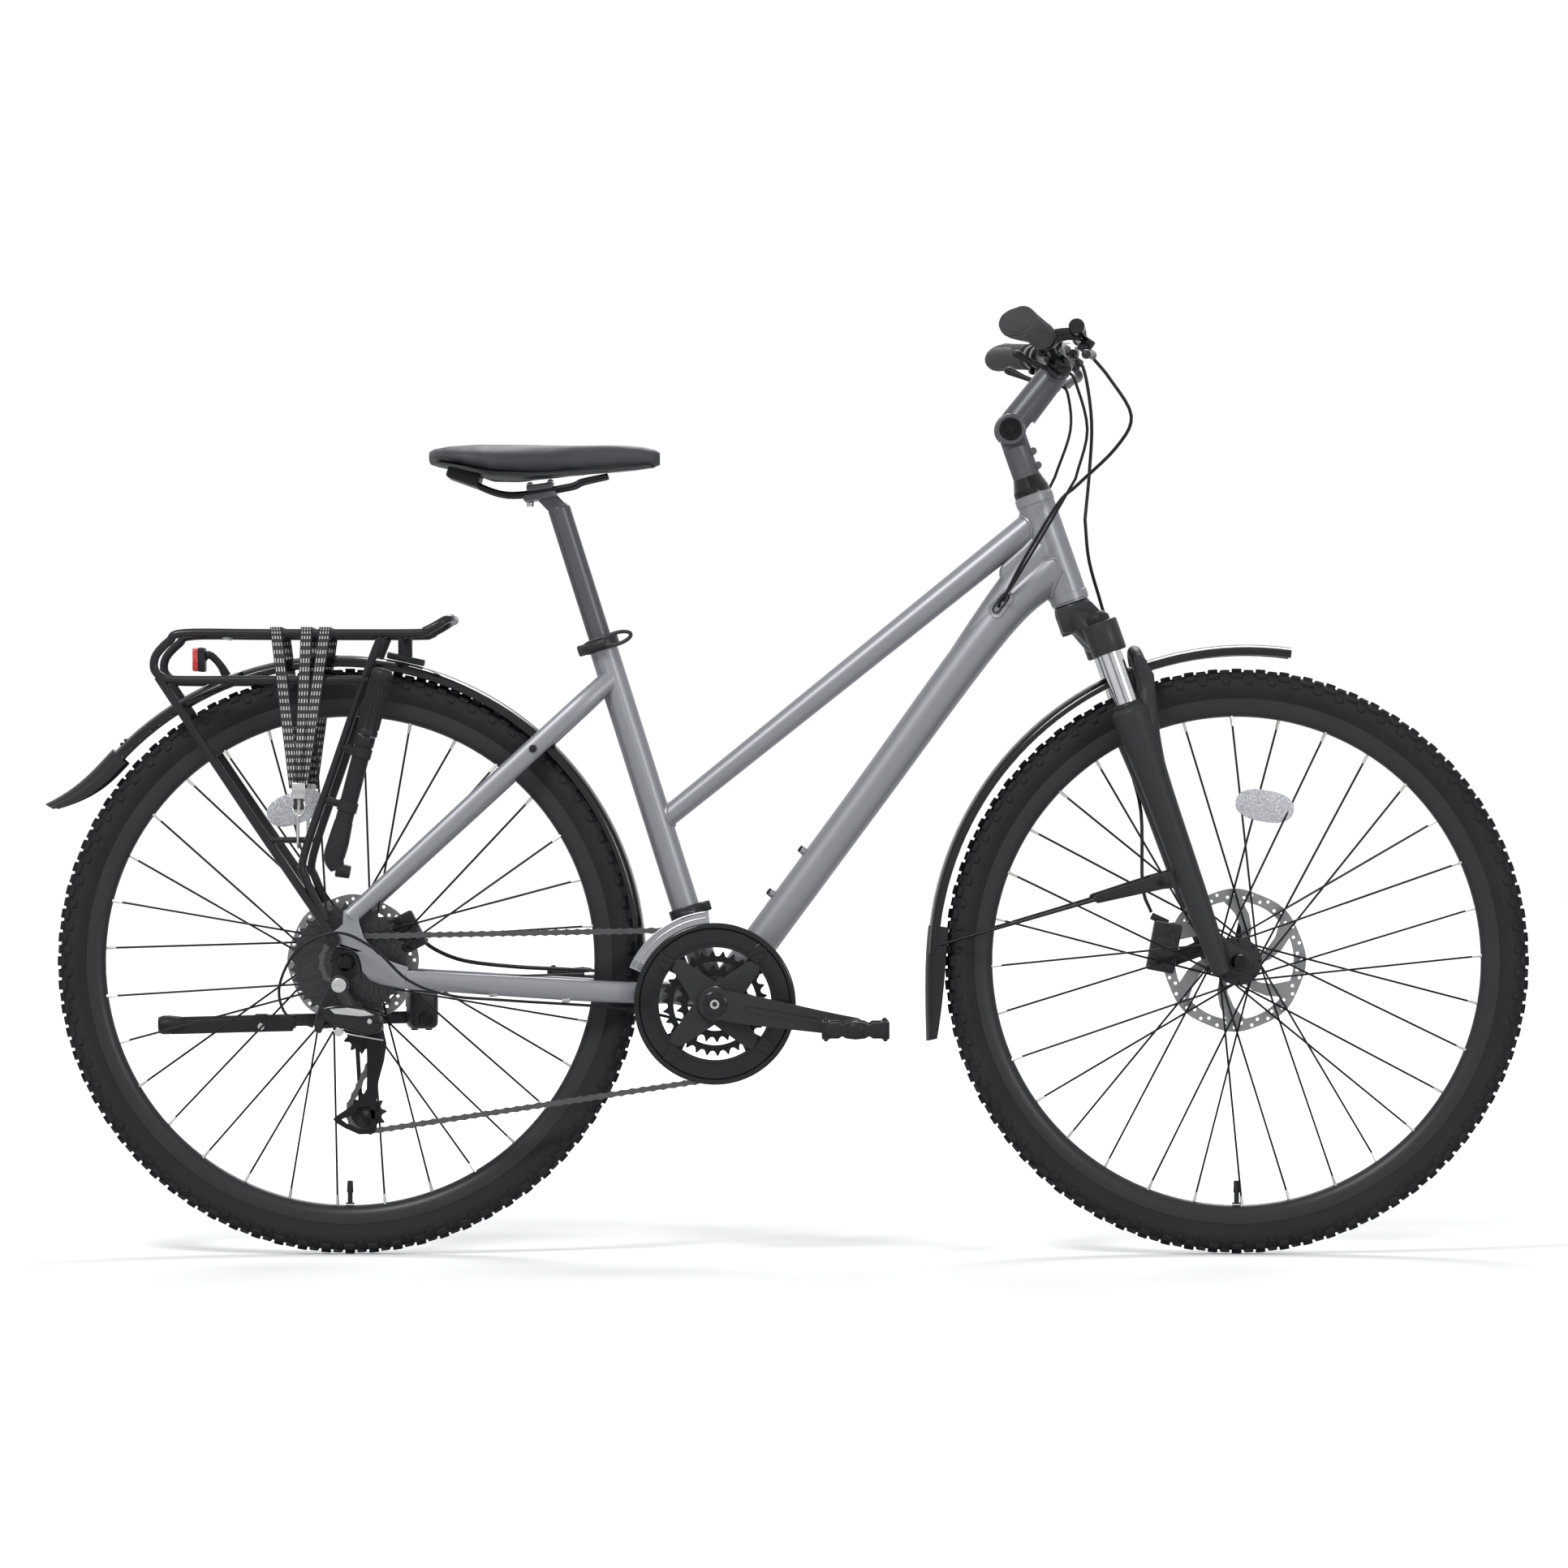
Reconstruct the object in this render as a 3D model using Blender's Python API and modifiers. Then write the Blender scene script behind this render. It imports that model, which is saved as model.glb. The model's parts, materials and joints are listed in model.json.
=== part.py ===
"""Cross hybrid bicycle, in metres, with +Z up, +X forward and +Y to the rider's left.

The origin is on the ground, midway between the two axles. Every piece is one closed
body, and pieces that touch on the real bicycle keep a gap of GAP to each other.
"""

import math

import bmesh
import bpy
from mathutils import Matrix, Vector

# Clearances
GAP = 0.0003
RUNNING_GAP = 0.002

# Frame geometry
WHEELBASE = 1.070
CHAINSTAY_LENGTH = 0.444
BOTTOM_BRACKET_DROP = 0.050
SEAT_ANGLE = math.radians(72.4)
SEAT_TUBE_LENGTH = 0.462
HEAD_ANGLE = math.radians(70.65)
HEAD_TUBE_LENGTH = 0.139
FORK_LENGTH = 0.474
FORK_RAKE = 0.0455

# Frame tubes
HEAD_TUBE_RADIUS = 0.0225
SEAT_TUBE_RADIUS = 0.0170
TOP_TUBE_RADIUS = 0.0165
TOP_TUBE_SEAT_RADIUS = 0.0125
TOP_TUBE_SEAT_HEIGHT = 0.226
DOWN_TUBE_RADIUS = 0.0215
DOWN_TUBE_HEAD_RADIUS = 0.0255
DOWN_TUBE_WALL = 0.0030
DOWN_TUBE_ANGLE = math.radians(53.6)
DOWN_TUBE_BEND = 0.565
CHAINSTAY_RADIUS = 0.0130
SEATSTAY_RADIUS = 0.0120
STAY_FLATTENING = 0.58
BB_SHELL_RADIUS = 0.0215
BB_SHELL_WIDTH = 0.073
DROPOUT_THICKNESS = 0.0070
BOTTLE_BOSS_SPACING = 0.064
BOTTLE_BOSS_RADIUS = 0.0048
BOTTLE_BOSS_HEIGHT = 0.0050

# Wheels
WHEEL_SIDES = 28
TYRE_RADIUS = 0.353
TYRE_WIDTH = 0.042
TYRE_HEIGHT = 0.036
RIM_RADIUS = TYRE_RADIUS - TYRE_HEIGHT
RIM_DEPTH = 0.0224
RIM_WIDTH = 0.025
VALVE_LENGTH = 0.030
SPOKE_COUNT = 32
SPOKE_RADIUS = 0.0011
HUB_FLANGE_RADIUS = 0.0285
SPOKE_CIRCLE_RADIUS = 0.0250
HUB_SHELL_RADIUS = 0.0150
FRONT_HUB_WIDTH = 0.100
REAR_HUB_WIDTH = 0.135
AXLE_RADIUS = 0.0025
ROTOR_THICKNESS = 0.0018
FRONT_ROTOR_RADIUS = 0.0870
REAR_ROTOR_RADIUS = 0.0800
ROTOR_BAND = 0.0150
FRONT_ROTOR_Y = 0.0400
REAR_ROTOR_Y = 0.0520
ROTOR_BOSS_RADIUS = 0.0170
REFLECTOR_LENGTH = 0.071
REFLECTOR_HEIGHT = 0.038

# Fork
STEERER_RADIUS = 0.01425
STANCHION_RADIUS = 0.0140
STANCHION_INSERTION = 0.093
FORK_LEG_Y = 0.0630
FORK_LEG_OFFSET = 0.0210
FORK_TRAVEL = 0.050
CROWN_CLAMP_RADIUS = 0.0215
CROWN_CLAMP_TOP = -0.034
CROWN_CLAMP_BOTTOM = -0.073
LOWER_LEG_TOP = -0.142
LOWER_LEG_BOTTOM = -0.480

# Stem and handlebar
STEM_PIVOT_HEIGHT = 0.2215
STEM_BASE_RADIUS = 0.0165
STEM_ARM_LENGTH = 0.0926
STEM_ARM_ANGLE = math.radians(52.0)
STEM_ARM_RADIUS = 0.0190
STEM_KNUCKLE_WIDTH = 0.022
BAR_RADIUS = 0.0111
BAR_CLAMP_RADIUS = 0.0160
BAR_HALF_LENGTH = 0.310
BAR_RISE = 0.037
BAR_SWEEP = 0.052
GRIP_LENGTH = 0.128
GRIP_RADIUS = 0.0165
BRAKE_MOUNT_Y = BAR_HALF_LENGTH - 0.150
SHIFTER_Y = BRAKE_MOUNT_Y - 0.032

# Seat
SEATPOST_RADIUS = 0.0136
SEATPOST_EXPOSED = 0.163
SEATPOST_INSERTION = 0.130
SEATPOST_DROP = 0.100
SEAT_COLLAR_HEIGHT = 0.016
SEAT_COLLAR_WALL = 0.0035
SEAT_COLLAR_SIDES = 14
SADDLE_LENGTH = 0.278
SADDLE_WIDTH = 0.160
SADDLE_NOSE_WIDTH = 0.044
SADDLE_HEIGHT = 0.0215
SADDLE_SHELL = 0.0045
RAIL_SPACING = 0.044
RAIL_RADIUS = 0.0035
RAIL_DROP = -0.0020

# Drive
CHAIN_PITCH = 0.0127
CHAIN_Y = -0.0555
CHAIN_WIDTH = 0.0068
CHAIN_HEIGHT = 0.0080
ROLLER_STEP = 13
RING_TEETH = (44, 30, 22)
RING_SPACING = 0.0080
RING_THICKNESS = 0.0020
COG_TEETH = (11, 13, 15, 17, 20, 23, 26, 30, 34)
COG_SPACING = 0.0044
COG_THICKNESS = 0.0018
DRIVE_COG = 2
PULLEY_TEETH = 11
CRANK_LENGTH = 0.170
CRANK_DROP_ANGLE = math.radians(9.4)
CRANK_FACE_Y = 0.0700
CRANK_THICKNESS = 0.0140
CRANK_AXLE_RADIUS = 0.0085
GUARD_RADIUS = 0.0970
GUARD_APERTURE = 0.0630
PEDAL_LENGTH = 0.080
PEDAL_WIDTH = 0.092
PEDAL_HEIGHT = 0.026
PEDAL_SPINDLE_RADIUS = 0.0050
PEDAL_INNER_Y = 0.104
RING_Y = CHAIN_Y
SPIDER_ARM_ANGLES = (53, 143, 233, 323)
RING_BOLT_RADIUS = 0.0520
INNER_BOLT_RADIUS = 0.0418
FRONT_DERAILLEUR_HEIGHT = 0.109
CAGE_HALF = 0.0060
CAGE_PLATE = 0.0020

# Mudguards
REAR_GUARD_RADIUS = 0.372
FRONT_GUARD_RADIUS = 0.386
GUARD_WIDTH = 0.050
GUARD_DEPTH = 0.013
GUARD_WALL = 0.0020
GUARD_LUG_Y = 0.0665
CALIPER_OUTER_Y = 0.0550

# Rack
RACK_TUBE_RADIUS = 0.0052
RACK_HALF_WIDTH = 0.0625
RACK_DECK_HEIGHT = 0.394
RACK_MIDDLE_HEIGHT = 0.338
STRAP_WIDTH = 0.010
STRAP_THICKNESS = 0.0018
PUMP_Y = 0.0875
PUMP_RADIUS = 0.0105

# Kickstand
KICKSTAND_LENGTH = 0.309
KICKSTAND_AXIS = Vector((0.3185, -0.948, 0)).normalized()

# Main points, which follow from the sizes above
REAR_AXLE = Vector((-WHEELBASE / 2, 0, TYRE_RADIUS))
FRONT_AXLE = Vector((WHEELBASE / 2, 0, TYRE_RADIUS))
BOTTOM_BRACKET = REAR_AXLE + Vector(
    (math.sqrt(CHAINSTAY_LENGTH**2 - BOTTOM_BRACKET_DROP**2), 0, -BOTTOM_BRACKET_DROP)
)
SEAT_UP = Vector((-math.cos(SEAT_ANGLE), 0, math.sin(SEAT_ANGLE)))
SEAT_FORWARD = Vector((math.sin(SEAT_ANGLE), 0, math.cos(SEAT_ANGLE)))
STEER_UP = Vector((-math.cos(HEAD_ANGLE), 0, math.sin(HEAD_ANGLE)))
STEER_FORWARD = Vector((math.sin(HEAD_ANGLE), 0, math.cos(HEAD_ANGLE)))
HEAD_BOTTOM = FRONT_AXLE + STEER_UP * FORK_LENGTH - STEER_FORWARD * FORK_RAKE
LEFT = Vector((0, 1, 0))

FINISHES = {
    "titanium_paint": ((0.24, 0.235, 0.24), 0.38, 0.7),
    "satin_black": ((0.02, 0.02, 0.022), 0.45, 0.0),
    "gloss_black": ((0.012, 0.012, 0.013), 0.15, 0.0),
    "black_rubber": ((0.03, 0.03, 0.031), 0.8, 0.0),
    "grip_rubber": ((0.055, 0.055, 0.06), 0.75, 0.0),
    "silver_steel": ((0.55, 0.55, 0.54), 0.3, 1.0),
    "dark_steel": ((0.16, 0.155, 0.15), 0.35, 1.0),
    "black_cloth": ((0.02, 0.02, 0.02), 0.9, 0.0),
    "saddle_vinyl": ((0.025, 0.025, 0.026), 0.6, 0.0),
    "red_lens": ((0.5, 0.01, 0.01), 0.2, 0.0),
}


# Scene, materials and finishing

def clear_scene():
    for obj in list(bpy.data.objects):
        bpy.data.objects.remove(obj, do_unlink=True)


def make_collection(name):
    collection = bpy.data.collections.new(name)
    bpy.context.scene.collection.children.link(collection)
    return collection


def make_material(name, finish):
    colour, roughness, metallic = FINISHES[finish]
    material = bpy.data.materials.new(name)
    material.use_nodes = True
    shader = material.node_tree.nodes["Principled BSDF"]
    shader.inputs["Base Color"].default_value = (*colour, 1)
    shader.inputs["Roughness"].default_value = roughness
    shader.inputs["Metallic"].default_value = metallic
    material.diffuse_color = (*colour, 1)
    return material


def finish(obj, name, look, origin):
    """Names a piece, gives it its material and puts its origin at a world point."""
    obj.name = name
    obj.data.name = name
    obj.data.materials.clear()
    obj.data.materials.append(make_material(name, look))
    obj.data.transform(Matrix.Translation(-Vector(origin)))
    obj.location = origin
    obj.data.shade_smooth()
    obj.data.set_sharp_from_angle(angle=math.radians(35))
    return obj


# Modelling helpers

def object_from(mesh_maker, matrix=None):
    """A new object from a bmesh, with its place in its mesh and its faces outwards."""
    if matrix is not None:
        mesh_maker.transform(matrix)
    bmesh.ops.remove_doubles(mesh_maker, verts=mesh_maker.verts, dist=1e-6)
    bmesh.ops.recalc_face_normals(mesh_maker, faces=mesh_maker.faces)
    mesh = bpy.data.meshes.new("piece")
    mesh_maker.to_mesh(mesh)
    mesh_maker.free()
    obj = bpy.data.objects.new("piece", mesh)
    BICYCLE.objects.link(obj)
    return obj


def made_real(obj, matrix=None):
    """Turns a curve or a modified mesh into a plain mesh and removes the original."""
    bpy.context.view_layer.update()
    graph = bpy.context.evaluated_depsgraph_get()
    mesh = bpy.data.meshes.new_from_object(obj.evaluated_get(graph))
    maker = bmesh.new()
    maker.from_mesh(mesh)
    bpy.data.objects.remove(obj, do_unlink=True)
    bpy.data.meshes.remove(mesh)
    return object_from(maker, matrix)


def frame_at(origin, direction):
    """A matrix whose local Z runs along a direction, with its origin at a point."""
    turn = Vector(direction).normalized().to_track_quat("Z", "Y")
    return Matrix.Translation(Vector(origin)) @ turn.to_matrix().to_4x4()


def cylinder(start, end, radius, sides=16, end_radius=None):
    start, end = Vector(start), Vector(end)
    maker = bmesh.new()
    bmesh.ops.create_cone(
        maker,
        cap_ends=True,
        segments=sides,
        radius1=radius,
        radius2=radius if end_radius is None else end_radius,
        depth=(end - start).length,
    )
    return object_from(maker, frame_at((start + end) / 2, end - start))


def clear_radius(radius, sides):
    """The radius of a polygonal bore whose flats clear a round piece by GAP."""
    return (radius + GAP) / math.cos(math.pi / sides)


def bore(start, end, radius, sides=16):
    """A cutter for the bore that a round piece of this radius runs in."""
    return cylinder(start, end, clear_radius(radius, sides), sides)


def box(centre, size, turn=None):
    maker = bmesh.new()
    bmesh.ops.create_cube(maker, size=1)
    bmesh.ops.scale(maker, vec=Vector(size), verts=maker.verts)
    matrix = Matrix.Translation(Vector(centre))
    if turn is not None:
        matrix = matrix @ turn.to_4x4()
    return object_from(maker, matrix)


def turned(profile, centre, direction, sides=32):
    """A turned shape: (radius, height) points spun about an axis through a centre."""
    maker = bmesh.new()
    points = [maker.verts.new((radius, 0, height)) for radius, height in profile]
    for first, second in zip(points, points[1:]):
        maker.edges.new((first, second))
    if profile[0][0] > 0:
        maker.edges.new((points[-1], points[0]))
    mesh = bpy.data.meshes.new("profile")
    maker.to_mesh(mesh)
    maker.free()
    obj = bpy.data.objects.new("profile", mesh)
    BICYCLE.objects.link(obj)
    screw = obj.modifiers.new("turning", "SCREW")
    screw.steps = sides
    screw.render_steps = sides
    screw.use_merge_vertices = True
    screw.merge_threshold = 1e-5
    return made_real(obj, frame_at(centre, direction))


def tube(points, radius, resolution=2, radii=None, closed=False, flat=1.0):
    """A round tube along points; flat squeezes its section along Y."""
    curve = bpy.data.curves.new("tube", "CURVE")
    curve.dimensions = "3D"
    curve.bevel_depth = radius
    curve.bevel_resolution = resolution
    curve.use_fill_caps = True
    spline = curve.splines.new("POLY")
    spline.points.add(len(points) - 1)
    spline.use_cyclic_u = closed
    for index, point in enumerate(points):
        spline.points[index].co = (point[0], point[1] / flat, point[2], 1)
        spline.points[index].radius = radii[index] / radius if radii else 1
    obj = bpy.data.objects.new("tube", curve)
    BICYCLE.objects.link(obj)
    return made_real(obj, Matrix.Diagonal((1, flat, 1, 1)))


def smooth_path(points, steps):
    """Points on a smooth curve through the given ones."""
    points = [Vector(point) for point in points]
    ends = [2 * points[0] - points[1], 2 * points[-1] - points[-2]]
    padded = [ends[0]] + points + [ends[1]]
    found = []
    for before, start, end, after in zip(padded, padded[1:], padded[2:], padded[3:]):
        for step in range(steps):
            t = step / steps
            found.append(
                0.5
                * (
                    2 * start
                    + (end - before) * t
                    + (2 * before - 5 * start + 4 * end - after) * t**2
                    + (3 * start - before - 3 * end + after) * t**3
                )
            )
    return found + [points[-1]]


def plate(outlines, y_from, y_to):
    """A flat plate between two Y values; each outline is (x, z) points, holes after."""
    curve = bpy.data.curves.new("plate", "CURVE")
    curve.dimensions = "2D"
    curve.fill_mode = "BOTH"
    curve.extrude = abs(y_to - y_from) / 2
    for outline in outlines:
        spline = curve.splines.new("POLY")
        spline.points.add(len(outline) - 1)
        spline.use_cyclic_u = True
        for index, (x, z) in enumerate(outline):
            spline.points[index].co = (x, z, 0, 1)
    obj = bpy.data.objects.new("plate", curve)
    BICYCLE.objects.link(obj)
    upright = Matrix(((1, 0, 0, 0), (0, 0, -1, (y_from + y_to) / 2), (0, 1, 0, 0), (0, 0, 0, 1)))
    return made_real(obj, upright)


def flat_points(centre, polar):
    """(x, z) points from (radius, degrees) pairs about a centre in the XZ plane."""
    return [
        (
            centre[0] + radius * math.cos(math.radians(angle)),
            centre[2] + radius * math.sin(math.radians(angle)),
        )
        for radius, angle in polar
    ]


def arc(centre, radius, start, end, steps):
    """(x, z) points along an arc, from one angle to another in degrees."""
    angles = [start + (end - start) * step / steps for step in range(steps + 1)]
    return flat_points(centre, [(radius, angle) for angle in angles])


def ring(centre, radius, steps):
    return arc(centre, radius, 0, 360 - 360 / steps, steps - 1)


def capsule(start, end, start_radius, end_radius, steps=8):
    """The outline of a link: two round ends and straight sides, in the XZ plane."""
    angle = math.degrees(math.atan2(end[2] - start[2], end[0] - start[0]))
    first = arc(start, start_radius, angle + 90, angle + 270, steps)
    return first + arc(end, end_radius, angle - 90, angle + 90, steps)


def merged(pieces):
    """One mesh object that holds all the given ones as separate shells."""
    maker = bmesh.new()
    for piece in pieces:
        maker.from_mesh(piece.data)
        bpy.data.objects.remove(piece, do_unlink=True)
    mesh = bpy.data.meshes.new("merged")
    maker.to_mesh(mesh)
    maker.free()
    obj = bpy.data.objects.new("merged", mesh)
    BICYCLE.objects.link(obj)
    return obj


def combine(base, others, operation):
    """Joins or cuts a base piece with the others, which are removed."""
    tool = merged(others)
    CUTTERS.objects.link(tool)
    BICYCLE.objects.unlink(tool)
    tool.hide_render = True
    tool.display_type = "WIRE"
    boolean = base.modifiers.new(operation.lower(), "BOOLEAN")
    boolean.operation = operation
    boolean.solver = "EXACT"
    boolean.use_self = True
    boolean.object = tool
    result = made_real(base)
    bpy.data.objects.remove(tool, do_unlink=True)
    return result


def joined(pieces):
    return combine(pieces[0], pieces[1:], "UNION")


def cut(base, cutters):
    return combine(base, cutters, "DIFFERENCE")


def mirrored(obj):
    """The same piece on the other side of the bicycle."""
    maker = bmesh.new()
    maker.from_mesh(obj.data)
    maker.transform(Matrix.Translation(obj.location))
    return object_from(maker, Matrix.Diagonal((1, -1, 1, 1)))


def across(y, point):
    """A point moved to a given Y."""
    return Vector((point[0], y, point[2]))


def steering(along, forward=0.0, y=0.0):
    """A point from its height along the steering axis above the head tube's foot."""
    return HEAD_BOTTOM + STEER_UP * along + STEER_FORWARD * forward + LEFT * y


def seat_line(along, forward=0.0, y=0.0):
    """A point from its distance along the seat tube above the bottom bracket."""
    return BOTTOM_BRACKET + SEAT_UP * along + SEAT_FORWARD * forward + LEFT * y


def from_rear_axle(x, y, z):
    return REAR_AXLE + Vector((x, y, z))


def from_front_axle(x, y, z):
    return FRONT_AXLE + Vector((x, y, z))


def pitch_radius(teeth):
    return CHAIN_PITCH / (2 * math.sin(math.pi / teeth))


# Frame

def chainstay(side):
    """One chainstay, from the bottom bracket shell to its dropout."""
    bb = BOTTOM_BRACKET
    foot = from_rear_axle(0.070, side * (REAR_HUB_WIDTH / 2 + DROPOUT_THICKNESS / 2), -0.021)
    points = [
        Vector((bb.x - 0.006, side * 0.026, bb.z + 0.011)),
        Vector((bb.x - 0.055, side * 0.0285, bb.z + 0.012)),
        Vector((bb.x - 0.108, side * 0.0365, bb.z + 0.013)),
        Vector((bb.x - 0.200, side * 0.0480, bb.z + 0.018)),
        foot,
    ]
    end = CHAINSTAY_RADIUS
    return tube(
        points,
        CHAINSTAY_RADIUS,
        resolution=2,
        radii=[end] * 4 + [end * 0.95],
        flat=STAY_FLATTENING,
    )


def seatstay_ends(side):
    top = seat_line(SEAT_TUBE_LENGTH - 0.050, 0, side * 0.009)
    foot = from_rear_axle(0.003, side * (REAR_HUB_WIDTH / 2 + DROPOUT_THICKNESS / 2), 0.053)
    return top, foot


def seatstay(side):
    """One seatstay, bowed outwards past the mudguard."""
    top, foot = seatstay_ends(side)
    run = foot - top
    points = [
        top,
        across(side * 0.0290, top + run * 0.11),
        across(side * 0.0370, top + run * 0.24),
        across(side * 0.0470, top + run * 0.50),
        foot,
    ]
    return tube(
        points,
        SEATSTAY_RADIUS,
        resolution=2,
        radii=[SEATSTAY_RADIUS] * 4 + [SEATSTAY_RADIUS * 0.9],
        flat=STAY_FLATTENING,
    )


def seatstay_bridge():
    """The bridge between the seatstays, which the rear mudguard hangs from."""
    radius = 0.0065
    reach = REAR_GUARD_RADIUS + GAP + radius
    top, foot = (across(0, point) for point in seatstay_ends(1))
    run, offset = foot - top, top - rear_guard_centre()
    square, half = run.length_squared, offset.dot(run)
    root = math.sqrt(half**2 - square * (offset.length_squared - reach**2))
    middle = top + run * (-half - root) / square
    return cylinder(across(-0.037, middle), across(0.037, middle), radius, 8)


def dropout(side):
    """The plate that joins the stays round the axle, with the hanger on the right."""
    inner = side * REAR_HUB_WIDTH / 2 + side * GAP
    outer = inner + side * DROPOUT_THICKNESS
    outline = [
        (-0.024, 0.028), (-0.020, 0.038), (-0.008, 0.040), (-0.006, 0.062), (0.013, 0.063),
        (0.020, 0.038), (0.036, 0.004), (0.074, -0.008), (0.074, -0.033), (0.040, -0.032),
        (0.016, -0.016), (0.004, -0.0145), (-0.010, -0.012), (-0.014, 0.004),
    ]
    if side < 0:
        hanger = [(-0.002, -0.0385), (-0.016, -0.0385), (-0.018, -0.020), (-0.014, 0.004)]
        outline = outline[:11] + hanger
    else:
        outline[5:7] = [(0.030, 0.052), (0.060, 0.052), (0.066, 0.006)]
    shifted = [(REAR_AXLE.x + x, REAR_AXLE.z + z) for x, z in outline]
    return plate([shifted], inner, outer)


def down_tube_run():
    """The down tube's direction up from the bottom bracket, and its upper normal."""
    run = Vector((math.cos(DOWN_TUBE_ANGLE), 0, math.sin(DOWN_TUBE_ANGLE)))
    return run, Vector((-run.z, 0, run.x))


def down_tube_path():
    """The down tube's centre line, straight and then bending into the head tube."""
    run, _ = down_tube_run()
    low = BOTTOM_BRACKET
    points = [low, low + run * 0.52 * DOWN_TUBE_BEND, low + run * DOWN_TUBE_BEND, steering(0.048)]
    return [low, points[1]] + smooth_path(points, 2)[3:]


def down_tube_radii(path):
    """The down tube's radius at each point: it widens over its upper half."""
    half = len(path) // 2
    low, high = DOWN_TUBE_RADIUS, DOWN_TUBE_HEAD_RADIUS
    shares = [max(0, index - half + 1) / (len(path) - half) for index in range(len(path))]
    return [low + (high - low) * share for share in shares]


def bottle_boss_points():
    """The feet of the two bottle bosses, on the down tube's upper side."""
    run, normal = down_tube_run()
    first = BOTTOM_BRACKET + run * 0.146 + normal * (DOWN_TUBE_RADIUS - 0.002)
    return [first, first + run * BOTTLE_BOSS_SPACING], normal


def cable_port(side):
    """Cutters for the slot where the cables enter the down tube."""
    run, normal = down_tube_run()
    centre = BOTTOM_BRACKET + run * (DOWN_TUBE_BEND + 0.026) + normal * 0.0088
    outline = capsule(centre - run * 0.009, centre + run * 0.009, 0.0062, 0.0062, 3)
    return plate([outline], side * 0.012, side * (DOWN_TUBE_HEAD_RADIUS + 0.010))


def frame_bores():
    """The cutters for every bore in the frame."""
    bb_half = BB_SHELL_WIDTH / 2 + 0.01
    depth = SEATPOST_INSERTION + SEATPOST_DROP + 0.010
    path = down_tube_path()
    inner = DOWN_TUBE_RADIUS - DOWN_TUBE_WALL
    hollow = [path[0] + (path[1] - path[0]) * 0.20] + path[1:-1]
    axle_reach = REAR_HUB_WIDTH / 2 + DROPOUT_THICKNESS + 0.01
    return [
        bore(
            across(-bb_half, BOTTOM_BRACKET),
            across(bb_half, BOTTOM_BRACKET),
            CRANK_AXLE_RADIUS,
            12,
        ),
        bore(
            seat_line(SEAT_TUBE_LENGTH - depth), seat_line(SEAT_TUBE_LENGTH + 0.02), SEATPOST_RADIUS
        ),
        bore(steering(-0.02), steering(HEAD_TUBE_LENGTH + 0.02), STEERER_RADIUS),
        tube(hollow, inner, resolution=2),
        bore(across(-axle_reach, REAR_AXLE), across(axle_reach, REAR_AXLE), AXLE_RADIUS, 8),
        cable_port(-1),
        cable_port(1),
    ]


def build_frame():
    """The welded frame as one body, with its bores cut."""
    bb_half = BB_SHELL_WIDTH / 2
    path = down_tube_path()
    top_start = seat_line(TOP_TUBE_SEAT_HEIGHT)
    top_end = steering(0.110)
    bosses, normal = bottle_boss_points()
    tubes = [
        cylinder(steering(0), steering(HEAD_TUBE_LENGTH), HEAD_TUBE_RADIUS, 14),
        cylinder(BOTTOM_BRACKET, seat_line(SEAT_TUBE_LENGTH), SEAT_TUBE_RADIUS, 14),
        cylinder(top_start, top_end, TOP_TUBE_SEAT_RADIUS, 12, TOP_TUBE_RADIUS),
        tube(path, DOWN_TUBE_RADIUS, resolution=4, radii=down_tube_radii(path)),
        cylinder(
            across(-bb_half, BOTTOM_BRACKET), across(bb_half, BOTTOM_BRACKET), BB_SHELL_RADIUS, 14
        ),
        seatstay_bridge(),
    ]
    for side in (-1, 1):
        tubes += [chainstay(side), seatstay(side), dropout(side)]
    for foot in bosses:
        reach = 0.002 + BOTTLE_BOSS_HEIGHT
        tubes.append(cylinder(foot, foot + normal * reach, BOTTLE_BOSS_RADIUS, 6))
    frame = cut(joined(tubes), frame_bores())
    return finish(frame, "frame", "titanium_paint", BOTTOM_BRACKET)


# Wheels

def build_tyre(name, axle):
    """One tyre: a ring that sits on the rim."""
    inner = RIM_RADIUS + GAP
    height = TYRE_RADIUS - inner
    half = TYRE_WIDTH / 2
    profile = [
        (TYRE_RADIUS, 0),
        (inner + 0.72 * height, -0.86 * half),
        (inner + 0.30 * height, -half),
        (inner, -0.50 * RIM_WIDTH),
        (inner, 0.50 * RIM_WIDTH),
        (inner + 0.30 * height, half),
        (inner + 0.72 * height, 0.86 * half),
    ]
    return finish(turned(profile, axle, LEFT, WHEEL_SIDES), name, "black_rubber", axle)


def build_rim(name, axle):
    """One rim with the valve stem at its lowest point."""
    half = RIM_WIDTH / 2
    inner = RIM_RADIUS - RIM_DEPTH
    profile = [
        (RIM_RADIUS, half),
        (inner, 0.45 * half),
        (inner, -0.45 * half),
        (RIM_RADIUS, -half),
    ]
    hoop = turned(profile, axle, LEFT, WHEEL_SIDES)
    seat = axle + Vector((0, 0, -RIM_RADIUS + 0.010))
    valve = cylinder(seat, seat + Vector((0, 0, RIM_DEPTH + VALVE_LENGTH - 0.010)), 0.0035, 6)
    return finish(joined([hoop, valve]), name, "satin_black", axle)


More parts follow.
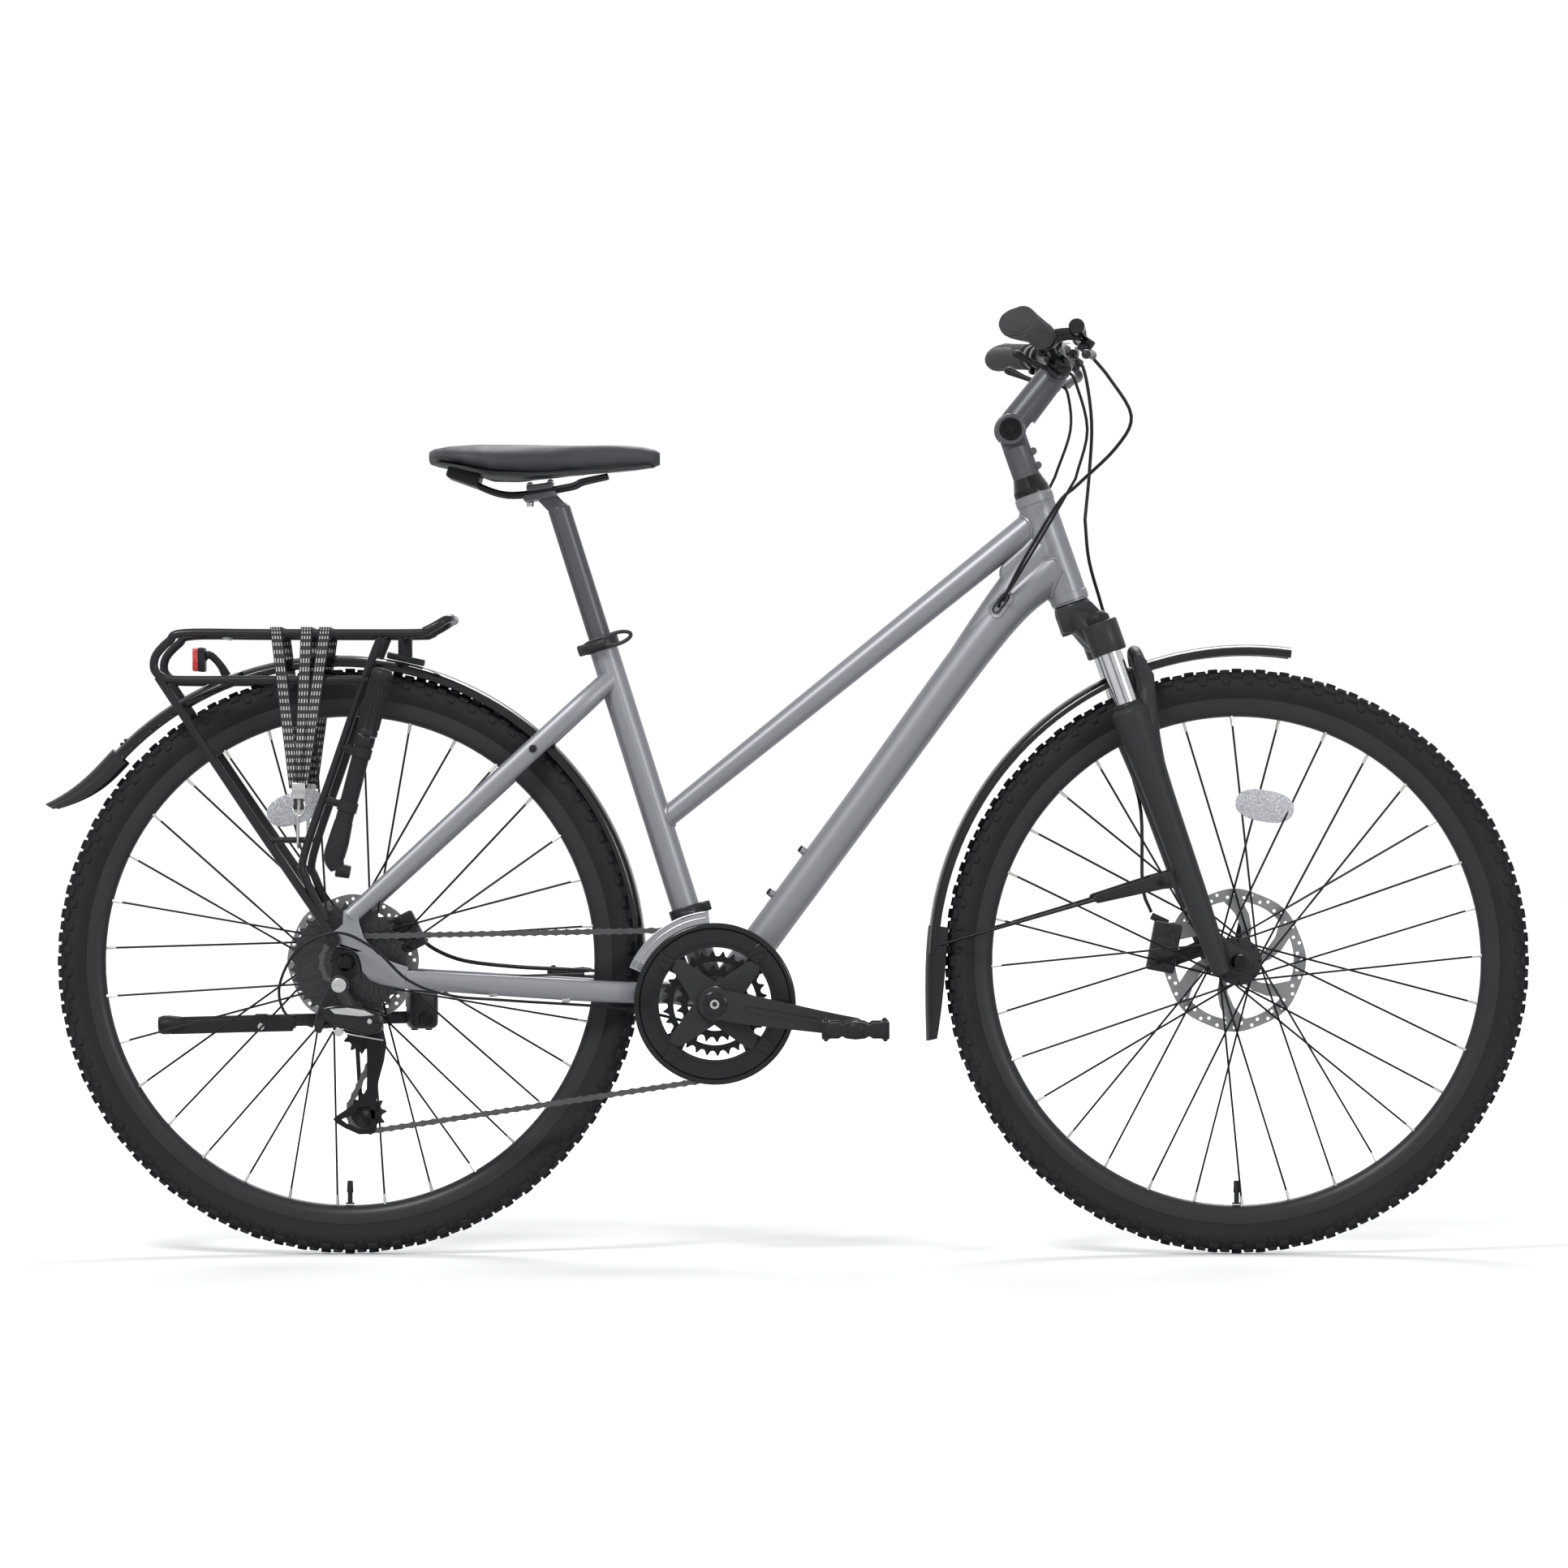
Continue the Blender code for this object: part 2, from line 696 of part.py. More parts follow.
def spokes(axle, left_flange, right_flange, reflector_angle):
    """Thirty-two tangential spokes, laced so that a right-hand pair holds the reflector."""
    step = 720 / SPOKE_COUNT
    phase = reflector_angle - 2.5 * step
    cross_angle = 67.5
    flats = math.cos(math.pi / WHEEL_SIDES)
    rim_end = (RIM_RADIUS - RIM_DEPTH) * flats - 2 * GAP
    pieces = []
    for flange_y, shift in ((right_flange, 0.0), (left_flange, step / 2)):
        for index in range(SPOKE_COUNT // 2):
            hub_angle = math.radians(index * step + shift + phase)
            lean = cross_angle if index % 2 == 0 else -cross_angle
            rim_angle = hub_angle + math.radians(lean)
            out = 0.0012 if index % 2 == 0 else -0.0012
            start = axle + Vector(
                (
                    SPOKE_CIRCLE_RADIUS * math.cos(hub_angle),
                    flange_y + out,
                    SPOKE_CIRCLE_RADIUS * math.sin(hub_angle),
                )
            )
            end = axle + Vector(
                (rim_end * math.cos(rim_angle), 0, rim_end * math.sin(rim_angle))
            )
            end.y = (0.0042 if flange_y > 0 else -0.0042) + out
            pieces.append(cylinder(start, end, SPOKE_RADIUS, 3))
    return pieces


def reflector(axle, radius, angle, flange_y):
    """The clear oval reflector clipped to two spokes."""
    turn = math.radians(angle)
    centre = axle + Vector((radius * math.cos(turn), 0, radius * math.sin(turn)))
    half, low = REFLECTOR_LENGTH / 2, REFLECTOR_HEIGHT / 2
    outline = [
        (-half, 0), (-0.72 * half, low), (0.72 * half, low),
        (half, 0), (0.72 * half, -low), (-0.72 * half, -low),
    ]
    tangent = Vector((math.sin(turn), 0, -math.cos(turn)))
    outward = Vector((math.cos(turn), 0, math.sin(turn)))
    points = [centre + tangent * x + outward * z for x, z in outline]
    middle = flange_y * 0.40
    return plate([[(p.x, p.z) for p in points]], middle - 0.004, middle + 0.004)


def build_hub(name, axle, profile, flanges, bore_half, reflector_place):
    """A hub shell with its spokes and reflector, drilled for the skewer."""
    shell = turned(profile, axle, LEFT, 11)
    pieces = [shell] + spokes(axle, *flanges, reflector_place[1])
    pieces.append(reflector(axle, *reflector_place, flanges[1]))
    hub = joined(pieces)
    ends = across(-bore_half, axle), across(bore_half, axle)
    hub = cut(hub, [bore(*ends, AXLE_RADIUS, 6)])
    return finish(hub, name, "satin_black", axle)


def hub_profile(half, left, right, left_boss, right_boss, boss_end):
    """(radius, y) points of a hub shell, from the left end to the right."""
    wall = 0.0026
    return [
        (0, half),
        (0.0070, half),
        (0.0070, left_boss),
        (boss_end, left_boss),
        (boss_end, left + wall + 0.001),
        (HUB_FLANGE_RADIUS, left + wall),
        (HUB_FLANGE_RADIUS, left - wall),
        (HUB_SHELL_RADIUS, left - wall - 0.004),
        (HUB_SHELL_RADIUS, right + wall + 0.004),
        (HUB_FLANGE_RADIUS, right + wall),
        (HUB_FLANGE_RADIUS, right - wall),
        (boss_end, right - wall - 0.001),
        (boss_end, right_boss),
        (0.0070, -half),
        (0, -half),
    ]


def build_front_hub():
    half = FRONT_HUB_WIDTH / 2
    flanges = (0.022, -0.033)
    profile = hub_profile(
        half, *flanges, FRONT_ROTOR_Y + 0.004, flanges[1] - 0.006, ROTOR_BOSS_RADIUS
    )
    return build_hub(
        "front_hub", FRONT_AXLE, profile, flanges, half + 0.01, (0.190, 80.0)
    )


def build_rear_hub():
    half = REAR_HUB_WIDTH / 2
    flanges = (0.034, -0.021)
    cassette_end = cog_y(0) - 0.0015
    profile = hub_profile(half, *flanges, REAR_ROTOR_Y + 0.004, cassette_end, ROTOR_BOSS_RADIUS)
    return build_hub("rear_hub", REAR_AXLE, profile, flanges, half + 0.01, (0.196, 109.5))


def build_rotor(name, axle, radius, y):
    """A wavy brake rotor: braking band, six raked arms and the ring on the hub."""
    waves, arms = 8, 6
    outline = []
    for wave in range(waves):
        angle = 360 * wave / waves
        outline += [(radius, angle - 8), (radius, angle + 8), (radius - 0.0030, angle + 22.5)]
    holes = [ring(axle, clear_radius(ROTOR_BOSS_RADIUS, 12), 12)]
    low, high = ROTOR_BOSS_RADIUS + 0.011, radius - ROTOR_BAND
    for arm in range(arms):
        angle = 360 * arm / arms
        window = [(low, angle + 10), (low, angle + 50), (high, angle + 82), (high, angle + 40)]
        holes.append(flat_points(axle, window))
    half = ROTOR_THICKNESS / 2
    disc = plate([flat_points(axle, outline)] + holes, y - half, y + half)
    return finish(disc, name, "silver_steel", axle)


def build_skewer(name, axle, dropout_outer):
    """A quick release skewer with its nut on the right and its cam body on the left."""
    nut = -dropout_outer - GAP
    cam = dropout_outer + GAP
    rod = cylinder(across(nut - 0.006, axle), across(cam + 0.010, axle), AXLE_RADIUS, 8)
    pieces = [
        rod,
        cylinder(across(nut, axle), across(nut - 0.011, axle), 0.0105, 10, 0.0080),
        cylinder(across(cam, axle), across(cam + 0.0045, axle), 0.0090, 10),
        cylinder(across(cam + 0.003, axle), across(cam + 0.0185, axle), 0.0050, 8),
    ]
    return finish(joined(pieces), name, "satin_black", axle)


def build_skewer_lever(name, axle, dropout_outer, angle):
    """A quick release lever, closed along the leg; it turns about the cam's own pin."""
    cam_y = dropout_outer + GAP + 0.012
    turn = math.radians(angle)
    run = Vector((math.cos(turn), 0, math.sin(turn)))
    pin = Vector((-run.z, 0, run.x))
    centre = across(cam_y, axle)
    cheek = 0.0050 + GAP
    pieces = []
    for side in (-1, 1):
        near = centre + pin * side * cheek
        pieces.append(cylinder(near, near + pin * side * 0.003, 0.0070, 6))
        arm = near + run * 0.0065 + pin * side * 0.0015
        pieces.append(box(arm, (0.013, 0.0075, 0.0028), rotation_for(run, pin)))
    bridge = centre + run * 0.0125
    pieces.append(box(bridge, (0.008, 0.008, 0.018), rotation_for(run, pin)))
    end = bridge + run * 0.045 + LEFT * 0.006
    pieces.append(tube([bridge, end], 0.0055, 0, radii=[0.0055, 0.0045]))
    return finish(joined(pieces), name, "satin_black", centre)


def rotation_for(local_x, local_z):
    """A rotation whose local X and Z run along two square directions."""
    local_x, local_z = Vector(local_x).normalized(), Vector(local_z).normalized()
    local_y = local_z.cross(local_x)
    return Matrix((local_x, local_y, local_z)).transposed()


# Fork and steering

def build_fork_upper():
    """Steerer, crown and both stanchions, pressed together."""
    top = STEM_PIVOT_HEIGHT - STEM_ARM_RADIUS - 0.008
    pieces = [
        cylinder(steering(-0.030), steering(top), STEERER_RADIUS, 14),
        turned(
            [(0, -GAP), (0.0205, -GAP), (0.0235, -0.010), (0.0235, -0.036), (0, -0.036)],
            HEAD_BOTTOM,
            STEER_UP,
            14,
        ),
    ]
    for side in (-1, 1):
        leg = side * FORK_LEG_Y
        pieces += [
            cylinder(
                steering(CROWN_CLAMP_TOP, FORK_LEG_OFFSET, leg),
                steering(CROWN_CLAMP_BOTTOM, FORK_LEG_OFFSET, leg),
                CROWN_CLAMP_RADIUS,
                12,
            ),
            cylinder(
                steering(CROWN_CLAMP_TOP - 0.005, FORK_LEG_OFFSET, leg),
                steering(LOWER_LEG_TOP - STANCHION_INSERTION, FORK_LEG_OFFSET, leg),
                STANCHION_RADIUS,
                12,
            ),
            tube(
                [
                    steering(-0.018, 0, 0),
                    steering(-0.024, 0.003, leg * 0.35),
                    steering(-0.052, 0.014, leg * 0.75),
                    steering(-0.058, FORK_LEG_OFFSET, leg),
                ],
                0.018,
                resolution=1,
                radii=[0.0175, 0.0165, 0.0150, 0.0150],
            ),
        ]
    return finish(joined(pieces), "fork_upper", "satin_black", HEAD_BOTTOM)


def build_suspension_knob():
    """The preload knob on top of the right fork leg."""
    foot = steering(CROWN_CLAMP_TOP + GAP, FORK_LEG_OFFSET, -FORK_LEG_Y)
    profile = [(0, 0.012), (0.0095, 0.012), (0.0115, 0.009), (0.0135, 0.006), (0.0135, 0), (0, 0)]
    return finish(turned(profile, foot, STEER_UP, 10), "suspension_knob", "satin_black", foot)


def lower_leg(side):
    """One lower leg with its dropout plate."""
    leg = side * FORK_LEG_Y
    heights = [LOWER_LEG_TOP, -0.150, -0.175, -0.250, -0.400, LOWER_LEG_BOTTOM]
    radii = [0.0195, 0.0235, 0.0225, 0.0180, 0.0150, 0.0110]
    path = [steering(height, FORK_LEG_OFFSET, leg) for height in heights]
    shaft = tube(path, 0.020, resolution=2, radii=radii)
    inner = side * (FRONT_HUB_WIDTH / 2 + GAP)
    outer = inner + side * DROPOUT_THICKNESS
    low = steering(LOWER_LEG_BOTTOM + 0.012, FORK_LEG_OFFSET)
    high = steering(-0.425, FORK_LEG_OFFSET)
    outline = (
        arc(FRONT_AXLE, 0.0150, -110, 80, 5)
        + [(high.x + 0.004, high.z)]
        + [(high.x - 0.006, high.z - 0.004), (low.x - 0.006, low.z)]
    )
    lug = plate([outline], inner, outer)
    return [shaft, lug, guard_stay_mount(side)]


def guard_stay_mount(side):
    """The lug behind a lower leg that the mudguard's stay clip is bolted to."""
    leg, lug = guard_stay_lug()
    return plate([capsule(leg, lug, 0.0120, 0.0090, 2)], side * 0.0595, side * GUARD_LUG_Y)


def caliper_mounts():
    """The two flanges on the left leg that the front caliper is bolted to."""
    centre, outward = front_caliper_centre()
    tangent = Vector((outward.z, 0, -outward.x))
    inner = CALIPER_OUTER_Y + GAP
    mounts = []
    for height, shift in ((-0.425, 0.022), (-0.447, -0.022)):
        leg = steering(height, FORK_LEG_OFFSET)
        outline = capsule(leg, centre + tangent * shift, 0.0100, 0.0075, 2)
        mounts.append(plate([outline], inner, inner + 0.0080))
    return mounts


def fork_arch():
    """The bridge in front of the legs, above the mudguard."""
    reach = [
        (LOWER_LEG_TOP - 0.018, FORK_LEG_OFFSET + 0.010, FORK_LEG_Y - 0.002),
        (LOWER_LEG_TOP + 0.006, FORK_LEG_OFFSET + 0.0270, FORK_LEG_Y - 0.010),
        (LOWER_LEG_TOP + 0.056, FORK_LEG_OFFSET + 0.0310, 0.022),
    ]
    half = [steering(*point) for point in reach]
    other = [Vector((p.x, -p.y, p.z)) for p in reversed(half)]
    radii = [0.0085, 0.0085, 0.0080, 0.0080, 0.0085, 0.0085]
    return tube(half + other, 0.0085, resolution=1, radii=radii)


def build_fork_lowers():
    """Both lower legs and the arch as one casting, bored for the stanchions."""
    pieces = lower_leg(-1) + lower_leg(1) + [fork_arch()] + caliper_mounts()
    bores = []
    bottom = LOWER_LEG_TOP - STANCHION_INSERTION - FORK_TRAVEL - 0.006
    for side in (-1, 1):
        leg = side * FORK_LEG_Y
        bores.append(
            bore(
                steering(bottom, FORK_LEG_OFFSET, leg),
                steering(LOWER_LEG_TOP + 0.02, FORK_LEG_OFFSET, leg),
                STANCHION_RADIUS,
                12,
            )
        )
    reach = FRONT_HUB_WIDTH / 2 + 0.02
    bores.append(bore(across(-reach, FRONT_AXLE), across(reach, FRONT_AXLE), AXLE_RADIUS, 8))
    lowers = cut(joined(pieces), bores)
    return finish(lowers, "fork_lowers", "satin_black", FRONT_AXLE)


def stem_pivot():
    return steering(STEM_PIVOT_HEIGHT)


def bar_centre():
    run = Vector((math.cos(STEM_ARM_ANGLE), 0, math.sin(STEM_ARM_ANGLE)))
    return stem_pivot() + run * STEM_ARM_LENGTH


def build_stem_base():
    """The stem's foot on the steerer, with the headset cone and the hinge knuckle."""
    low = HEAD_TUBE_LENGTH + GAP
    shoulder = STEM_PIVOT_HEIGHT - STEM_ARM_RADIUS - 0.003
    profile = [
        (0, shoulder),
        (STEM_BASE_RADIUS, shoulder),
        (STEM_BASE_RADIUS, low + 0.016),
        (HEAD_TUBE_RADIUS - 0.001, low + 0.005),
        (HEAD_TUBE_RADIUS - 0.001, low),
        (0, low),
    ]
    body = turned(profile, HEAD_BOTTOM, STEER_UP, 14)
    half = STEM_KNUCKLE_WIDTH / 2
    knuckle = cylinder(
        across(-half, stem_pivot()), across(half, stem_pivot()), STEM_ARM_RADIUS - 0.004, 14
    )
    neck_centre = steering((shoulder + STEM_PIVOT_HEIGHT) / 2 - 0.003)
    length = STEM_PIVOT_HEIGHT - shoulder + 0.006
    neck = box(
        neck_centre,
        (0.024, STEM_KNUCKLE_WIDTH - 0.001, length),
        rotation_for(STEER_FORWARD, STEER_UP),
    )
    pieces = [body, knuckle, neck]
    for height in (0.170, 0.188):
        lug = steering(height, STEM_BASE_RADIUS + 0.001)
        pieces.append(cylinder(across(-0.008, lug), across(0.008, lug), 0.0045, 6))
    base = joined(pieces)
    top = STEM_PIVOT_HEIGHT - STEM_ARM_RADIUS - 0.007
    sleeve = bore(steering(low - 0.01), steering(top), STEERER_RADIUS, 12)
    pin = bore(across(-0.03, stem_pivot()), across(0.03, stem_pivot()), 0.0040, 8)
    return finish(cut(base, [sleeve, pin]), "stem_base", "satin_black", stem_pivot())


def build_stem_arm():
    """The stem's hinged arm, with two cheeks, its pivot bolt and the bar clamp."""
    pivot, centre = stem_pivot(), bar_centre()
    inner = STEM_KNUCKLE_WIDTH / 2 + GAP
    outer = STEM_ARM_RADIUS
    run = (centre - pivot).normalized()
    pieces = []
    for side in (-1, 1):
        pieces.append(
            plate([capsule(pivot, pivot + run * 0.032, 0.0165, 0.0165, 3)],
                  side * inner, side * outer)
        )
    bolt = cylinder(
        across(-outer - 0.002, pivot), across(outer + 0.002, pivot), 0.0040, 6
    )
    cap = cylinder(across(-outer - 0.003, pivot), across(-outer + 0.002, pivot), 0.0065, 6)
    body = cylinder(pivot + run * 0.0260, centre - run * 0.004, 0.0190, 12, 0.0175)
    clamp = cylinder(across(-0.0215, centre), across(0.0215, centre), BAR_CLAMP_RADIUS, 14)
    faceplate = box(centre + run * 0.014, (0.010, 0.042, 0.026), turn_about_y(run))
    arm = joined(pieces + [body, clamp, faceplate, bolt, cap])
    socket = bore(across(-0.04, centre), across(0.04, centre), BAR_RADIUS + 0.0020, 12)
    return finish(cut(arm, [socket]), "stem_arm", "satin_black", pivot)


def turn_about_y(direction):
    return rotation_for(direction, Vector((-direction[2], 0, direction[0])))


def bar_points():
    """The bar's centre line on the left side, from the clamp to its end."""
    centre = bar_centre()
    end = centre + Vector((-BAR_SWEEP, BAR_HALF_LENGTH, BAR_RISE))
    bend = centre + Vector((-0.25 * BAR_SWEEP, 0.400 * BAR_HALF_LENGTH, 0.62 * BAR_RISE))
    return [
        centre,
        centre + Vector((0, 0.030, 0)),
        centre + Vector((-0.08 * BAR_SWEEP, 0.24 * BAR_HALF_LENGTH, 0.36 * BAR_RISE)),
        bend,
        end,
    ]


def bar_at(y):
    """The bar's centre and direction at a distance from the middle."""
    bend, end = bar_points()[3:]
    run = (end - bend).normalized()
    return bend + run * ((abs(y) - bend.y) / run.y), run


def build_handlebar():
    points = bar_points()
    run = (points[4] - points[3]).normalized()
    half = points[:4] + [points[4] - run * 0.003]
    other = [Vector((p.x, -p.y, p.z)) for p in reversed(half[1:])]
    path = other + half
    sleeve = cylinder(
        across(-0.026, bar_centre()), across(0.026, bar_centre()), BAR_RADIUS + 0.0020, 10
    )
    bar = joined([tube(path, BAR_RADIUS, resolution=2), sleeve])
    return finish(bar, "handlebar", "satin_black", bar_centre())


def build_grip():
    """The right grip, with its palm wing, closed at the outer end."""
    end, run = bar_at(BAR_HALF_LENGTH)
    back = Vector((-1, 0, -0.25)).normalized()
    sleeve = cylinder(end - run * GRIP_LENGTH, end, GRIP_RADIUS, 10)
    wing_path = [
        end - run * GRIP_LENGTH * 0.80 + back * 0.002,
        end - run * GRIP_LENGTH * 0.45 + back * 0.008,
        end - run * GRIP_LENGTH * 0.15 + back * 0.012,
        end - run * 0.001 + back * 0.010,
    ]
    wing = tube(wing_path, 0.018, resolution=1, radii=[0.0125, 0.0150, 0.0155, 0.0125])
    bore_end = end - run * (0.003 - GAP)
    socket = bore(end - run * (GRIP_LENGTH + 0.02), bore_end, BAR_RADIUS, 12)
    left = cut(joined([sleeve, wing]), [socket])
    right = mirrored(left)
    origin = Vector((end.x, -end.y, end.z))
    finish(right, "right_grip", "grip_rubber", origin)
    finish(left, "left_grip", "grip_rubber", end)
    return left, right


def lever_pivot():
    """The left brake lever's pivot, ahead of and below the bar."""
    place, _ = bar_at(BRAKE_MOUNT_Y)
    return place + Vector((0.046, 0.004, -0.012))


def lever_axis():
    """The brake lever's hinge axis, square to its pull."""
    return Vector((0.54, 0, 0.84)).normalized()


def shifter_centre():
    place, _ = bar_at(SHIFTER_Y)
    return place + Vector((0.006, 0, -0.030))


def shifter_axis():
    return Vector((0.62, 0, 0.78)).normalized()


def build_brake_mounts():
    """Both brake bodies with their bar clamps, master cylinders and shifter pods."""
    place, run = bar_at(BRAKE_MOUNT_Y)
    shift_place, _ = bar_at(SHIFTER_Y)
    clamp = BAR_RADIUS + 0.0045
    pivot, axis = lever_pivot(), lever_axis()
    cylinder_start = place + Vector((0.036, 0.030, 0.013))
    cylinder_end = place + Vector((0.044, -0.045, 0.001))
    pod, pod_axis = shifter_centre(), shifter_axis()
    pieces = [
        cylinder(place - run * 0.008, place + run * 0.008, clamp, 8),
        tube([place + Vector((0.008, 0, 0.002)), pivot + Vector((-0.002, 0, 0.016))], 0.006, 0),
        cylinder(cylinder_start, cylinder_end, 0.0095, 8),
        cylinder(pivot + axis * 0.0045, pivot + axis * 0.013, 0.0080, 8),
        cylinder(shift_place - run * 0.006, shift_place + run * 0.006, clamp, 8),
        tube([shift_place, pod + pod_axis * 0.008], 0.008, 0),
        cylinder(pod - pod_axis * 0.002, pod + pod_axis * 0.017, 0.0190, 10, 0.0150),
        tube([pod + Vector((0, 0.006, 0.008)), place + Vector((0.006, 0, -0.008))], 0.006, 0),
    ]
    body = joined(pieces)
    bores = [
        bore(shift_place - run * 0.05, place + run * 0.05, BAR_RADIUS, 10),
        bore(pivot - axis * 0.006, pivot + axis * 0.010, 0.0030, 6),
        bore(pod - pod_axis * 0.006, pod + pod_axis * 0.010, 0.0030, 6),
    ]
    left = cut(body, bores)
    right = mirrored(left)
    finish(left, "left_brake_mount", "gloss_black", place)
    finish(right, "right_brake_mount", "gloss_black", Vector((place.x, -place.y, place.z)))
    return left, right


def build_brake_levers():
    """Both brake lever blades with their hinge pins."""
    pivot, axis = lever_pivot(), lever_axis()
    path = [
        pivot + Vector((0.003, 0.004, -0.002)),
        pivot + Vector((0.008, 0.020, -0.008)),
        pivot + Vector((0.008, 0.045, -0.011)),
        pivot + Vector((0.003, 0.075, -0.012)),
        pivot + Vector((-0.002, 0.108, -0.014)),
    ]
    blade = tube(path, 0.006, resolution=1, radii=[0.0038, 0.0050, 0.0050, 0.0048, 0.0055])
    hub = cylinder(pivot - axis * 0.0042, pivot + axis * 0.0042, 0.0080, 8)
    pin = cylinder(pivot, pivot + axis * 0.009, 0.0030, 6)
    left = joined([blade, hub, pin])
    right = mirrored(left)
    finish(left, "left_brake_lever", "satin_black", pivot)
    finish(right, "right_brake_lever", "satin_black", Vector((pivot.x, -pivot.y, pivot.z)))
    return left, right


def build_shift_levers():
    """Both thumb levers, hinged under the shifter pods."""
    pod, axis = shifter_centre(), shifter_axis()
    low = pod - axis * (0.002 + GAP)
    tip = low + Vector((-0.042, 0.020, 0.020)) - axis * 0.002
    hub = cylinder(low - axis * 0.0045, low, 0.0110, 10)
    blade = tube(
        [low - axis * 0.0023, low + (tip - low) * 0.55 - axis * 0.003, tip - axis * 0.002],
        0.006,
        resolution=1,
        radii=[0.0030, 0.0032, 0.0055],
    )
    pin = cylinder(low - axis * 0.001, low + axis * 0.010, 0.0030, 6)
    left = joined([hub, blade, pin])
    right = mirrored(left)
    finish(left, "left_shift_lever", "satin_black", pod)
    finish(right, "right_shift_lever", "satin_black", Vector((pod.x, -pod.y, pod.z)))
    return left, right


# Hoses and cables, whose routes are chosen by hand

def cable(route, radius, name):
    """A cable or hose through hand-picked points."""
    obj = tube(route, radius, resolution=1)
    return finish(obj, name, "black_rubber", route[0])


def build_cables():
    hose_start = lever_pivot() + Vector((0, -0.0525, 0.0117))
    shift_start = shifter_centre() + Vector((0.0173, -0.0064, -0.0047))
    rear_brake = [
        across(-hose_start.y, hose_start), (0.356, -0.098, 1.076), (0.378, -0.090, 1.050),
        (0.404, -0.082, 1.006), (0.386, -0.070, 0.9685), (0.3385, -0.052, 0.923),
        (0.317, -0.047, 0.902), (0.276, -0.041, 0.834), (0.2590, -0.030, 0.801),
        (0.2533, -0.020, 0.7888), (0.2485, -0.008, 0.7780), (0.2440, 0.002, 0.7715),
        (0.222, 0.000, 0.742), (0.150, -0.001, 0.634), (0.020, -0.003, 0.458),
    ]
    front_brake = [
        hose_start, (0.356, 0.102, 1.070), (0.364, 0.093, 1.010),
        (0.361, 0.082, 0.949), (0.355, 0.070, 0.889), (0.360, 0.072, 0.839),
        (0.376, 0.0915, 0.785), (0.395, 0.0920, 0.715), (0.409, 0.0920, 0.600),
        (0.423, 0.066, 0.533), (0.424, 0.048, 0.444), (0.4345, 0.046, 0.4108),
    ]
    right_shift = [
        across(-shift_start.y, shift_start), (0.3360, -0.1160, 1.0440), (0.351, -0.092, 0.989),
        (0.338, -0.066, 0.932), (0.3045, -0.057, 0.874), (0.266, -0.050, 0.810),
        (0.2510, -0.031, 0.7890), (0.2473, -0.020, 0.7808), (0.2430, -0.008, 0.7705),
        (0.214, -0.011, 0.735), (0.164, -0.011, 0.647),
    ]
    left_shift = [
        shift_start, (0.3360, 0.1160, 1.0440), (0.338, 0.090, 0.9985),
        (0.318, 0.066, 0.940), (0.298, 0.056, 0.900), (0.270, 0.048, 0.840),
        (0.2530, 0.030, 0.7960), (0.2485, 0.020, 0.7830), (0.2440, 0.009, 0.7725),
        (0.222, 0.010, 0.745), (0.1866, 0.000, 0.6677), (0.164, -0.010, 0.647),
    ]
    cable(rear_brake, 0.0025, "rear_brake_hose")
    cable(front_brake, 0.0025, "front_brake_hose")
    right = tube(right_shift, 0.0020, 1)
    left = tube(left_shift, 0.0020, 1)
    finish(joined([right, left]), "shift_cables", "black_rubber", right_shift[0])
    loop = [
        (-0.110, -0.020, 0.2760), (-0.200, -0.0340, 0.2960), (-0.345, -0.0540, 0.3070),
        (-0.409, -0.0840, 0.3135), (-0.459, -0.0960, 0.3320), (-0.500, -0.0980, 0.3700),
        (-0.5448, -0.0980, 0.3890), (-0.5900, -0.0980, 0.3690), (-0.6126, -0.0965, 0.3260),
        (-0.6048, -0.0930, 0.2910), (-0.5734, -0.0858, 0.2765),
    ]
    cable(loop, 0.0022, "rear_derailleur_cable")


# Seat

def build_seatpost():
    """The seatpost with its clamp head round the saddle rails."""
    top = seat_line(SEAT_TUBE_LENGTH + SEATPOST_EXPOSED)
    clamp = rail_clamp()
    pieces = [
        cylinder(seat_line(SEAT_TUBE_LENGTH - SEATPOST_INSERTION), top, SEATPOST_RADIUS, 12),
        tube([top - SEAT_UP * 0.022, top + Vector((-0.006, 0, 0.004)), clamp], 0.0150, 1,
             radii=[0.0136, 0.0145, 0.0120]),
        cylinder(across(-0.029, clamp), across(0.029, clamp), 0.0115, 10),
        cylinder(across(-0.033, clamp), across(0.033, clamp), 0.0045, 6),
    ]
    run = rail_run()
    bores = []
    for side in (-1, 1):
        centre = across(side * RAIL_SPACING / 2, clamp) + Vector((0, 0, RAIL_DROP))
        bores.append(bore(centre - run * 0.03, centre + run * 0.03, RAIL_RADIUS, 6))
    return finish(cut(joined(pieces), bores), "seatpost", "satin_black", top)


def rail_clamp():
    """The middle of the seatpost's clamp, behind the post's own line."""
    return seat_line(SEAT_TUBE_LENGTH + SEATPOST_EXPOSED) + Vector((-0.0225, 0, 0.0230))


def rail_run():
    return Vector((0.0766, 0, 0.0110)).normalized()


def saddle_rear():
    return rail_clamp() + Vector((-0.1335, 0, 0.0140))


def saddle_half_widths():
    """(share of the length from the rear, half width) pairs of the saddle's plan."""
    rear, nose = SADDLE_WIDTH / 2, SADDLE_NOSE_WIDTH / 2
    return [
        (0.000, 0.40 * rear),
        (0.060, 0.80 * rear),
        (0.200, rear),
        (0.360, 0.90 * rear),
        (0.540, nose + 0.30 * (rear - nose)),
        (0.720, nose + 0.06 * (rear - nose)),
        (1.000, 0.50 * nose),
    ]


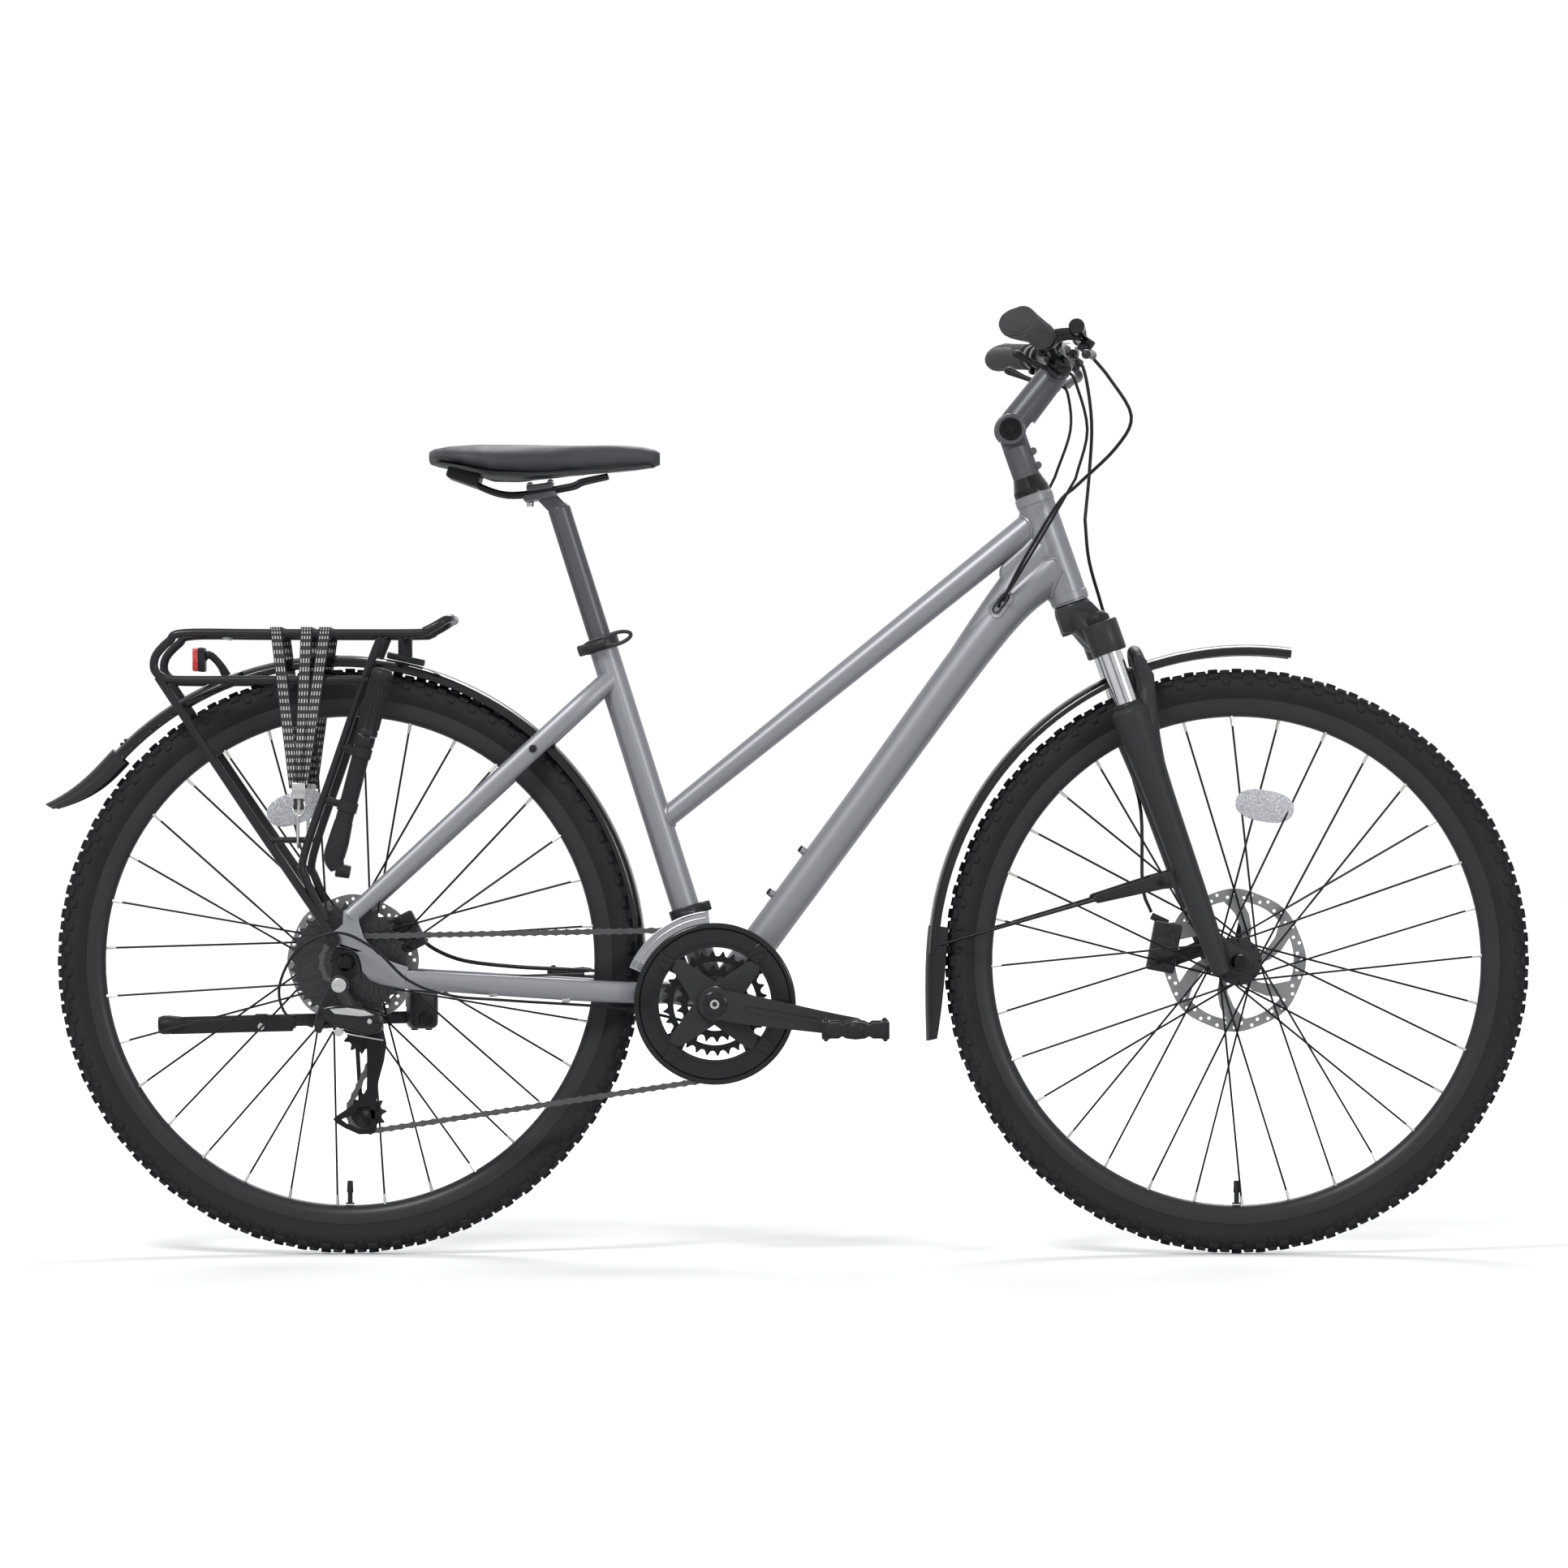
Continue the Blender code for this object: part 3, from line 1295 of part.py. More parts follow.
def build_saddle_base():
    """The saddle's shell under the cover, with its two rails."""
    rear = saddle_rear()
    inset = 0.90
    right = [
        (rear.x + (0.03 + 0.94 * share) * SADDLE_LENGTH, inset * half)
        for share, half in saddle_half_widths()
    ]
    outline = right + [(x, -y) for x, y in reversed(right)]
    shell = slab(outline, rear.z, rear.z + SADDLE_SHELL)
    clamp = rail_clamp() + Vector((0, 0, RAIL_DROP))
    run = rail_run()
    pieces = [shell]
    for side in (-1, 1):
        y = side * RAIL_SPACING / 2
        route = [
            across(side * 0.030, rear + Vector((0.050, 0, 0.002))),
            across(side * 0.028, rear + Vector((0.060, 0, -0.010))),
            across(y, clamp - run * 0.034),
            across(y, clamp + run * 0.034),
            across(y * 0.9, clamp + run * 0.052 + Vector((0, 0, 0.004))),
            across(y * 0.6, rear + Vector((0.215, 0, 0.002))),
        ]
        pieces.append(tube(route, RAIL_RADIUS, resolution=1))
    return finish(joined(pieces), "saddle_base", "satin_black", clamp)


def slab(outline, z_low, z_high):
    """A flat slab between two heights from an outline of (x, y) points."""
    curve = bpy.data.curves.new("slab", "CURVE")
    curve.dimensions = "2D"
    curve.fill_mode = "BOTH"
    curve.extrude = (z_high - z_low) / 2
    spline = curve.splines.new("POLY")
    spline.points.add(len(outline) - 1)
    spline.use_cyclic_u = True
    for index, (x, y) in enumerate(outline):
        spline.points[index].co = (x, y, 0, 1)
    obj = bpy.data.objects.new("slab", curve)
    BICYCLE.objects.link(obj)
    return made_real(obj, Matrix.Translation((0, 0, (z_low + z_high) / 2)))


def build_saddle_cover():
    """The padded cover: a coarse lofted cage smoothed by subdivision."""
    rear = saddle_rear()
    floor = rear.z + SADDLE_SHELL + GAP
    section = [
        (0.00, 0.0), (0.94, 0.0), (1.08, 0.42), (0.80, 1.05), (0.12, 0.95),
    ]
    maker = bmesh.new()
    loops = []
    for share, half in saddle_half_widths():
        rise = SADDLE_HEIGHT * (1.0 if share < 0.30 else 1.0 - 0.14 * (share - 0.30))
        if share in (0.0, 1.0):
            rise *= 0.72
        x = rear.x + share * SADDLE_LENGTH
        left = [(side * half, floor + height * rise) for side, height in section]
        right = [(-y, z) for y, z in reversed(left[1:])]
        loops.append([maker.verts.new((x, y, z)) for y, z in left + right])
    for first, second in zip(loops, loops[1:]):
        count = len(first)
        for index in range(count):
            after = (index + 1) % count
            maker.faces.new((first[index], first[after], second[after], second[index]))
    maker.faces.new(loops[0])
    maker.faces.new(loops[-1])
    cage = object_from(maker)
    smooth = cage.modifiers.new("padding", "SUBSURF")
    smooth.levels = 1
    smooth.render_levels = 1
    return finish(made_real(cage), "saddle_cover", "saddle_vinyl", rear)


def collar_outer():
    """The outer radius of the seat collar's band."""
    return clear_radius(SEAT_TUBE_RADIUS, SEAT_COLLAR_SIDES) + SEAT_COLLAR_WALL


def collar_bolt(along=0.0, forward=0.0, y=0.0):
    """A point from the middle of the collar's bolt, which runs through its ears."""
    middle = SEAT_TUBE_LENGTH - (SEAT_COLLAR_HEIGHT + 0.001) / 2
    return seat_line(middle + along, forward - collar_outer() - 0.0035, y)


def build_seat_collar():
    """The clamp ring at the top of the seat tube, with its two ears behind."""
    low, high = SEAT_TUBE_LENGTH - SEAT_COLLAR_HEIGHT, SEAT_TUBE_LENGTH - 0.001
    outer = collar_outer()
    inner = outer - SEAT_COLLAR_WALL
    profile = [(outer, high), (outer, low), (inner, low), (inner, high)]
    band = turned(profile, BOTTOM_BRACKET, SEAT_UP, SEAT_COLLAR_SIDES)
    ear = collar_bolt()
    turn = rotation_for(SEAT_FORWARD, SEAT_UP)
    ears = box(ear, (0.011, 0.020, SEAT_COLLAR_HEIGHT - 0.003), turn)
    collar = joined([band, ears])
    bolt = bore(across(-0.03, ear), across(0.03, ear), 0.0025, 8)
    return finish(cut(collar, [bolt]), "seat_collar", "satin_black", ear)


def build_seat_clamp_lever():
    """The collar's quick release: skewer, nut and the lever along the right side."""
    ear = collar_bolt()
    out = 0.010 + GAP
    path = [
        collar_bolt(0, 0, -out - 0.004),
        collar_bolt(0.002, 0.016, -out - 0.0150),
        collar_bolt(0.007, 0.0287, -out - 0.0185),
        collar_bolt(0.013, 0.0487, -out - 0.0160),
        collar_bolt(0.015, 0.0627, -out - 0.0120),
    ]
    pieces = [
        cylinder(across(-out - 0.002, ear), across(out + 0.002, ear), 0.0025, 8),
        cylinder(across(out, ear), across(out + 0.005, ear), 0.0050, 8),
        cylinder(across(-out, ear), across(-out - 0.009, ear), 0.0055, 8),
        tube(path, 0.0048, 1, flat=0.6),
    ]
    return finish(joined(pieces), "seat_clamp_lever", "satin_black", ear)


# Mudguards

def guard_shell(centre, radius, start, end, steps):
    """An arched strip from one angle to another, in degrees."""
    half, drop = GUARD_WIDTH / 2, GUARD_DEPTH
    section = [
        (radius - drop, half), (radius, 0.62 * half), (radius, -0.62 * half),
        (radius - drop, -half),
    ]
    maker = bmesh.new()
    points = [maker.verts.new((distance, 0, height)) for distance, height in section]
    for first, second in zip(points, points[1:]):
        maker.edges.new((first, second))
    mesh = bpy.data.meshes.new("section")
    maker.to_mesh(mesh)
    maker.free()
    obj = bpy.data.objects.new("section", mesh)
    BICYCLE.objects.link(obj)
    screw = obj.modifiers.new("arch", "SCREW")
    screw.angle = math.radians(end - start)
    screw.steps = steps
    screw.render_steps = steps
    screw.use_merge_vertices = True
    screw.merge_threshold = 1e-5
    wall = obj.modifiers.new("wall", "SOLIDIFY")
    wall.thickness = GUARD_WALL
    wall.offset = -1
    turn = math.radians(end)
    out = Vector((math.cos(turn), 0, math.sin(turn)))
    return made_real(obj, Matrix.Translation(centre) @ rotation_for(out, LEFT).to_4x4())


def guard_flap(centre, start, end, start_radius, end_radius):
    """The flat rubber flap at a mudguard's end, flaring away from the wheel."""
    steps = 4
    outer, inner = [], []
    for step in range(steps + 1):
        share = step / steps
        radius = start_radius + (end_radius - start_radius) * share**1.5
        angle = start + (end - start) * share
        outer.append((radius, angle))
        inner.append((radius - 0.0030, angle))
    outline = flat_points(centre, outer + inner[::-1])
    return plate([outline], -GUARD_WIDTH / 2 + 0.001, GUARD_WIDTH / 2 - 0.001)


def build_rear_mudguard():
    centre = rear_guard_centre()
    shell = guard_shell(centre, REAR_GUARD_RADIUS, 0, 136, 18)
    flap = guard_flap(centre, 132, 152, REAR_GUARD_RADIUS - 0.0035, REAR_GUARD_RADIUS + 0.030)
    return finish(joined([shell, flap]), "rear_mudguard", "gloss_black", centre)


def rear_guard_centre():
    return from_rear_axle(-0.014, 0, -0.003)


def front_guard_centre():
    return from_front_axle(0.012, 0, -0.004)


def guard_stay_lug():
    """Where the front mudguard's stay clips are bolted, behind each fork leg."""
    leg = steering(-0.357, FORK_LEG_OFFSET)
    return leg, leg + Vector((-0.0325, 0, -0.0060))


def build_front_mudguard():
    """The front mudguard with its flap, and both stays with their clips."""
    centre = front_guard_centre()
    pieces = [
        guard_shell(centre, FRONT_GUARD_RADIUS, 82, 178, 12),
        guard_flap(centre, 174, 193.4, FRONT_GUARD_RADIUS - 0.0035, FRONT_GUARD_RADIUS + 0.0116),
    ]
    _, lug = guard_stay_lug()
    edge = FRONT_GUARD_RADIUS - GUARD_DEPTH
    end = flat_points(centre, [(edge, 176.4)])[0]
    inner = GUARD_LUG_Y + GAP
    far = lug + Vector((-0.0755, 0, -0.0205))
    for side in (-1, 1):
        clip = capsule(lug, far, 0.0090, 0.0050, 2)
        pieces.append(plate([clip], side * inner, side * (inner + 0.0040)))
        pieces.append(
            tube(
                [
                    across(side * (inner + 0.002), far + Vector((0.004, 0, 0))),
                    across(side * (inner + 0.002), far + Vector((-0.006, 0, -0.002))),
                    Vector((end[0], side * (GUARD_WIDTH / 2 - 0.0008), end[1])),
                ],
                0.0019,
                resolution=0,
            )
        )
        head = across(side * (inner + 0.003), lug), across(side * (inner + 0.0065), lug)
        pieces.append(cylinder(*head, 0.0042, 6))
    return finish(joined(pieces), "front_mudguard", "gloss_black", centre)


# Rack, straps, lamp and pump

def rack_foot_y():
    """The Y of the rack's feet, against the outside of the dropouts."""
    return REAR_HUB_WIDTH / 2 + 2 * GAP + DROPOUT_THICKNESS + RACK_TUBE_RADIUS


def rack_point(x, z):
    """A point of the right-hand rack side, which splays towards its foot."""
    foot = 0.027
    share = min(1, max(0, (RACK_MIDDLE_HEIGHT - z) / (RACK_MIDDLE_HEIGHT - foot)))
    y = RACK_HALF_WIDTH + (rack_foot_y() - RACK_HALF_WIDTH) * share
    return from_rear_axle(x, -y, z)


def rack_bracket_place():
    """The angle about the mudguard's centre where the rack's bracket sits."""
    return 77.5


def build_rear_rack():
    """The tube rack: one looped rail, two stays and a tie on each side, and its deck."""
    deck, middle = RACK_DECK_HEIGHT, RACK_MIDDLE_HEIGHT
    half_loop = [
        rack_point(0.026, middle),
        rack_point(-0.214, middle),
        rack_point(-0.229, middle + 0.010),
        rack_point(-0.228, middle + 0.030),
        rack_point(-0.208, deck - 0.006),
        rack_point(-0.195, deck),
        rack_point(0.086, deck),
        rack_point(0.117, deck + 0.016) + Vector((0, 0.002, 0)),
        rack_point(0.124, deck + 0.018) + Vector((0, 0.016, 0)),
    ]
    loop = half_loop + [Vector((p.x, -p.y, p.z)) for p in reversed(half_loop)]
    pieces = [tube(loop, RACK_TUBE_RADIUS, resolution=1)]
    side_parts = []
    foot = rack_point(-0.0156, 0.0274)
    rear_top = rack_point(-0.226, middle + 0.004)
    side_parts.append(tube([rear_top, foot + Vector((0, 0, 0.012)), foot], RACK_TUBE_RADIUS, 1))
    front = [
        rack_point(0.041, deck - 0.004),
        rack_point(0.023, middle + 0.005),
        rack_point(-0.050, 0.128),
        rack_point(-0.047, 0.098),
        rack_point(-0.024, 0.050),
    ]
    side_parts.append(tube(front, RACK_TUBE_RADIUS * 0.95, resolution=1))
    side_parts.append(tube([rack_point(-0.0955, 0.146), rack_point(-0.044, 0.146)], 0.0035, 1))
    for part in side_parts:
        pieces += [mirrored(part), part]
    for x in (-0.150, -0.030):
        low = from_rear_axle(x, 0, deck - 0.002)
        pieces.append(
            cylinder(across(-RACK_HALF_WIDTH, low), across(RACK_HALF_WIDTH, low), 0.0038, 5)
        )
    pieces += rack_bracket()
    return finish(joined(pieces), "rear_rack", "satin_black", from_rear_axle(0, 0, deck))


def rack_bracket():
    """The cross tube, tab and foot that tie the rack to the top of the mudguard."""
    turn = math.radians(rack_bracket_place())
    outward = Vector((math.cos(turn), 0, math.sin(turn)))
    tangent = Vector((math.sin(turn), 0, -math.cos(turn)))
    seat = rear_guard_centre() + outward * (REAR_GUARD_RADIUS + GAP)
    upright = Vector((seat.x, 0, REAR_AXLE.z + RACK_DECK_HEIGHT - 0.002))
    return [
        box(seat + outward * 0.004, (0.046, 0.020, 0.008), rotation_for(tangent, outward)),
        box((seat + upright) / 2 + Vector((0, 0, 0.002)), (0.017, 0.014, upright.z - seat.z - 0.004)),
        cylinder(
            across(-RACK_HALF_WIDTH, upright), across(RACK_HALF_WIDTH, upright), 0.0045, 6
        ),
    ]


def ribbon(points, x_width, thickness):
    """A flat band along points, as wide as x_width along X."""
    maker = bmesh.new()
    edges = [
        [maker.verts.new((p.x + side * x_width / 2, p.y, p.z)) for side in (-1, 1)]
        for p in points
    ]
    for first, second in zip(edges, edges[1:]):
        maker.faces.new((first[0], first[1], second[1], second[0]))
    mesh = bpy.data.meshes.new("ribbon")
    maker.to_mesh(mesh)
    maker.free()
    obj = bpy.data.objects.new("ribbon", mesh)
    BICYCLE.objects.link(obj)
    wall = obj.modifiers.new("wall", "SOLIDIFY")
    wall.thickness = thickness
    wall.offset = 0
    return made_real(obj)


def build_luggage_strap():
    """Three elastic bands over the deck, with a buckle and hook on each side."""
    over = RACK_DECK_HEIGHT + RACK_TUBE_RADIUS + STRAP_THICKNESS / 2 + GAP
    outside = RACK_HALF_WIDTH + RACK_TUBE_RADIUS + STRAP_THICKNESS / 2 + GAP
    buckle = from_rear_axle(-0.056, -0.0830, 0.198)
    pieces = []
    for x in (-0.084, -0.048, -0.026):
        low = buckle + Vector((0.15 * (x + 0.053), 0, 0.010))
        half = [
            low,
            from_rear_axle(x, -outside, RACK_DECK_HEIGHT + 0.001),
            from_rear_axle(x, -outside + 0.0018, over - 0.0018),
            from_rear_axle(x, -outside + 0.0050, over),
        ]
        route = half + [Vector((p.x, -p.y, p.z)) for p in reversed(half)]
        pieces.append(ribbon(route, STRAP_WIDTH, STRAP_THICKNESS))
    for side in (-1, 1):
        place = across(side * abs(buckle.y), buckle)
        pieces.append(box(place, (0.0145, 0.0050, 0.0240)))
        hook = [
            place + Vector((0, 0, -0.010)),
            place + Vector((-0.001, -side * 0.001, -0.034)),
            place + Vector((-0.001, -side * 0.0042, -0.0548)),
            place + Vector((-0.001, -side * 0.0118, -0.0605)),
        ]
        pieces.append(tube(hook, 0.0040, 0, radii=[0.0045, 0.0030, 0.0018, 0.0018]))
    return finish(joined(pieces), "luggage_strap", "black_cloth", buckle)


def build_rear_lamp():
    """The rear lamp on its arm, which stands on the mudguard."""
    centre = rear_guard_centre()
    angle = math.radians(111.3)
    outward = Vector((math.cos(angle), 0, math.sin(angle)))
    foot = centre + outward * (REAR_GUARD_RADIUS + GAP)
    lens = from_rear_axle(-0.1815, 0, 0.3635)
    pieces = [
        tube([foot, foot + Vector((-0.008, 0, 0.014)), lens + Vector((0.008, 0, 0.006)),
              lens + Vector((0, 0, 0.004))], 0.0050, 1),
        cylinder(lens + Vector((0.006, 0, 0)), lens + Vector((-0.005, 0, 0)), 0.0150, 14, 0.0140),
    ]
    return finish(joined(pieces), "rear_lamp", "red_lens", lens)


def pump_points():
    """The pump's foot, the joint of barrel and handle, and the handle's top."""
    return (
        from_rear_axle(-0.0130, -PUMP_Y, 0.1250),
        from_rear_axle(0.0250, -PUMP_Y, 0.2710),
        from_rear_axle(0.0455, -PUMP_Y, 0.3460),
    )


def build_pump():
    """The frame pump: barrel with head and clips to the rack, and its sliding handle."""
    foot, joint, top = pump_points()
    run = (joint - foot).normalized()
    stay_high, stay_low = rack_point(0.023, RACK_MIDDLE_HEIGHT + 0.005), rack_point(-0.050, 0.128)
    stay = (stay_high - stay_low).normalized()
    barrel = [
        cylinder(foot + run * 0.030, joint - run * GAP, PUMP_RADIUS, 10),
        tube([foot + Vector((0.004, 0, -0.014)), foot, foot + run * 0.045], 0.0130, 1,
             radii=[0.0090, 0.0125, 0.0125]),
        cylinder(foot + Vector((0.002, 0, -0.014)), foot + Vector((0.019, 0, -0.017)), 0.0085, 8),
    ]
    for share in (0.42, 0.86):
        middle = foot + (joint - foot) * share
        near = stay_low + stay * (middle - stay_low).dot(stay)
        out = (middle - near).normalized()
        barrel.append(tube([middle, near + out * (RACK_TUBE_RADIUS + GAP)], 0.0045, 0))
    body = joined(barrel)
    socket = bore(joint - run * 0.090, joint + run * 0.01, 0.0045, 8)
    finish(cut(body, [socket]), "pump_barrel", "satin_black", joint)
    grip = cylinder(joint, top, 0.0135, 12)
    rod = cylinder(joint - run * 0.080, joint + run * 0.01, 0.0045, 8)
    dome = cylinder(top - run * 0.001, top + run * 0.005, 0.0130, 12, 0.0090)
    finish(joined([grip, rod, dome]), "pump_handle", "satin_black", joint)


# Kickstand


def kickstand_pivot():
    return from_rear_axle(0.079, 0.0860, -0.072)


def build_kickstand_bracket():
    """The housing clamped under the left chainstay, with a slot for the leg."""
    pivot = kickstand_pivot()
    top = REAR_AXLE.z - 0.0227 - CHAINSTAY_RADIUS - GAP
    low = pivot.z - 0.0120
    along = Vector((-KICKSTAND_AXIS.y, KICKSTAND_AXIS.x, 0)).normalized()
    turn = rotation_for(along, Vector((0, 0, 1)))
    centre = Vector((pivot.x + 0.003, 0.0750, (top + low) / 2))
    body = box(centre, (0.036, 0.033, top - low), turn)
    slot_height = 0.0250
    slot = box(
        pivot + along * -0.006 + Vector((0, 0, -0.004)),
        (0.060, 0.0120 + 2 * GAP, slot_height + 0.012),
        turn,
    )
    pin = bore(pivot - KICKSTAND_AXIS * 0.030, pivot + KICKSTAND_AXIS * 0.045, 0.0035, 8)
    return finish(cut(body, [slot, pin]), "kickstand_bracket", "satin_black", pivot)


def build_kickstand_leg():
    """The folded leg, pointing backwards, with its rubber foot."""
    pivot = kickstand_pivot()
    end = pivot + Vector((-KICKSTAND_LENGTH, 0, -0.008))
    run = (end - pivot).normalized()
    pieces = [
        cylinder(pivot - KICKSTAND_AXIS * 0.0060, pivot + KICKSTAND_AXIS * 0.0060, 0.0105, 12),
        tube([pivot, pivot + run * 0.030, end], 0.0080, 1, radii=[0.0060, 0.0062, 0.0080]),
        tube([end - run * 0.022, end - run * 0.004, end + run * 0.010], 0.0120, 1,
             radii=[0.0095, 0.0115, 0.0090]),
        cylinder(pivot - KICKSTAND_AXIS * 0.011, pivot + KICKSTAND_AXIS * 0.014, 0.0035, 8),
    ]
    return finish(joined(pieces), "kickstand_leg", "satin_black", pivot)


# Brake calipers

def build_rear_caliper():
    """The rear caliper on the left dropout, with the last part of its hose."""
    angle = math.radians(27)
    outward = Vector((math.cos(angle), 0, math.sin(angle)))
    tangent = Vector((-math.sin(angle), 0, math.cos(angle)))
    outer = REAR_HUB_WIDTH / 2
    inner = REAR_ROTOR_Y - 0.0115
    centre = across((outer + inner) / 2, REAR_AXLE + outward * 0.0735)
    body = box(centre, (0.034, outer - inner, 0.046), rotation_for(outward, tangent))
    pot = cylinder(
        across(REAR_ROTOR_Y + 0.004, centre - tangent * 0.002),
        across(inner - 0.004, centre - tangent * 0.002),
        0.0140,
        10,
    )
    start = across(0.0575, centre + outward * 0.010 - tangent * 0.010)
    route = [
        start,
        start + Vector((0.020, 0.001, -0.016)),
        Vector((-0.400, 0.0600, 0.3520)),
        Vector((-0.340, 0.0530, 0.3450)),
        Vector((-0.280, 0.0440, 0.3420)),
        Vector((-0.215, 0.0370, 0.3385)),
        Vector((-0.165, 0.0280, 0.3370)),
    ]
    hose = tube(route, 0.0025, resolution=1)
    ferrule = cylinder(start - Vector((0.008, 0, -0.006)), start + Vector((0.010, 0, -0.008)), 0.0045, 8)
    caliper = joined([body, pot, ferrule, hose])
    return finish(cut(caliper, [rotor_slot(REAR_AXLE, REAR_ROTOR_Y, REAR_ROTOR_RADIUS)]),
                  "rear_brake_caliper", "satin_black", centre)


def rotor_slot(axle, y, radius):
    """A cutter for the gap that a rotor runs in."""
    half = ROTOR_THICKNESS / 2 + 0.0012
    return cylinder(across(y - half, axle), across(y + half, axle), radius + RUNNING_GAP, 36)


def front_caliper_centre():
    angle = math.radians(169.5)
    outward = Vector((math.cos(angle), 0, math.sin(angle)))
    return FRONT_AXLE + outward * 0.0870, outward


def build_front_caliper():
    """The front caliper behind the left fork leg."""
    centre, outward = front_caliper_centre()
    tangent = Vector((outward.z, 0, -outward.x))
    middle = across(0.0415, centre)
    body = box(middle, (0.034, CALIPER_OUTER_Y - 0.0280, 0.060), rotation_for(outward, tangent))
    pot = cylinder(
        across(FRONT_ROTOR_Y - 0.004, centre), across(0.0250, centre), 0.0140, 10
    )
    end = middle + tangent * 0.029
    ferrule = cylinder(across(0.046, end), Vector((0.4345, 0.046, 0.4070)), 0.0045, 8)
    caliper = joined([body, pot, ferrule])
    return finish(cut(caliper, [rotor_slot(FRONT_AXLE, FRONT_ROTOR_Y, FRONT_ROTOR_RADIUS)]),
                  "front_brake_caliper", "satin_black", centre)


# Drive

def cog_y(index):
    return CHAIN_Y + (index - DRIVE_COG) * COG_SPACING


def build_cassette():
    """Nine sprockets on one carrier that turns with the hub's freewheel."""
    inner = clear_radius(ROTOR_BOSS_RADIUS, 12)
    carrier, half = inner + 0.0022, COG_THICKNESS / 2
    profile = [(inner, cog_y(0) - half)]
    for index, teeth in enumerate(COG_TEETH):
        tip = pitch_radius(teeth) + (-0.0036 if index == DRIVE_COG else 0.0020)
        low, high = cog_y(index) - half, cog_y(index) + half
        if index in (DRIVE_COG, DRIVE_COG + 1):
            profile.append((carrier, low))
        profile += [(tip, low), (tip, high)]
        if index in (DRIVE_COG - 1, DRIVE_COG):
            profile.append((carrier, high))
    profile.append((inner, cog_y(len(COG_TEETH) - 1) + half))
    return finish(turned(profile, REAR_AXLE, LEFT, 12), "cassette", "dark_steel", REAR_AXLE)


def crank_direction():
    return Vector((math.cos(CRANK_DROP_ANGLE), 0, -math.sin(CRANK_DROP_ANGLE)))


def ring_bolt_places():
    """The four chainring bolts, clear of the crank arm."""
    return flat_points(
        BOTTOM_BRACKET, [(RING_BOLT_RADIUS, angle - 9.4) for angle in SPIDER_ARM_ANGLES]
    )


def build_right_crank():
    """The right crank: arm, spider, hub and the pedal's spindle."""
    bb = BOTTOM_BRACKET
    eye = bb + crank_direction() * CRANK_LENGTH
    face = -CRANK_FACE_Y
    spider_back = RING_Y - RING_THICKNESS / 2 - GAP
    shell_end = -BB_SHELL_WIDTH / 2 - 0.0020
    pieces = [
        plate([capsule(bb, eye, 0.0145, 0.0115, 4)], face, face - CRANK_THICKNESS),
        cylinder(across(shell_end, bb), across(face - CRANK_THICKNESS + 0.001, bb), 0.0165, 12),
        cylinder(across(spider_back - 0.0004, bb), across(face - 0.004, bb), 0.0240, 12, 0.0200),
        cylinder(across(face - 0.005, bb), across(face - CRANK_THICKNESS - 0.0015, bb), 0.0075, 6),
        cylinder(across(face, eye), across(-PEDAL_INNER_Y - PEDAL_WIDTH + 0.012, eye),
                 PEDAL_SPINDLE_RADIUS, 8),
    ]
    for x, z in ring_bolt_places():
        place = Vector((x, 0, z))
        reach = (place - bb).normalized()
        outline = capsule(bb + reach * 0.015, place + reach * 0.0035, 0.0125, 0.0080, 2)
        pieces.append(plate([outline], spider_back, spider_back - 0.0050))
    crank = joined(pieces)
    socket = bore(across(shell_end + 0.01, bb), across(-0.0660, bb), CRANK_AXLE_RADIUS, 12)
    return finish(cut(crank, [socket]), "right_crank", "satin_black", bb)


def build_left_crank():
    """The left crank: arm, bottom bracket axle and the pedal's spindle."""
    bb = BOTTOM_BRACKET
    eye = bb - crank_direction() * CRANK_LENGTH
    inner = BB_SHELL_WIDTH / 2 + 0.0020
    arm = tube(
        [
            across(0.0590, bb - crank_direction() * 0.001),
            across(0.0640, bb - crank_direction() * 0.050),
            across(0.0830, eye + crank_direction() * 0.004),
            across(0.0835, eye - crank_direction() * 0.008),
        ],
        0.0130,
        resolution=1,
        radii=[0.0130, 0.0125, 0.0115, 0.0105],
        flat=0.55,
    )
    pieces = [
        arm,
        cylinder(across(inner, bb), across(0.0660, bb), 0.0160, 12),
        cylinder(across(-0.0645, bb), across(inner + 0.005, bb), CRANK_AXLE_RADIUS, 12),
        cylinder(across(0.0765, eye), across(0.0900, eye), 0.0115, 8),
        cylinder(across(0.0780, eye), across(PEDAL_INNER_Y + PEDAL_WIDTH - 0.012, eye),
                 PEDAL_SPINDLE_RADIUS, 8),
    ]
    return finish(joined(pieces), "left_crank", "satin_black", bb)


def build_pedals():
    """Both platform pedals: core, two side rails and two end plates each."""
    eye = BOTTOM_BRACKET + crank_direction() * CRANK_LENGTH
    start, end = PEDAL_INNER_Y, PEDAL_INNER_Y + PEDAL_WIDTH
    middle = (start + end) / 2
    length, width, height = PEDAL_LENGTH, PEDAL_WIDTH, PEDAL_HEIGHT
    for side, name, place in (
        (-1, "right_pedal", eye),
        (1, "left_pedal", BOTTOM_BRACKET * 2 - eye),
    ):
        core_ends = across(side * start, place), across(side * (end - 0.004), place)
        pieces = [cylinder(*core_ends, 0.0095, 10, 0.0080)]
        for lean in (-1, 1):
            rail = across(side * middle, place + Vector((lean * (length - 0.010) / 2, 0, 0)))
            pieces.append(box(rail, (0.010, width - 0.006, height)))
        for y in (start + 0.004, end - 0.004):
            pieces.append(box(across(side * y, place), (length - 0.008, 0.008, height * 0.72)))
        pedal = joined(pieces)
        depth = end - 0.0120 + GAP
        ends = across(side * (start - 0.01), place), across(side * depth, place)
        finish(cut(pedal, [bore(*ends, PEDAL_SPINDLE_RADIUS, 8)]), name, "satin_black", place)


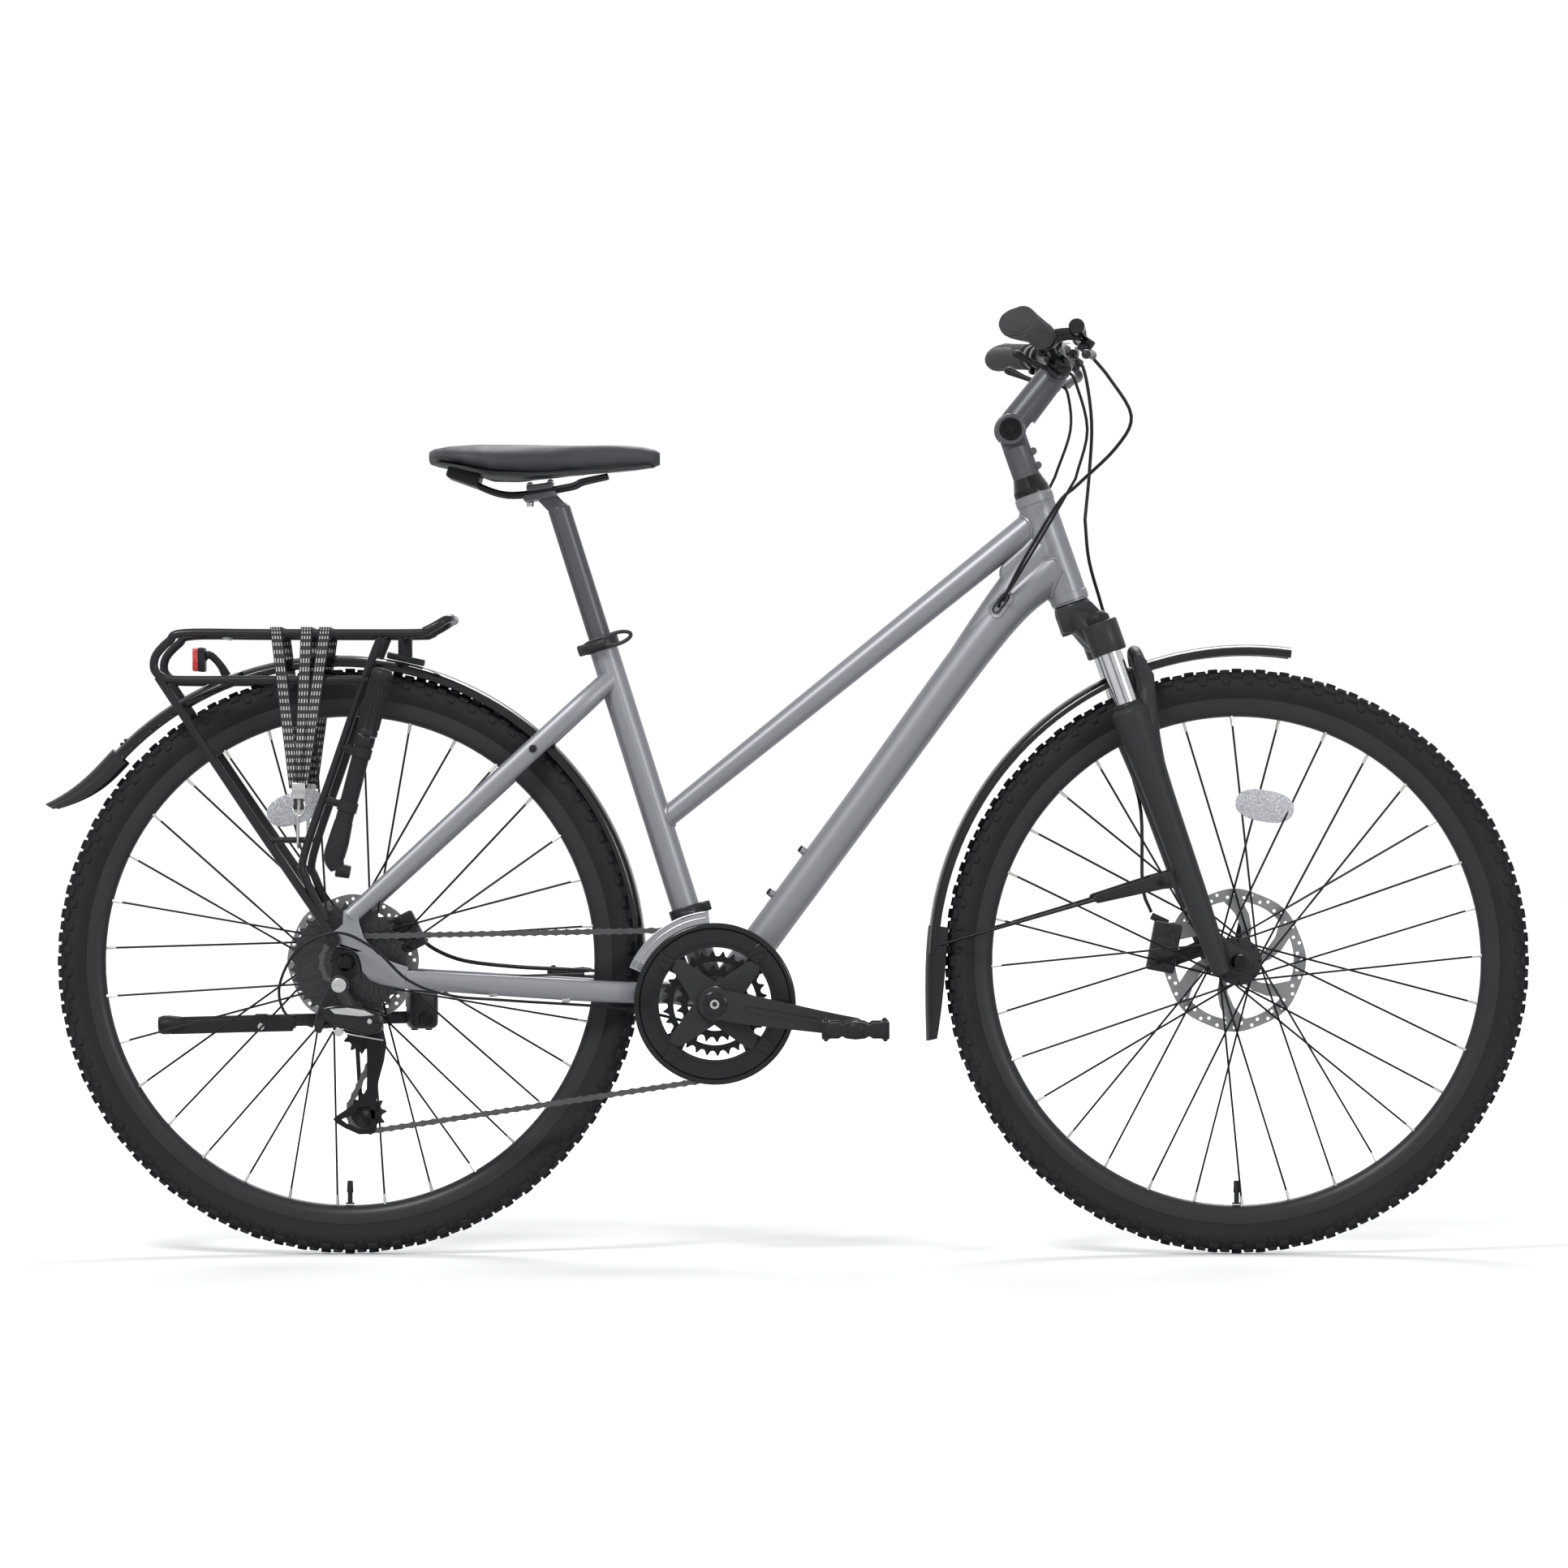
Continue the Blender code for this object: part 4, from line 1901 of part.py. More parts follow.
def build_chainrings():
    """Three chainrings, held together by their bolts."""
    holes = (0.0385, 0.0385, 0.0290)
    pieces = []
    for index, teeth in enumerate(RING_TEETH):
        y = RING_Y + index * RING_SPACING
        half = RING_THICKNESS / 2
        rim = ring(BOTTOM_BRACKET, pitch_radius(teeth), 20 if index else 32)
        pieces.append(plate([rim, ring(BOTTOM_BRACKET, holes[index], 12)], y - half, y + half))
    inner_y = RING_Y + 2 * RING_SPACING
    for x, z in flat_points(BOTTOM_BRACKET, [(INNER_BOLT_RADIUS, a) for a in SPIDER_ARM_ANGLES]):
        place = Vector((x, 0, z))
        pieces.append(cylinder(across(RING_Y, place), across(inner_y, place), 0.0030, 4))
    return finish(joined(pieces), "chainrings", "satin_black", BOTTOM_BRACKET)


def build_chain_guard():
    """The guard disc outside the large ring, clipped to it in four places."""
    outer_y = RING_Y - 0.0110
    profile = [
        (GUARD_RADIUS, outer_y + 0.0040), (GUARD_RADIUS - 0.002, outer_y),
        (GUARD_APERTURE, outer_y + 0.0015), (GUARD_APERTURE, outer_y + 0.0040),
    ]
    pieces = [turned(profile, BOTTOM_BRACKET, LEFT, 26)]
    ring_face = RING_Y - RING_THICKNESS / 2 - GAP
    for angle in SPIDER_ARM_ANGLES:
        x, z = flat_points(BOTTOM_BRACKET, [(0.0700, angle - 3)])[0]
        place = Vector((x, 0, z))
        pieces.append(
            cylinder(across(outer_y + 0.0025, place), across(ring_face, place), 0.0055, 4)
        )
    return finish(joined(pieces), "chain_guard", "gloss_black", BOTTOM_BRACKET)


def guide_pulley_centre():
    return from_rear_axle(0.0190, CHAIN_Y, -0.0860)


def tension_pulley_centre():
    return from_rear_axle(0.0235, CHAIN_Y, -0.1810)


def cage_pivot():
    return from_rear_axle(0.0270, CHAIN_Y, -0.0720)


def belt_runs():
    """The chain's four circles with the straight runs between them."""
    circles = [
        (BOTTOM_BRACKET, pitch_radius(RING_TEETH[0]), 1),
        (REAR_AXLE, pitch_radius(COG_TEETH[DRIVE_COG]), 1),
        (guide_pulley_centre(), pitch_radius(PULLEY_TEETH), -1),
        (tension_pulley_centre(), pitch_radius(PULLEY_TEETH), 1),
    ]
    runs = []
    for first, second in zip(circles, circles[1:] + circles[:1]):
        gap = second[0] - first[0]
        distance = math.hypot(gap.x, gap.z)
        lean = math.asin((first[2] * first[1] - second[2] * second[1]) / distance)
        runs.append(math.atan2(gap.z, gap.x) + lean)
    return circles, runs


def belt_outline(offset):
    """(x, z) points of the chain's line, moved outwards by an offset."""
    circles, runs = belt_runs()
    points = []
    for index, (centre, radius, turn) in enumerate(circles):
        arrive, leave = runs[index - 1], runs[index]
        sweep = (leave - arrive) % (2 * math.pi) if turn > 0 else -((arrive - leave) % (2 * math.pi))
        steps = max(3, round(abs(math.degrees(sweep)) / (22 if radius > 0.05 else 36)))
        reach = radius + turn * offset
        for step in range(steps + 1):
            heading = arrive + sweep * step / steps
            points.append(
                (
                    centre.x + turn * reach * math.sin(heading),
                    centre.z - turn * reach * math.cos(heading),
                )
            )
    return points


def build_chain():
    """The chain: two rows of side plates as bands, joined by rollers on its runs."""
    half, thick = CHAIN_HEIGHT / 2, 0.0010
    outer, inner = belt_outline(half), belt_outline(-half)
    edge = CHAIN_WIDTH / 2
    pieces = [
        plate([outer, inner], CHAIN_Y + side * edge, CHAIN_Y + side * (edge - thick))
        for side in (-1, 1)
    ]
    circles, runs = belt_runs()
    for index, heading in enumerate(runs):
        first, second = circles[index], circles[(index + 1) % len(circles)]
        starts = []
        for centre, radius, turn in (first, second):
            starts.append(
                centre + Vector((math.sin(heading), 0, -math.cos(heading))) * turn * radius
            )
        run = (starts[1] - starts[0]).normalized()
        free = [math.sqrt(0.0075 * (2 * circle[1] + 0.0075)) for circle in (first, second)]
        length = (starts[1] - starts[0]).length
        count = math.floor((length - free[0] - free[1]) / (ROLLER_STEP * CHAIN_PITCH))
        for step in range(count + 1):
            place = starts[0] + run * (free[0] + step * ROLLER_STEP * CHAIN_PITCH)
            ends = across(CHAIN_Y - edge + 0.0004, place), across(CHAIN_Y + edge - 0.0004, place)
            pieces.append(cylinder(*ends, 0.0030, 5))
    return finish(joined(pieces), "chain", "dark_steel", BOTTOM_BRACKET)


def build_front_derailleur():
    """The front derailleur: clamp, arm and the cage round the chain."""
    bb = BOTTOM_BRACKET
    along = FRONT_DERAILLEUR_HEIGHT / math.sin(SEAT_ANGLE)
    inner = clear_radius(SEAT_TUBE_RADIUS, 12)
    profile = [
        (inner + 0.004, along + 0.007), (inner + 0.004, along - 0.007),
        (inner, along - 0.007), (inner, along + 0.007),
    ]
    outline = (
        arc(bb, 0.1115, 94, 157, 4) + arc(bb, 0.0945, 157, 94, 4)
    )
    tail = arc(bb, 0.1105, 151, 156, 1) + arc(bb, 0.0960, 156, 151, 1)
    head = arc(bb, 0.1108, 96, 112, 2) + arc(bb, 0.1085, 112, 96, 2)
    outer_y, inner_y = CHAIN_Y - 0.0060, CHAIN_Y + 0.0072
    clamp = seat_line(along, 0, -inner - 0.001)
    pieces = [
        turned(profile, bb, SEAT_UP, 12),
        plate([outline], outer_y, outer_y + 0.0012),
        plate([outline], inner_y, inner_y - 0.0012),
        plate([tail], outer_y, inner_y),
        plate([head], outer_y, inner_y),
        box(Vector((clamp.x + 0.002, (clamp.y + inner_y) / 2, bb.z + 0.1035)),
            (0.018, abs(inner_y - clamp.y) + 0.003, 0.014)),
    ]
    return finish(joined(pieces), "front_derailleur", "silver_steel", seat_line(along))


def build_rear_derailleur():
    """The rear derailleur's two knuckles and the link between them."""
    hanger = from_rear_axle(-0.0070, 0, -0.0270)
    pivot = cage_pivot()
    outer = -(REAR_HUB_WIDTH / 2 + GAP + DROPOUT_THICKNESS) - GAP
    middle = (hanger + pivot) / 2 + Vector((-0.006, 0, -0.002))
    link = [across(-0.0880, hanger), across(-0.0900, middle), across(-0.0780, pivot)]
    adjuster = across(-0.0850, hanger + Vector((-0.0200, 0, -0.0300)))
    cable_stop = from_rear_axle(-0.0370, -0.0858, -0.0758)
    pieces = [
        cylinder(across(outer, hanger), across(outer - 0.018, hanger), 0.0120, 10),
        cylinder(across(-0.0645, pivot), across(-0.0840, pivot), 0.0130, 10),
        tube(link, 0.0100, 1, radii=[0.0085, 0.0090, 0.0085]),
        cylinder(adjuster, across(-0.0870, hanger), 0.0048, 6),
        cylinder(cable_stop, across(-0.0820, pivot + Vector((-0.008, 0, 0))), 0.0040, 8),
    ]
    body = joined(pieces)
    socket = bore(across(-0.0600, pivot), across(-0.0790, pivot), 0.0040, 8)
    return finish(cut(body, [socket]), "rear_derailleur", "satin_black", hanger)


def build_derailleur_cage():
    """The sprung cage: two plates, both pulley bolts and the pivot pin."""
    guide, tension, pivot = guide_pulley_centre(), tension_pulley_centre(), cage_pivot()
    inner_y, outer_y = CHAIN_Y + CAGE_HALF, CHAIN_Y - CAGE_HALF
    pieces = []
    for y, sign in ((inner_y, 1), (outer_y, -1)):
        pieces.append(
            plate([capsule(guide, tension, 0.0105, 0.0095, 2)], y, y + sign * CAGE_PLATE)
        )
    head_y = outer_y - CAGE_PLATE - 0.0002
    pieces.append(plate([capsule(pivot, guide, 0.0110, 0.0100, 3)], outer_y - 0.0001, head_y))
    for centre in (guide, tension):
        pieces.append(
            cylinder(
                across(inner_y + CAGE_PLATE + 0.0015, centre),
                across(outer_y - CAGE_PLATE - 0.0012, centre),
                0.0030,
                6,
            )
        )
    pieces.append(
        cylinder(across(outer_y - 0.001, pivot), across(-0.0775, pivot), 0.0040, 8)
    )
    return finish(joined(pieces), "derailleur_cage", "satin_black", pivot)


def build_pulleys():
    for name, centre in (
        ("guide_pulley", guide_pulley_centre()),
        ("tension_pulley", tension_pulley_centre()),
    ):
        half = 0.0010
        rim, inner = pitch_radius(PULLEY_TEETH), clear_radius(0.0030, 8)
        reach = CAGE_HALF - 0.0005
        profile = [
            (0.0075, reach), (0.0075, half), (rim, half), (rim, -half), (0.0075, -half),
            (0.0075, -reach), (inner, -reach), (inner, reach),
        ]
        finish(turned(profile, centre, LEFT, 8), name, "satin_black", centre)


# Assembly

def body_empty(name, place, parent=None):
    """An empty on a joint's axis, which carries the pieces that move on it."""
    empty = bpy.data.objects.new(name, None)
    empty.empty_display_size = 0.03
    empty.matrix_world = Matrix.Translation(place)
    BICYCLE.objects.link(empty)
    if parent:
        hold(empty, parent)
    return empty


def hold(child, parent):
    """Parents an object and leaves it where it is."""
    child.parent = parent
    child.matrix_parent_inverse = parent.matrix_world.inverted()


def assemble():
    """Parents what turns or slides together to empties on the joints' axes."""
    turning = body_empty("steering_axis", HEAD_BOTTOM)
    stem = body_empty("stem_hinge_axis", stem_pivot(), turning)
    sliding = body_empty("fork_travel_axis", steering(LOWER_LEG_TOP, FORK_LEG_OFFSET), turning)
    front_wheel = body_empty("front_wheel_axis", FRONT_AXLE, sliding)
    rear_wheel = body_empty("rear_wheel_axis", REAR_AXLE)
    crank = body_empty("crank_axis", BOTTOM_BRACKET)
    seat = body_empty("seatpost_axis", seat_line(SEAT_TUBE_LENGTH))
    held = (
        (turning, ("fork_upper", "stem_base", "suspension_knob", "front_brake_hose")),
        (stem, ("stem_arm", "handlebar", "right_grip", "left_grip", "right_brake_mount",
                "left_brake_mount", "right_brake_lever", "left_brake_lever",
                "right_shift_lever", "left_shift_lever", "rear_brake_hose", "shift_cables")),
        (sliding, ("fork_lowers", "front_mudguard", "front_brake_caliper", "front_axle",
                   "front_quick_release_lever")),
        (front_wheel, ("front_tyre", "front_rim", "front_hub", "front_rotor")),
        (rear_wheel, ("rear_tyre", "rear_rim", "rear_hub", "rear_rotor", "cassette")),
        (crank, ("right_crank", "left_crank", "chainrings", "chain_guard", "right_pedal",
                 "left_pedal")),
        (seat, ("seatpost", "saddle_base", "saddle_cover")),
    )
    bpy.context.view_layer.update()
    for empty, names in held:
        for name in names:
            hold(bpy.data.objects[name], empty)


def main():
    build_frame()
    for name, axle in (("front", FRONT_AXLE), ("rear", REAR_AXLE)):
        build_tyre(f"{name}_tyre", axle)
        build_rim(f"{name}_rim", axle)
    build_front_hub()
    build_rear_hub()
    build_rotor("front_rotor", FRONT_AXLE, FRONT_ROTOR_RADIUS, FRONT_ROTOR_Y)
    build_rotor("rear_rotor", REAR_AXLE, REAR_ROTOR_RADIUS, REAR_ROTOR_Y)
    front_outer = FRONT_HUB_WIDTH / 2 + GAP + DROPOUT_THICKNESS
    rear_outer = REAR_HUB_WIDTH / 2 + GAP + DROPOUT_THICKNESS
    build_skewer("front_axle", FRONT_AXLE, front_outer)
    build_skewer("rear_axle", REAR_AXLE, rear_outer)
    build_skewer_lever("front_quick_release_lever", FRONT_AXLE, front_outer, 75)
    build_skewer_lever("rear_quick_release_lever", REAR_AXLE, rear_outer, 45)
    build_fork_upper()
    build_suspension_knob()
    build_fork_lowers()
    build_stem_base()
    build_stem_arm()
    build_handlebar()
    build_grip()
    build_brake_mounts()
    build_brake_levers()
    build_shift_levers()
    build_cables()
    build_seatpost()
    build_saddle_base()
    build_saddle_cover()
    build_seat_collar()
    build_seat_clamp_lever()
    build_rear_mudguard()
    build_front_mudguard()
    build_rear_rack()
    build_luggage_strap()
    build_rear_lamp()
    build_pump()
    build_kickstand_bracket()
    build_kickstand_leg()
    build_rear_caliper()
    build_front_caliper()
    build_cassette()
    build_right_crank()
    build_left_crank()
    build_pedals()
    build_chainrings()
    build_chain_guard()
    build_chain()
    build_front_derailleur()
    build_rear_derailleur()
    build_derailleur_cage()
    build_pulleys()
    assemble()


clear_scene()
BICYCLE = make_collection("cross_hybrid_bike")
CUTTERS = make_collection("cutters")
main()
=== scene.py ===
import json
import math

import bpy
from mathutils import Matrix, Vector


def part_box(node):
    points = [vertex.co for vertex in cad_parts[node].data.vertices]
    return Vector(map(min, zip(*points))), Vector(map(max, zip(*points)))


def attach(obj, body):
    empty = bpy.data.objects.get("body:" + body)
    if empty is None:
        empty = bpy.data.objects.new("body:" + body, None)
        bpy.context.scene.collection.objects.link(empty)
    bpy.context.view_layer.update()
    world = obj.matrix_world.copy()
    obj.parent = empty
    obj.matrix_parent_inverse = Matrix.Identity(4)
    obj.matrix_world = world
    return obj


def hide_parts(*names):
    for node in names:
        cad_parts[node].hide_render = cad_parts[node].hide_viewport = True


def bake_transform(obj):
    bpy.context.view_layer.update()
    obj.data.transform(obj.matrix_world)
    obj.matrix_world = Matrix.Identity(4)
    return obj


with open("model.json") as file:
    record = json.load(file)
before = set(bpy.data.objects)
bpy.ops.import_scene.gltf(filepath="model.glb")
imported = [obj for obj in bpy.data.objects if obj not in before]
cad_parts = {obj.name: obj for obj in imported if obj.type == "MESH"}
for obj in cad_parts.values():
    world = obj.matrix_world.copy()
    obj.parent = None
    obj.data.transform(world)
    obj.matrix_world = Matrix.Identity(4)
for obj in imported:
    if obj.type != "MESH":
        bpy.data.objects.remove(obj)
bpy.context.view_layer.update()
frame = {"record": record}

bl_info = {
    "name": "Cross hybrid bicycle",
    "version": (1, 0, 0),
    "blender": (4, 5, 0),
    "location": "View3D > Sidebar > Bicycle",
    "description": "Dresses a cross hybrid bicycle, piece by piece, in metres",
    "category": "Object",
}

# The imported part: the body that each of its nodes belongs to
BODY_OF = {node: body for body, nodes in frame["record"]["behaviour"]["bodies"].items() for node in nodes}

# Driving sizes, as the part has them
GAP = 0.0003
WHEELBASE = 1.07
CHAINSTAY_LENGTH = 0.444
BOTTOM_BRACKET_DROP = 0.05
SEAT_ANGLE = math.radians(72.4)
SEAT_TUBE_LENGTH = 0.462
HEAD_ANGLE = math.radians(70.65)
HEAD_TUBE_LENGTH = 0.139
FORK_LENGTH = 0.474
FORK_RAKE = 0.0455
HEAD_TUBE_RADIUS = 0.0225
SEAT_TUBE_RADIUS = 0.017
TOP_TUBE_RADIUS = 0.0165
TOP_TUBE_SEAT_RADIUS = 0.0125
TOP_TUBE_SEAT_HEIGHT = 0.226
TOP_TUBE_HEAD_HEIGHT = 0.11
DOWN_TUBE_RADIUS = 0.0215
DOWN_TUBE_HEAD_RADIUS = 0.0255
DOWN_TUBE_ANGLE = math.radians(53.6)
DOWN_TUBE_BEND = 0.565
CHAINSTAY_RADIUS = 0.013
SEATSTAY_RADIUS = 0.012
STAY_FLATTENING = 0.58
BB_SHELL_RADIUS = 0.0215
BB_SHELL_WIDTH = 0.073
BB_BORE_RADIUS = 0.009
BOTTLE_BOSS_HEIGHT = 0.146
BOTTLE_BOSS_SPACING = 0.064
BOTTLE_BOSS_RADIUS = 0.0048
DROPOUT_THICKNESS = 0.007
TYRE_HEIGHT = 0.036
RIM_DEPTH = 0.0224
RIM_WIDTH = 0.025
SPOKE_COUNT = 32
SPOKE_CIRCLE_RADIUS = 0.025
HUB_FLANGE_RADIUS = 0.0285
HUB_SHELL_RADIUS = 0.015
FRONT_HUB_WIDTH = 0.1
REAR_HUB_WIDTH = 0.135
AXLE_RADIUS = 0.0025
ROTOR_THICKNESS = 0.0018
FRONT_ROTOR_RADIUS = 0.087
REAR_ROTOR_RADIUS = 0.08
ROTOR_BAND = 0.015
FRONT_ROTOR_Y = 0.04
REAR_ROTOR_Y = 0.052
ROTOR_BOSS_RADIUS = 0.017
ROTOR_BOLT_CIRCLE = ROTOR_BOSS_RADIUS + 0.0052
STEERER_RADIUS = 0.01425
STANCHION_RADIUS = 0.014
STANCHION_INSERTION = 0.093
FORK_LEG_Y = 0.063
FORK_LEG_OFFSET = 0.021
CROWN_CLAMP_RADIUS = 0.0215
CROWN_CLAMP_TOP = -0.034
CROWN_CLAMP_BOTTOM = -0.073
LOWER_LEG_TOP = -0.142
LOWER_LEG_BOTTOM = -0.48
STEM_PIVOT_HEIGHT = 0.2215
STEM_BASE_RADIUS = 0.0165
STEM_ARM_LENGTH = 0.0926
STEM_ARM_ANGLE = math.radians(52.0)
STEM_ARM_RADIUS = 0.019
STEM_KNUCKLE_WIDTH = 0.022
BAR_RADIUS = 0.0111
BAR_CLAMP_RADIUS = 0.016
BAR_HALF_LENGTH = 0.31
BAR_RISE = 0.037
BAR_SWEEP = 0.052
GRIP_LENGTH = 0.128
GRIP_RADIUS = 0.016
BRAKE_MOUNT_Y = BAR_HALF_LENGTH - 0.15
SHIFTER_Y = BRAKE_MOUNT_Y - 0.032
SEATPOST_RADIUS = 0.0136
SEATPOST_EXPOSED = 0.163
SEAT_COLLAR_HEIGHT = 0.016
SADDLE_LENGTH = 0.278
SADDLE_WIDTH = 0.16
SADDLE_SHELL = 0.0045
RAIL_SPACING = 0.044
RAIL_RADIUS = 0.0035
RAIL_DROP = -0.002
CHAIN_PITCH = 0.0127
CHAIN_Y = -0.0555
CHAIN_WIDTH = 0.0068
RING_TEETH = (44, 30, 22)
RING_SPACING = 0.008
COG_TEETH = (11, 13, 15, 17, 20, 23, 26, 30, 34)
COG_SPACING = 0.0044
DRIVE_COG = 2
PULLEY_TEETH = 11
CRANK_LENGTH = 0.17
CRANK_DROP = 9.4
CRANK_DROP_ANGLE = math.radians(CRANK_DROP)
CRANK_FACE_Y = 0.07
CRANK_THICKNESS = 0.014
CRANK_AXLE_RADIUS = 0.0085
GUARD_RADIUS = 0.097
GUARD_APERTURE = 0.063
PEDAL_LENGTH = 0.08
PEDAL_WIDTH = 0.092
PEDAL_HEIGHT = 0.026
PEDAL_INNER_Y = 0.104
PEDAL_SPINDLE_RADIUS = 0.005
SPIDER_ARM_ANGLES = (53, 143, 233, 323)
RING_BOLT_RADIUS = 0.052
INNER_BOLT_RADIUS = 0.0418
FRONT_DERAILLEUR_HEIGHT = 0.109
CAGE_HALF = 0.006
CAGE_PLATE = 0.002
REAR_GUARD_RADIUS = 0.372
FRONT_GUARD_RADIUS = 0.386
GUARD_WIDTH = 0.05
GUARD_DEPTH = 0.013
GUARD_WALL = 0.002
GUARD_LUG_Y = 0.0665
CALIPER_OUTER_Y = 0.055
RACK_TUBE_RADIUS = 0.0052
RACK_HALF_WIDTH = 0.0625
RACK_DECK_HEIGHT = 0.394
RACK_MIDDLE_HEIGHT = 0.338
STRAP_WIDTH = 0.01
STRAP_THICKNESS = 0.0018
STRAP_CLIP = ((-0.006, -0.006), (-0.0075, -0.014), (-0.003, -0.022), (0.003, -0.022), (0.0075, -0.014),
              (0.006, -0.006))
PUMP_Y = 0.0875
PUMP_RADIUS = 0.0105
KICKSTAND_LENGTH = 0.309
KICKSTAND_AXIS = Vector((0.3185, -0.948, 0)).normalized()

# The wheel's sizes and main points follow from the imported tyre
TYRE_RADIUS = (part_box("front_tyre")[1].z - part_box("front_tyre")[0].z) / 2
TYRE_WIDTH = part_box("front_tyre")[1].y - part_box("front_tyre")[0].y
RIM_RADIUS = TYRE_RADIUS - TYRE_HEIGHT
REAR_AXLE = Vector((-WHEELBASE / 2, 0, TYRE_RADIUS))
FRONT_AXLE = Vector((WHEELBASE / 2, 0, TYRE_RADIUS))
BOTTOM_BRACKET = REAR_AXLE + Vector(
    (math.sqrt(CHAINSTAY_LENGTH**2 - BOTTOM_BRACKET_DROP**2), 0, -BOTTOM_BRACKET_DROP)
)
SEAT_UP = Vector((-math.cos(SEAT_ANGLE), 0, math.sin(SEAT_ANGLE)))
SEAT_FORWARD = Vector((math.sin(SEAT_ANGLE), 0, math.cos(SEAT_ANGLE)))
STEER_UP = Vector((-math.cos(HEAD_ANGLE), 0, math.sin(HEAD_ANGLE)))
STEER_FORWARD = Vector((math.sin(HEAD_ANGLE), 0, math.cos(HEAD_ANGLE)))
HEAD_BOTTOM = FRONT_AXLE + STEER_UP * FORK_LENGTH - STEER_FORWARD * FORK_RAKE
FORWARD, LEFT, UP = Vector((1, 0, 0)), Vector((0, 1, 0)), Vector((0, 0, 1))


# Places

def across(y, point):
    """A point moved to a given Y."""
    return Vector((point[0], y, point[2]))


def steering(along, forward=0.0, y=0.0):
    """A point from its height along the steering axis above the head tube's foot."""
    return HEAD_BOTTOM + STEER_UP * along + STEER_FORWARD * forward + LEFT * y


def seat_line(along, forward=0.0, y=0.0):
    """A point from its distance along the seat tube above the bottom bracket."""
    return BOTTOM_BRACKET + SEAT_UP * along + SEAT_FORWARD * forward + LEFT * y


def from_rear_axle(x, y, z):
    return REAR_AXLE + Vector((x, y, z))


def from_front_axle(x, y, z):
    return FRONT_AXLE + Vector((x, y, z))


def heading(degrees):
    """The direction at an angle above forwards, in the plane of the wheels."""
    angle = math.radians(degrees)
    return Vector((math.cos(angle), 0, math.sin(angle)))


def about_rear_axle(outline):
    return [(REAR_AXLE.x + x, REAR_AXLE.z + z) for x, z in outline]


def pitch_radius(teeth):
    return CHAIN_PITCH / (2 * math.sin(math.pi / teeth))


def rotation_for(local_x, local_z):
    """A rotation whose local X and Z run along two square directions."""
    local_x, local_z = Vector(local_x).normalized(), Vector(local_z).normalized()
    local_y = local_z.cross(local_x)
    return Matrix((local_x, local_y, local_z)).transposed()


def flat_points(centre, polar):
    """(x, z) points from (radius, degrees) pairs about a centre in the XZ plane."""
    turns = [(radius, math.radians(angle)) for radius, angle in polar]
    return [(centre[0] + radius * math.cos(turn), centre[2] + radius * math.sin(turn)) for radius,
            turn in turns]


def arc(centre, radius, start, end, steps):
    """(x, z) points along an arc, from one angle to another in degrees."""
    angles = [start + (end - start) * step / steps for step in range(steps + 1)]
    return flat_points(centre, [(radius, angle) for angle in angles])


def ring(centre, radius, steps):
    return arc(centre, radius, 0, 360 - 360 / steps, steps - 1)


def capsule(start, end, start_radius, end_radius, steps=14):
    """The outline of a link: two round ends and straight sides, in the XZ plane."""
    angle = math.degrees(math.atan2(end[2] - start[2], end[0] - start[0]))
    first = arc(start, start_radius, angle + 90, angle + 270, steps)
    return first + arc(end, end_radius, angle - 90, angle + 90, steps)


def smooth_values(values, steps):
    """Numbers or vectors on a smooth curve through the given ones."""
    ends = [2 * values[0] - values[1], 2 * values[-1] - values[-2]]
    padded = [ends[0], *values, ends[1]]
    found = []
    for before, start, end, after in zip(padded, padded[1:], padded[2:], padded[3:]):
        for step in range(steps):
            t = step / steps
            found.append(
                0.5
                * (
                    2 * start
                    + (end - before) * t
                    + (2 * before - 5 * start + 4 * end - after) * t**2
                    + (3 * start - before - 3 * end + after) * t**3
                )
            )
    return found + [values[-1]]


# Modelling

def only(*objs):
    """Selects these objects and nothing else; the first one is active."""
    bpy.ops.object.select_all(action="DESELECT")
    for obj in objs:
        obj.select_set(True)
    bpy.context.view_layer.objects.active = objs[0]
    return objs[0]


def placed(obj):
    """Puts a new object's place into its mesh."""
    only(obj)
    bpy.ops.object.transform_apply(location=True, rotation=True, scale=True)
    return obj


def moved(obj, matrix):
    """Moves a mesh by a matrix, as a mesh edit."""
    obj.data.transform(matrix)
    if matrix.determinant() < 0:
        obj.data.flip_normals()
    obj.data.update()
    return obj


def apply_modifier(obj, name):
    only(obj)
    bpy.ops.object.modifier_apply(modifier=name)
    return obj


def softened(obj, width, segments=2, angle=35):
    """Rounds the sharp edges of a piece."""
    bevel = obj.modifiers.new("soft_edges", "BEVEL")
    bevel.width = width
    bevel.segments = segments
    bevel.limit_method = "ANGLE"
    bevel.angle_limit = math.radians(angle)
    return apply_modifier(obj, "soft_edges")


def facing_out(obj, merge=1e-6):
    """Merges doubles and turns every face outwards."""
    only(obj)
    bpy.ops.object.mode_set(mode="EDIT")
    bpy.ops.mesh.select_all(action="SELECT")
    bpy.ops.mesh.remove_doubles(threshold=merge)
    bpy.ops.mesh.normals_make_consistent(inside=False)
    bpy.ops.object.mode_set(mode="OBJECT")
    return obj


def rod(start, end, radius, sides=32, end_radius=None, soft=0.0):
    """A round bar or cone between two points."""
    start, end = Vector(start), Vector(end)
    bpy.ops.object.select_all(action="DESELECT")
    bpy.ops.mesh.primitive_cone_add(
        vertices=sides,
        radius1=radius,
        radius2=radius if end_radius is None else end_radius,
        depth=(end - start).length,
        location=(start + end) / 2,
        rotation=(end - start).to_track_quat("Z", "Y").to_euler(),
    )
    obj = placed(bpy.context.object)
    return softened(obj, soft) if soft else obj


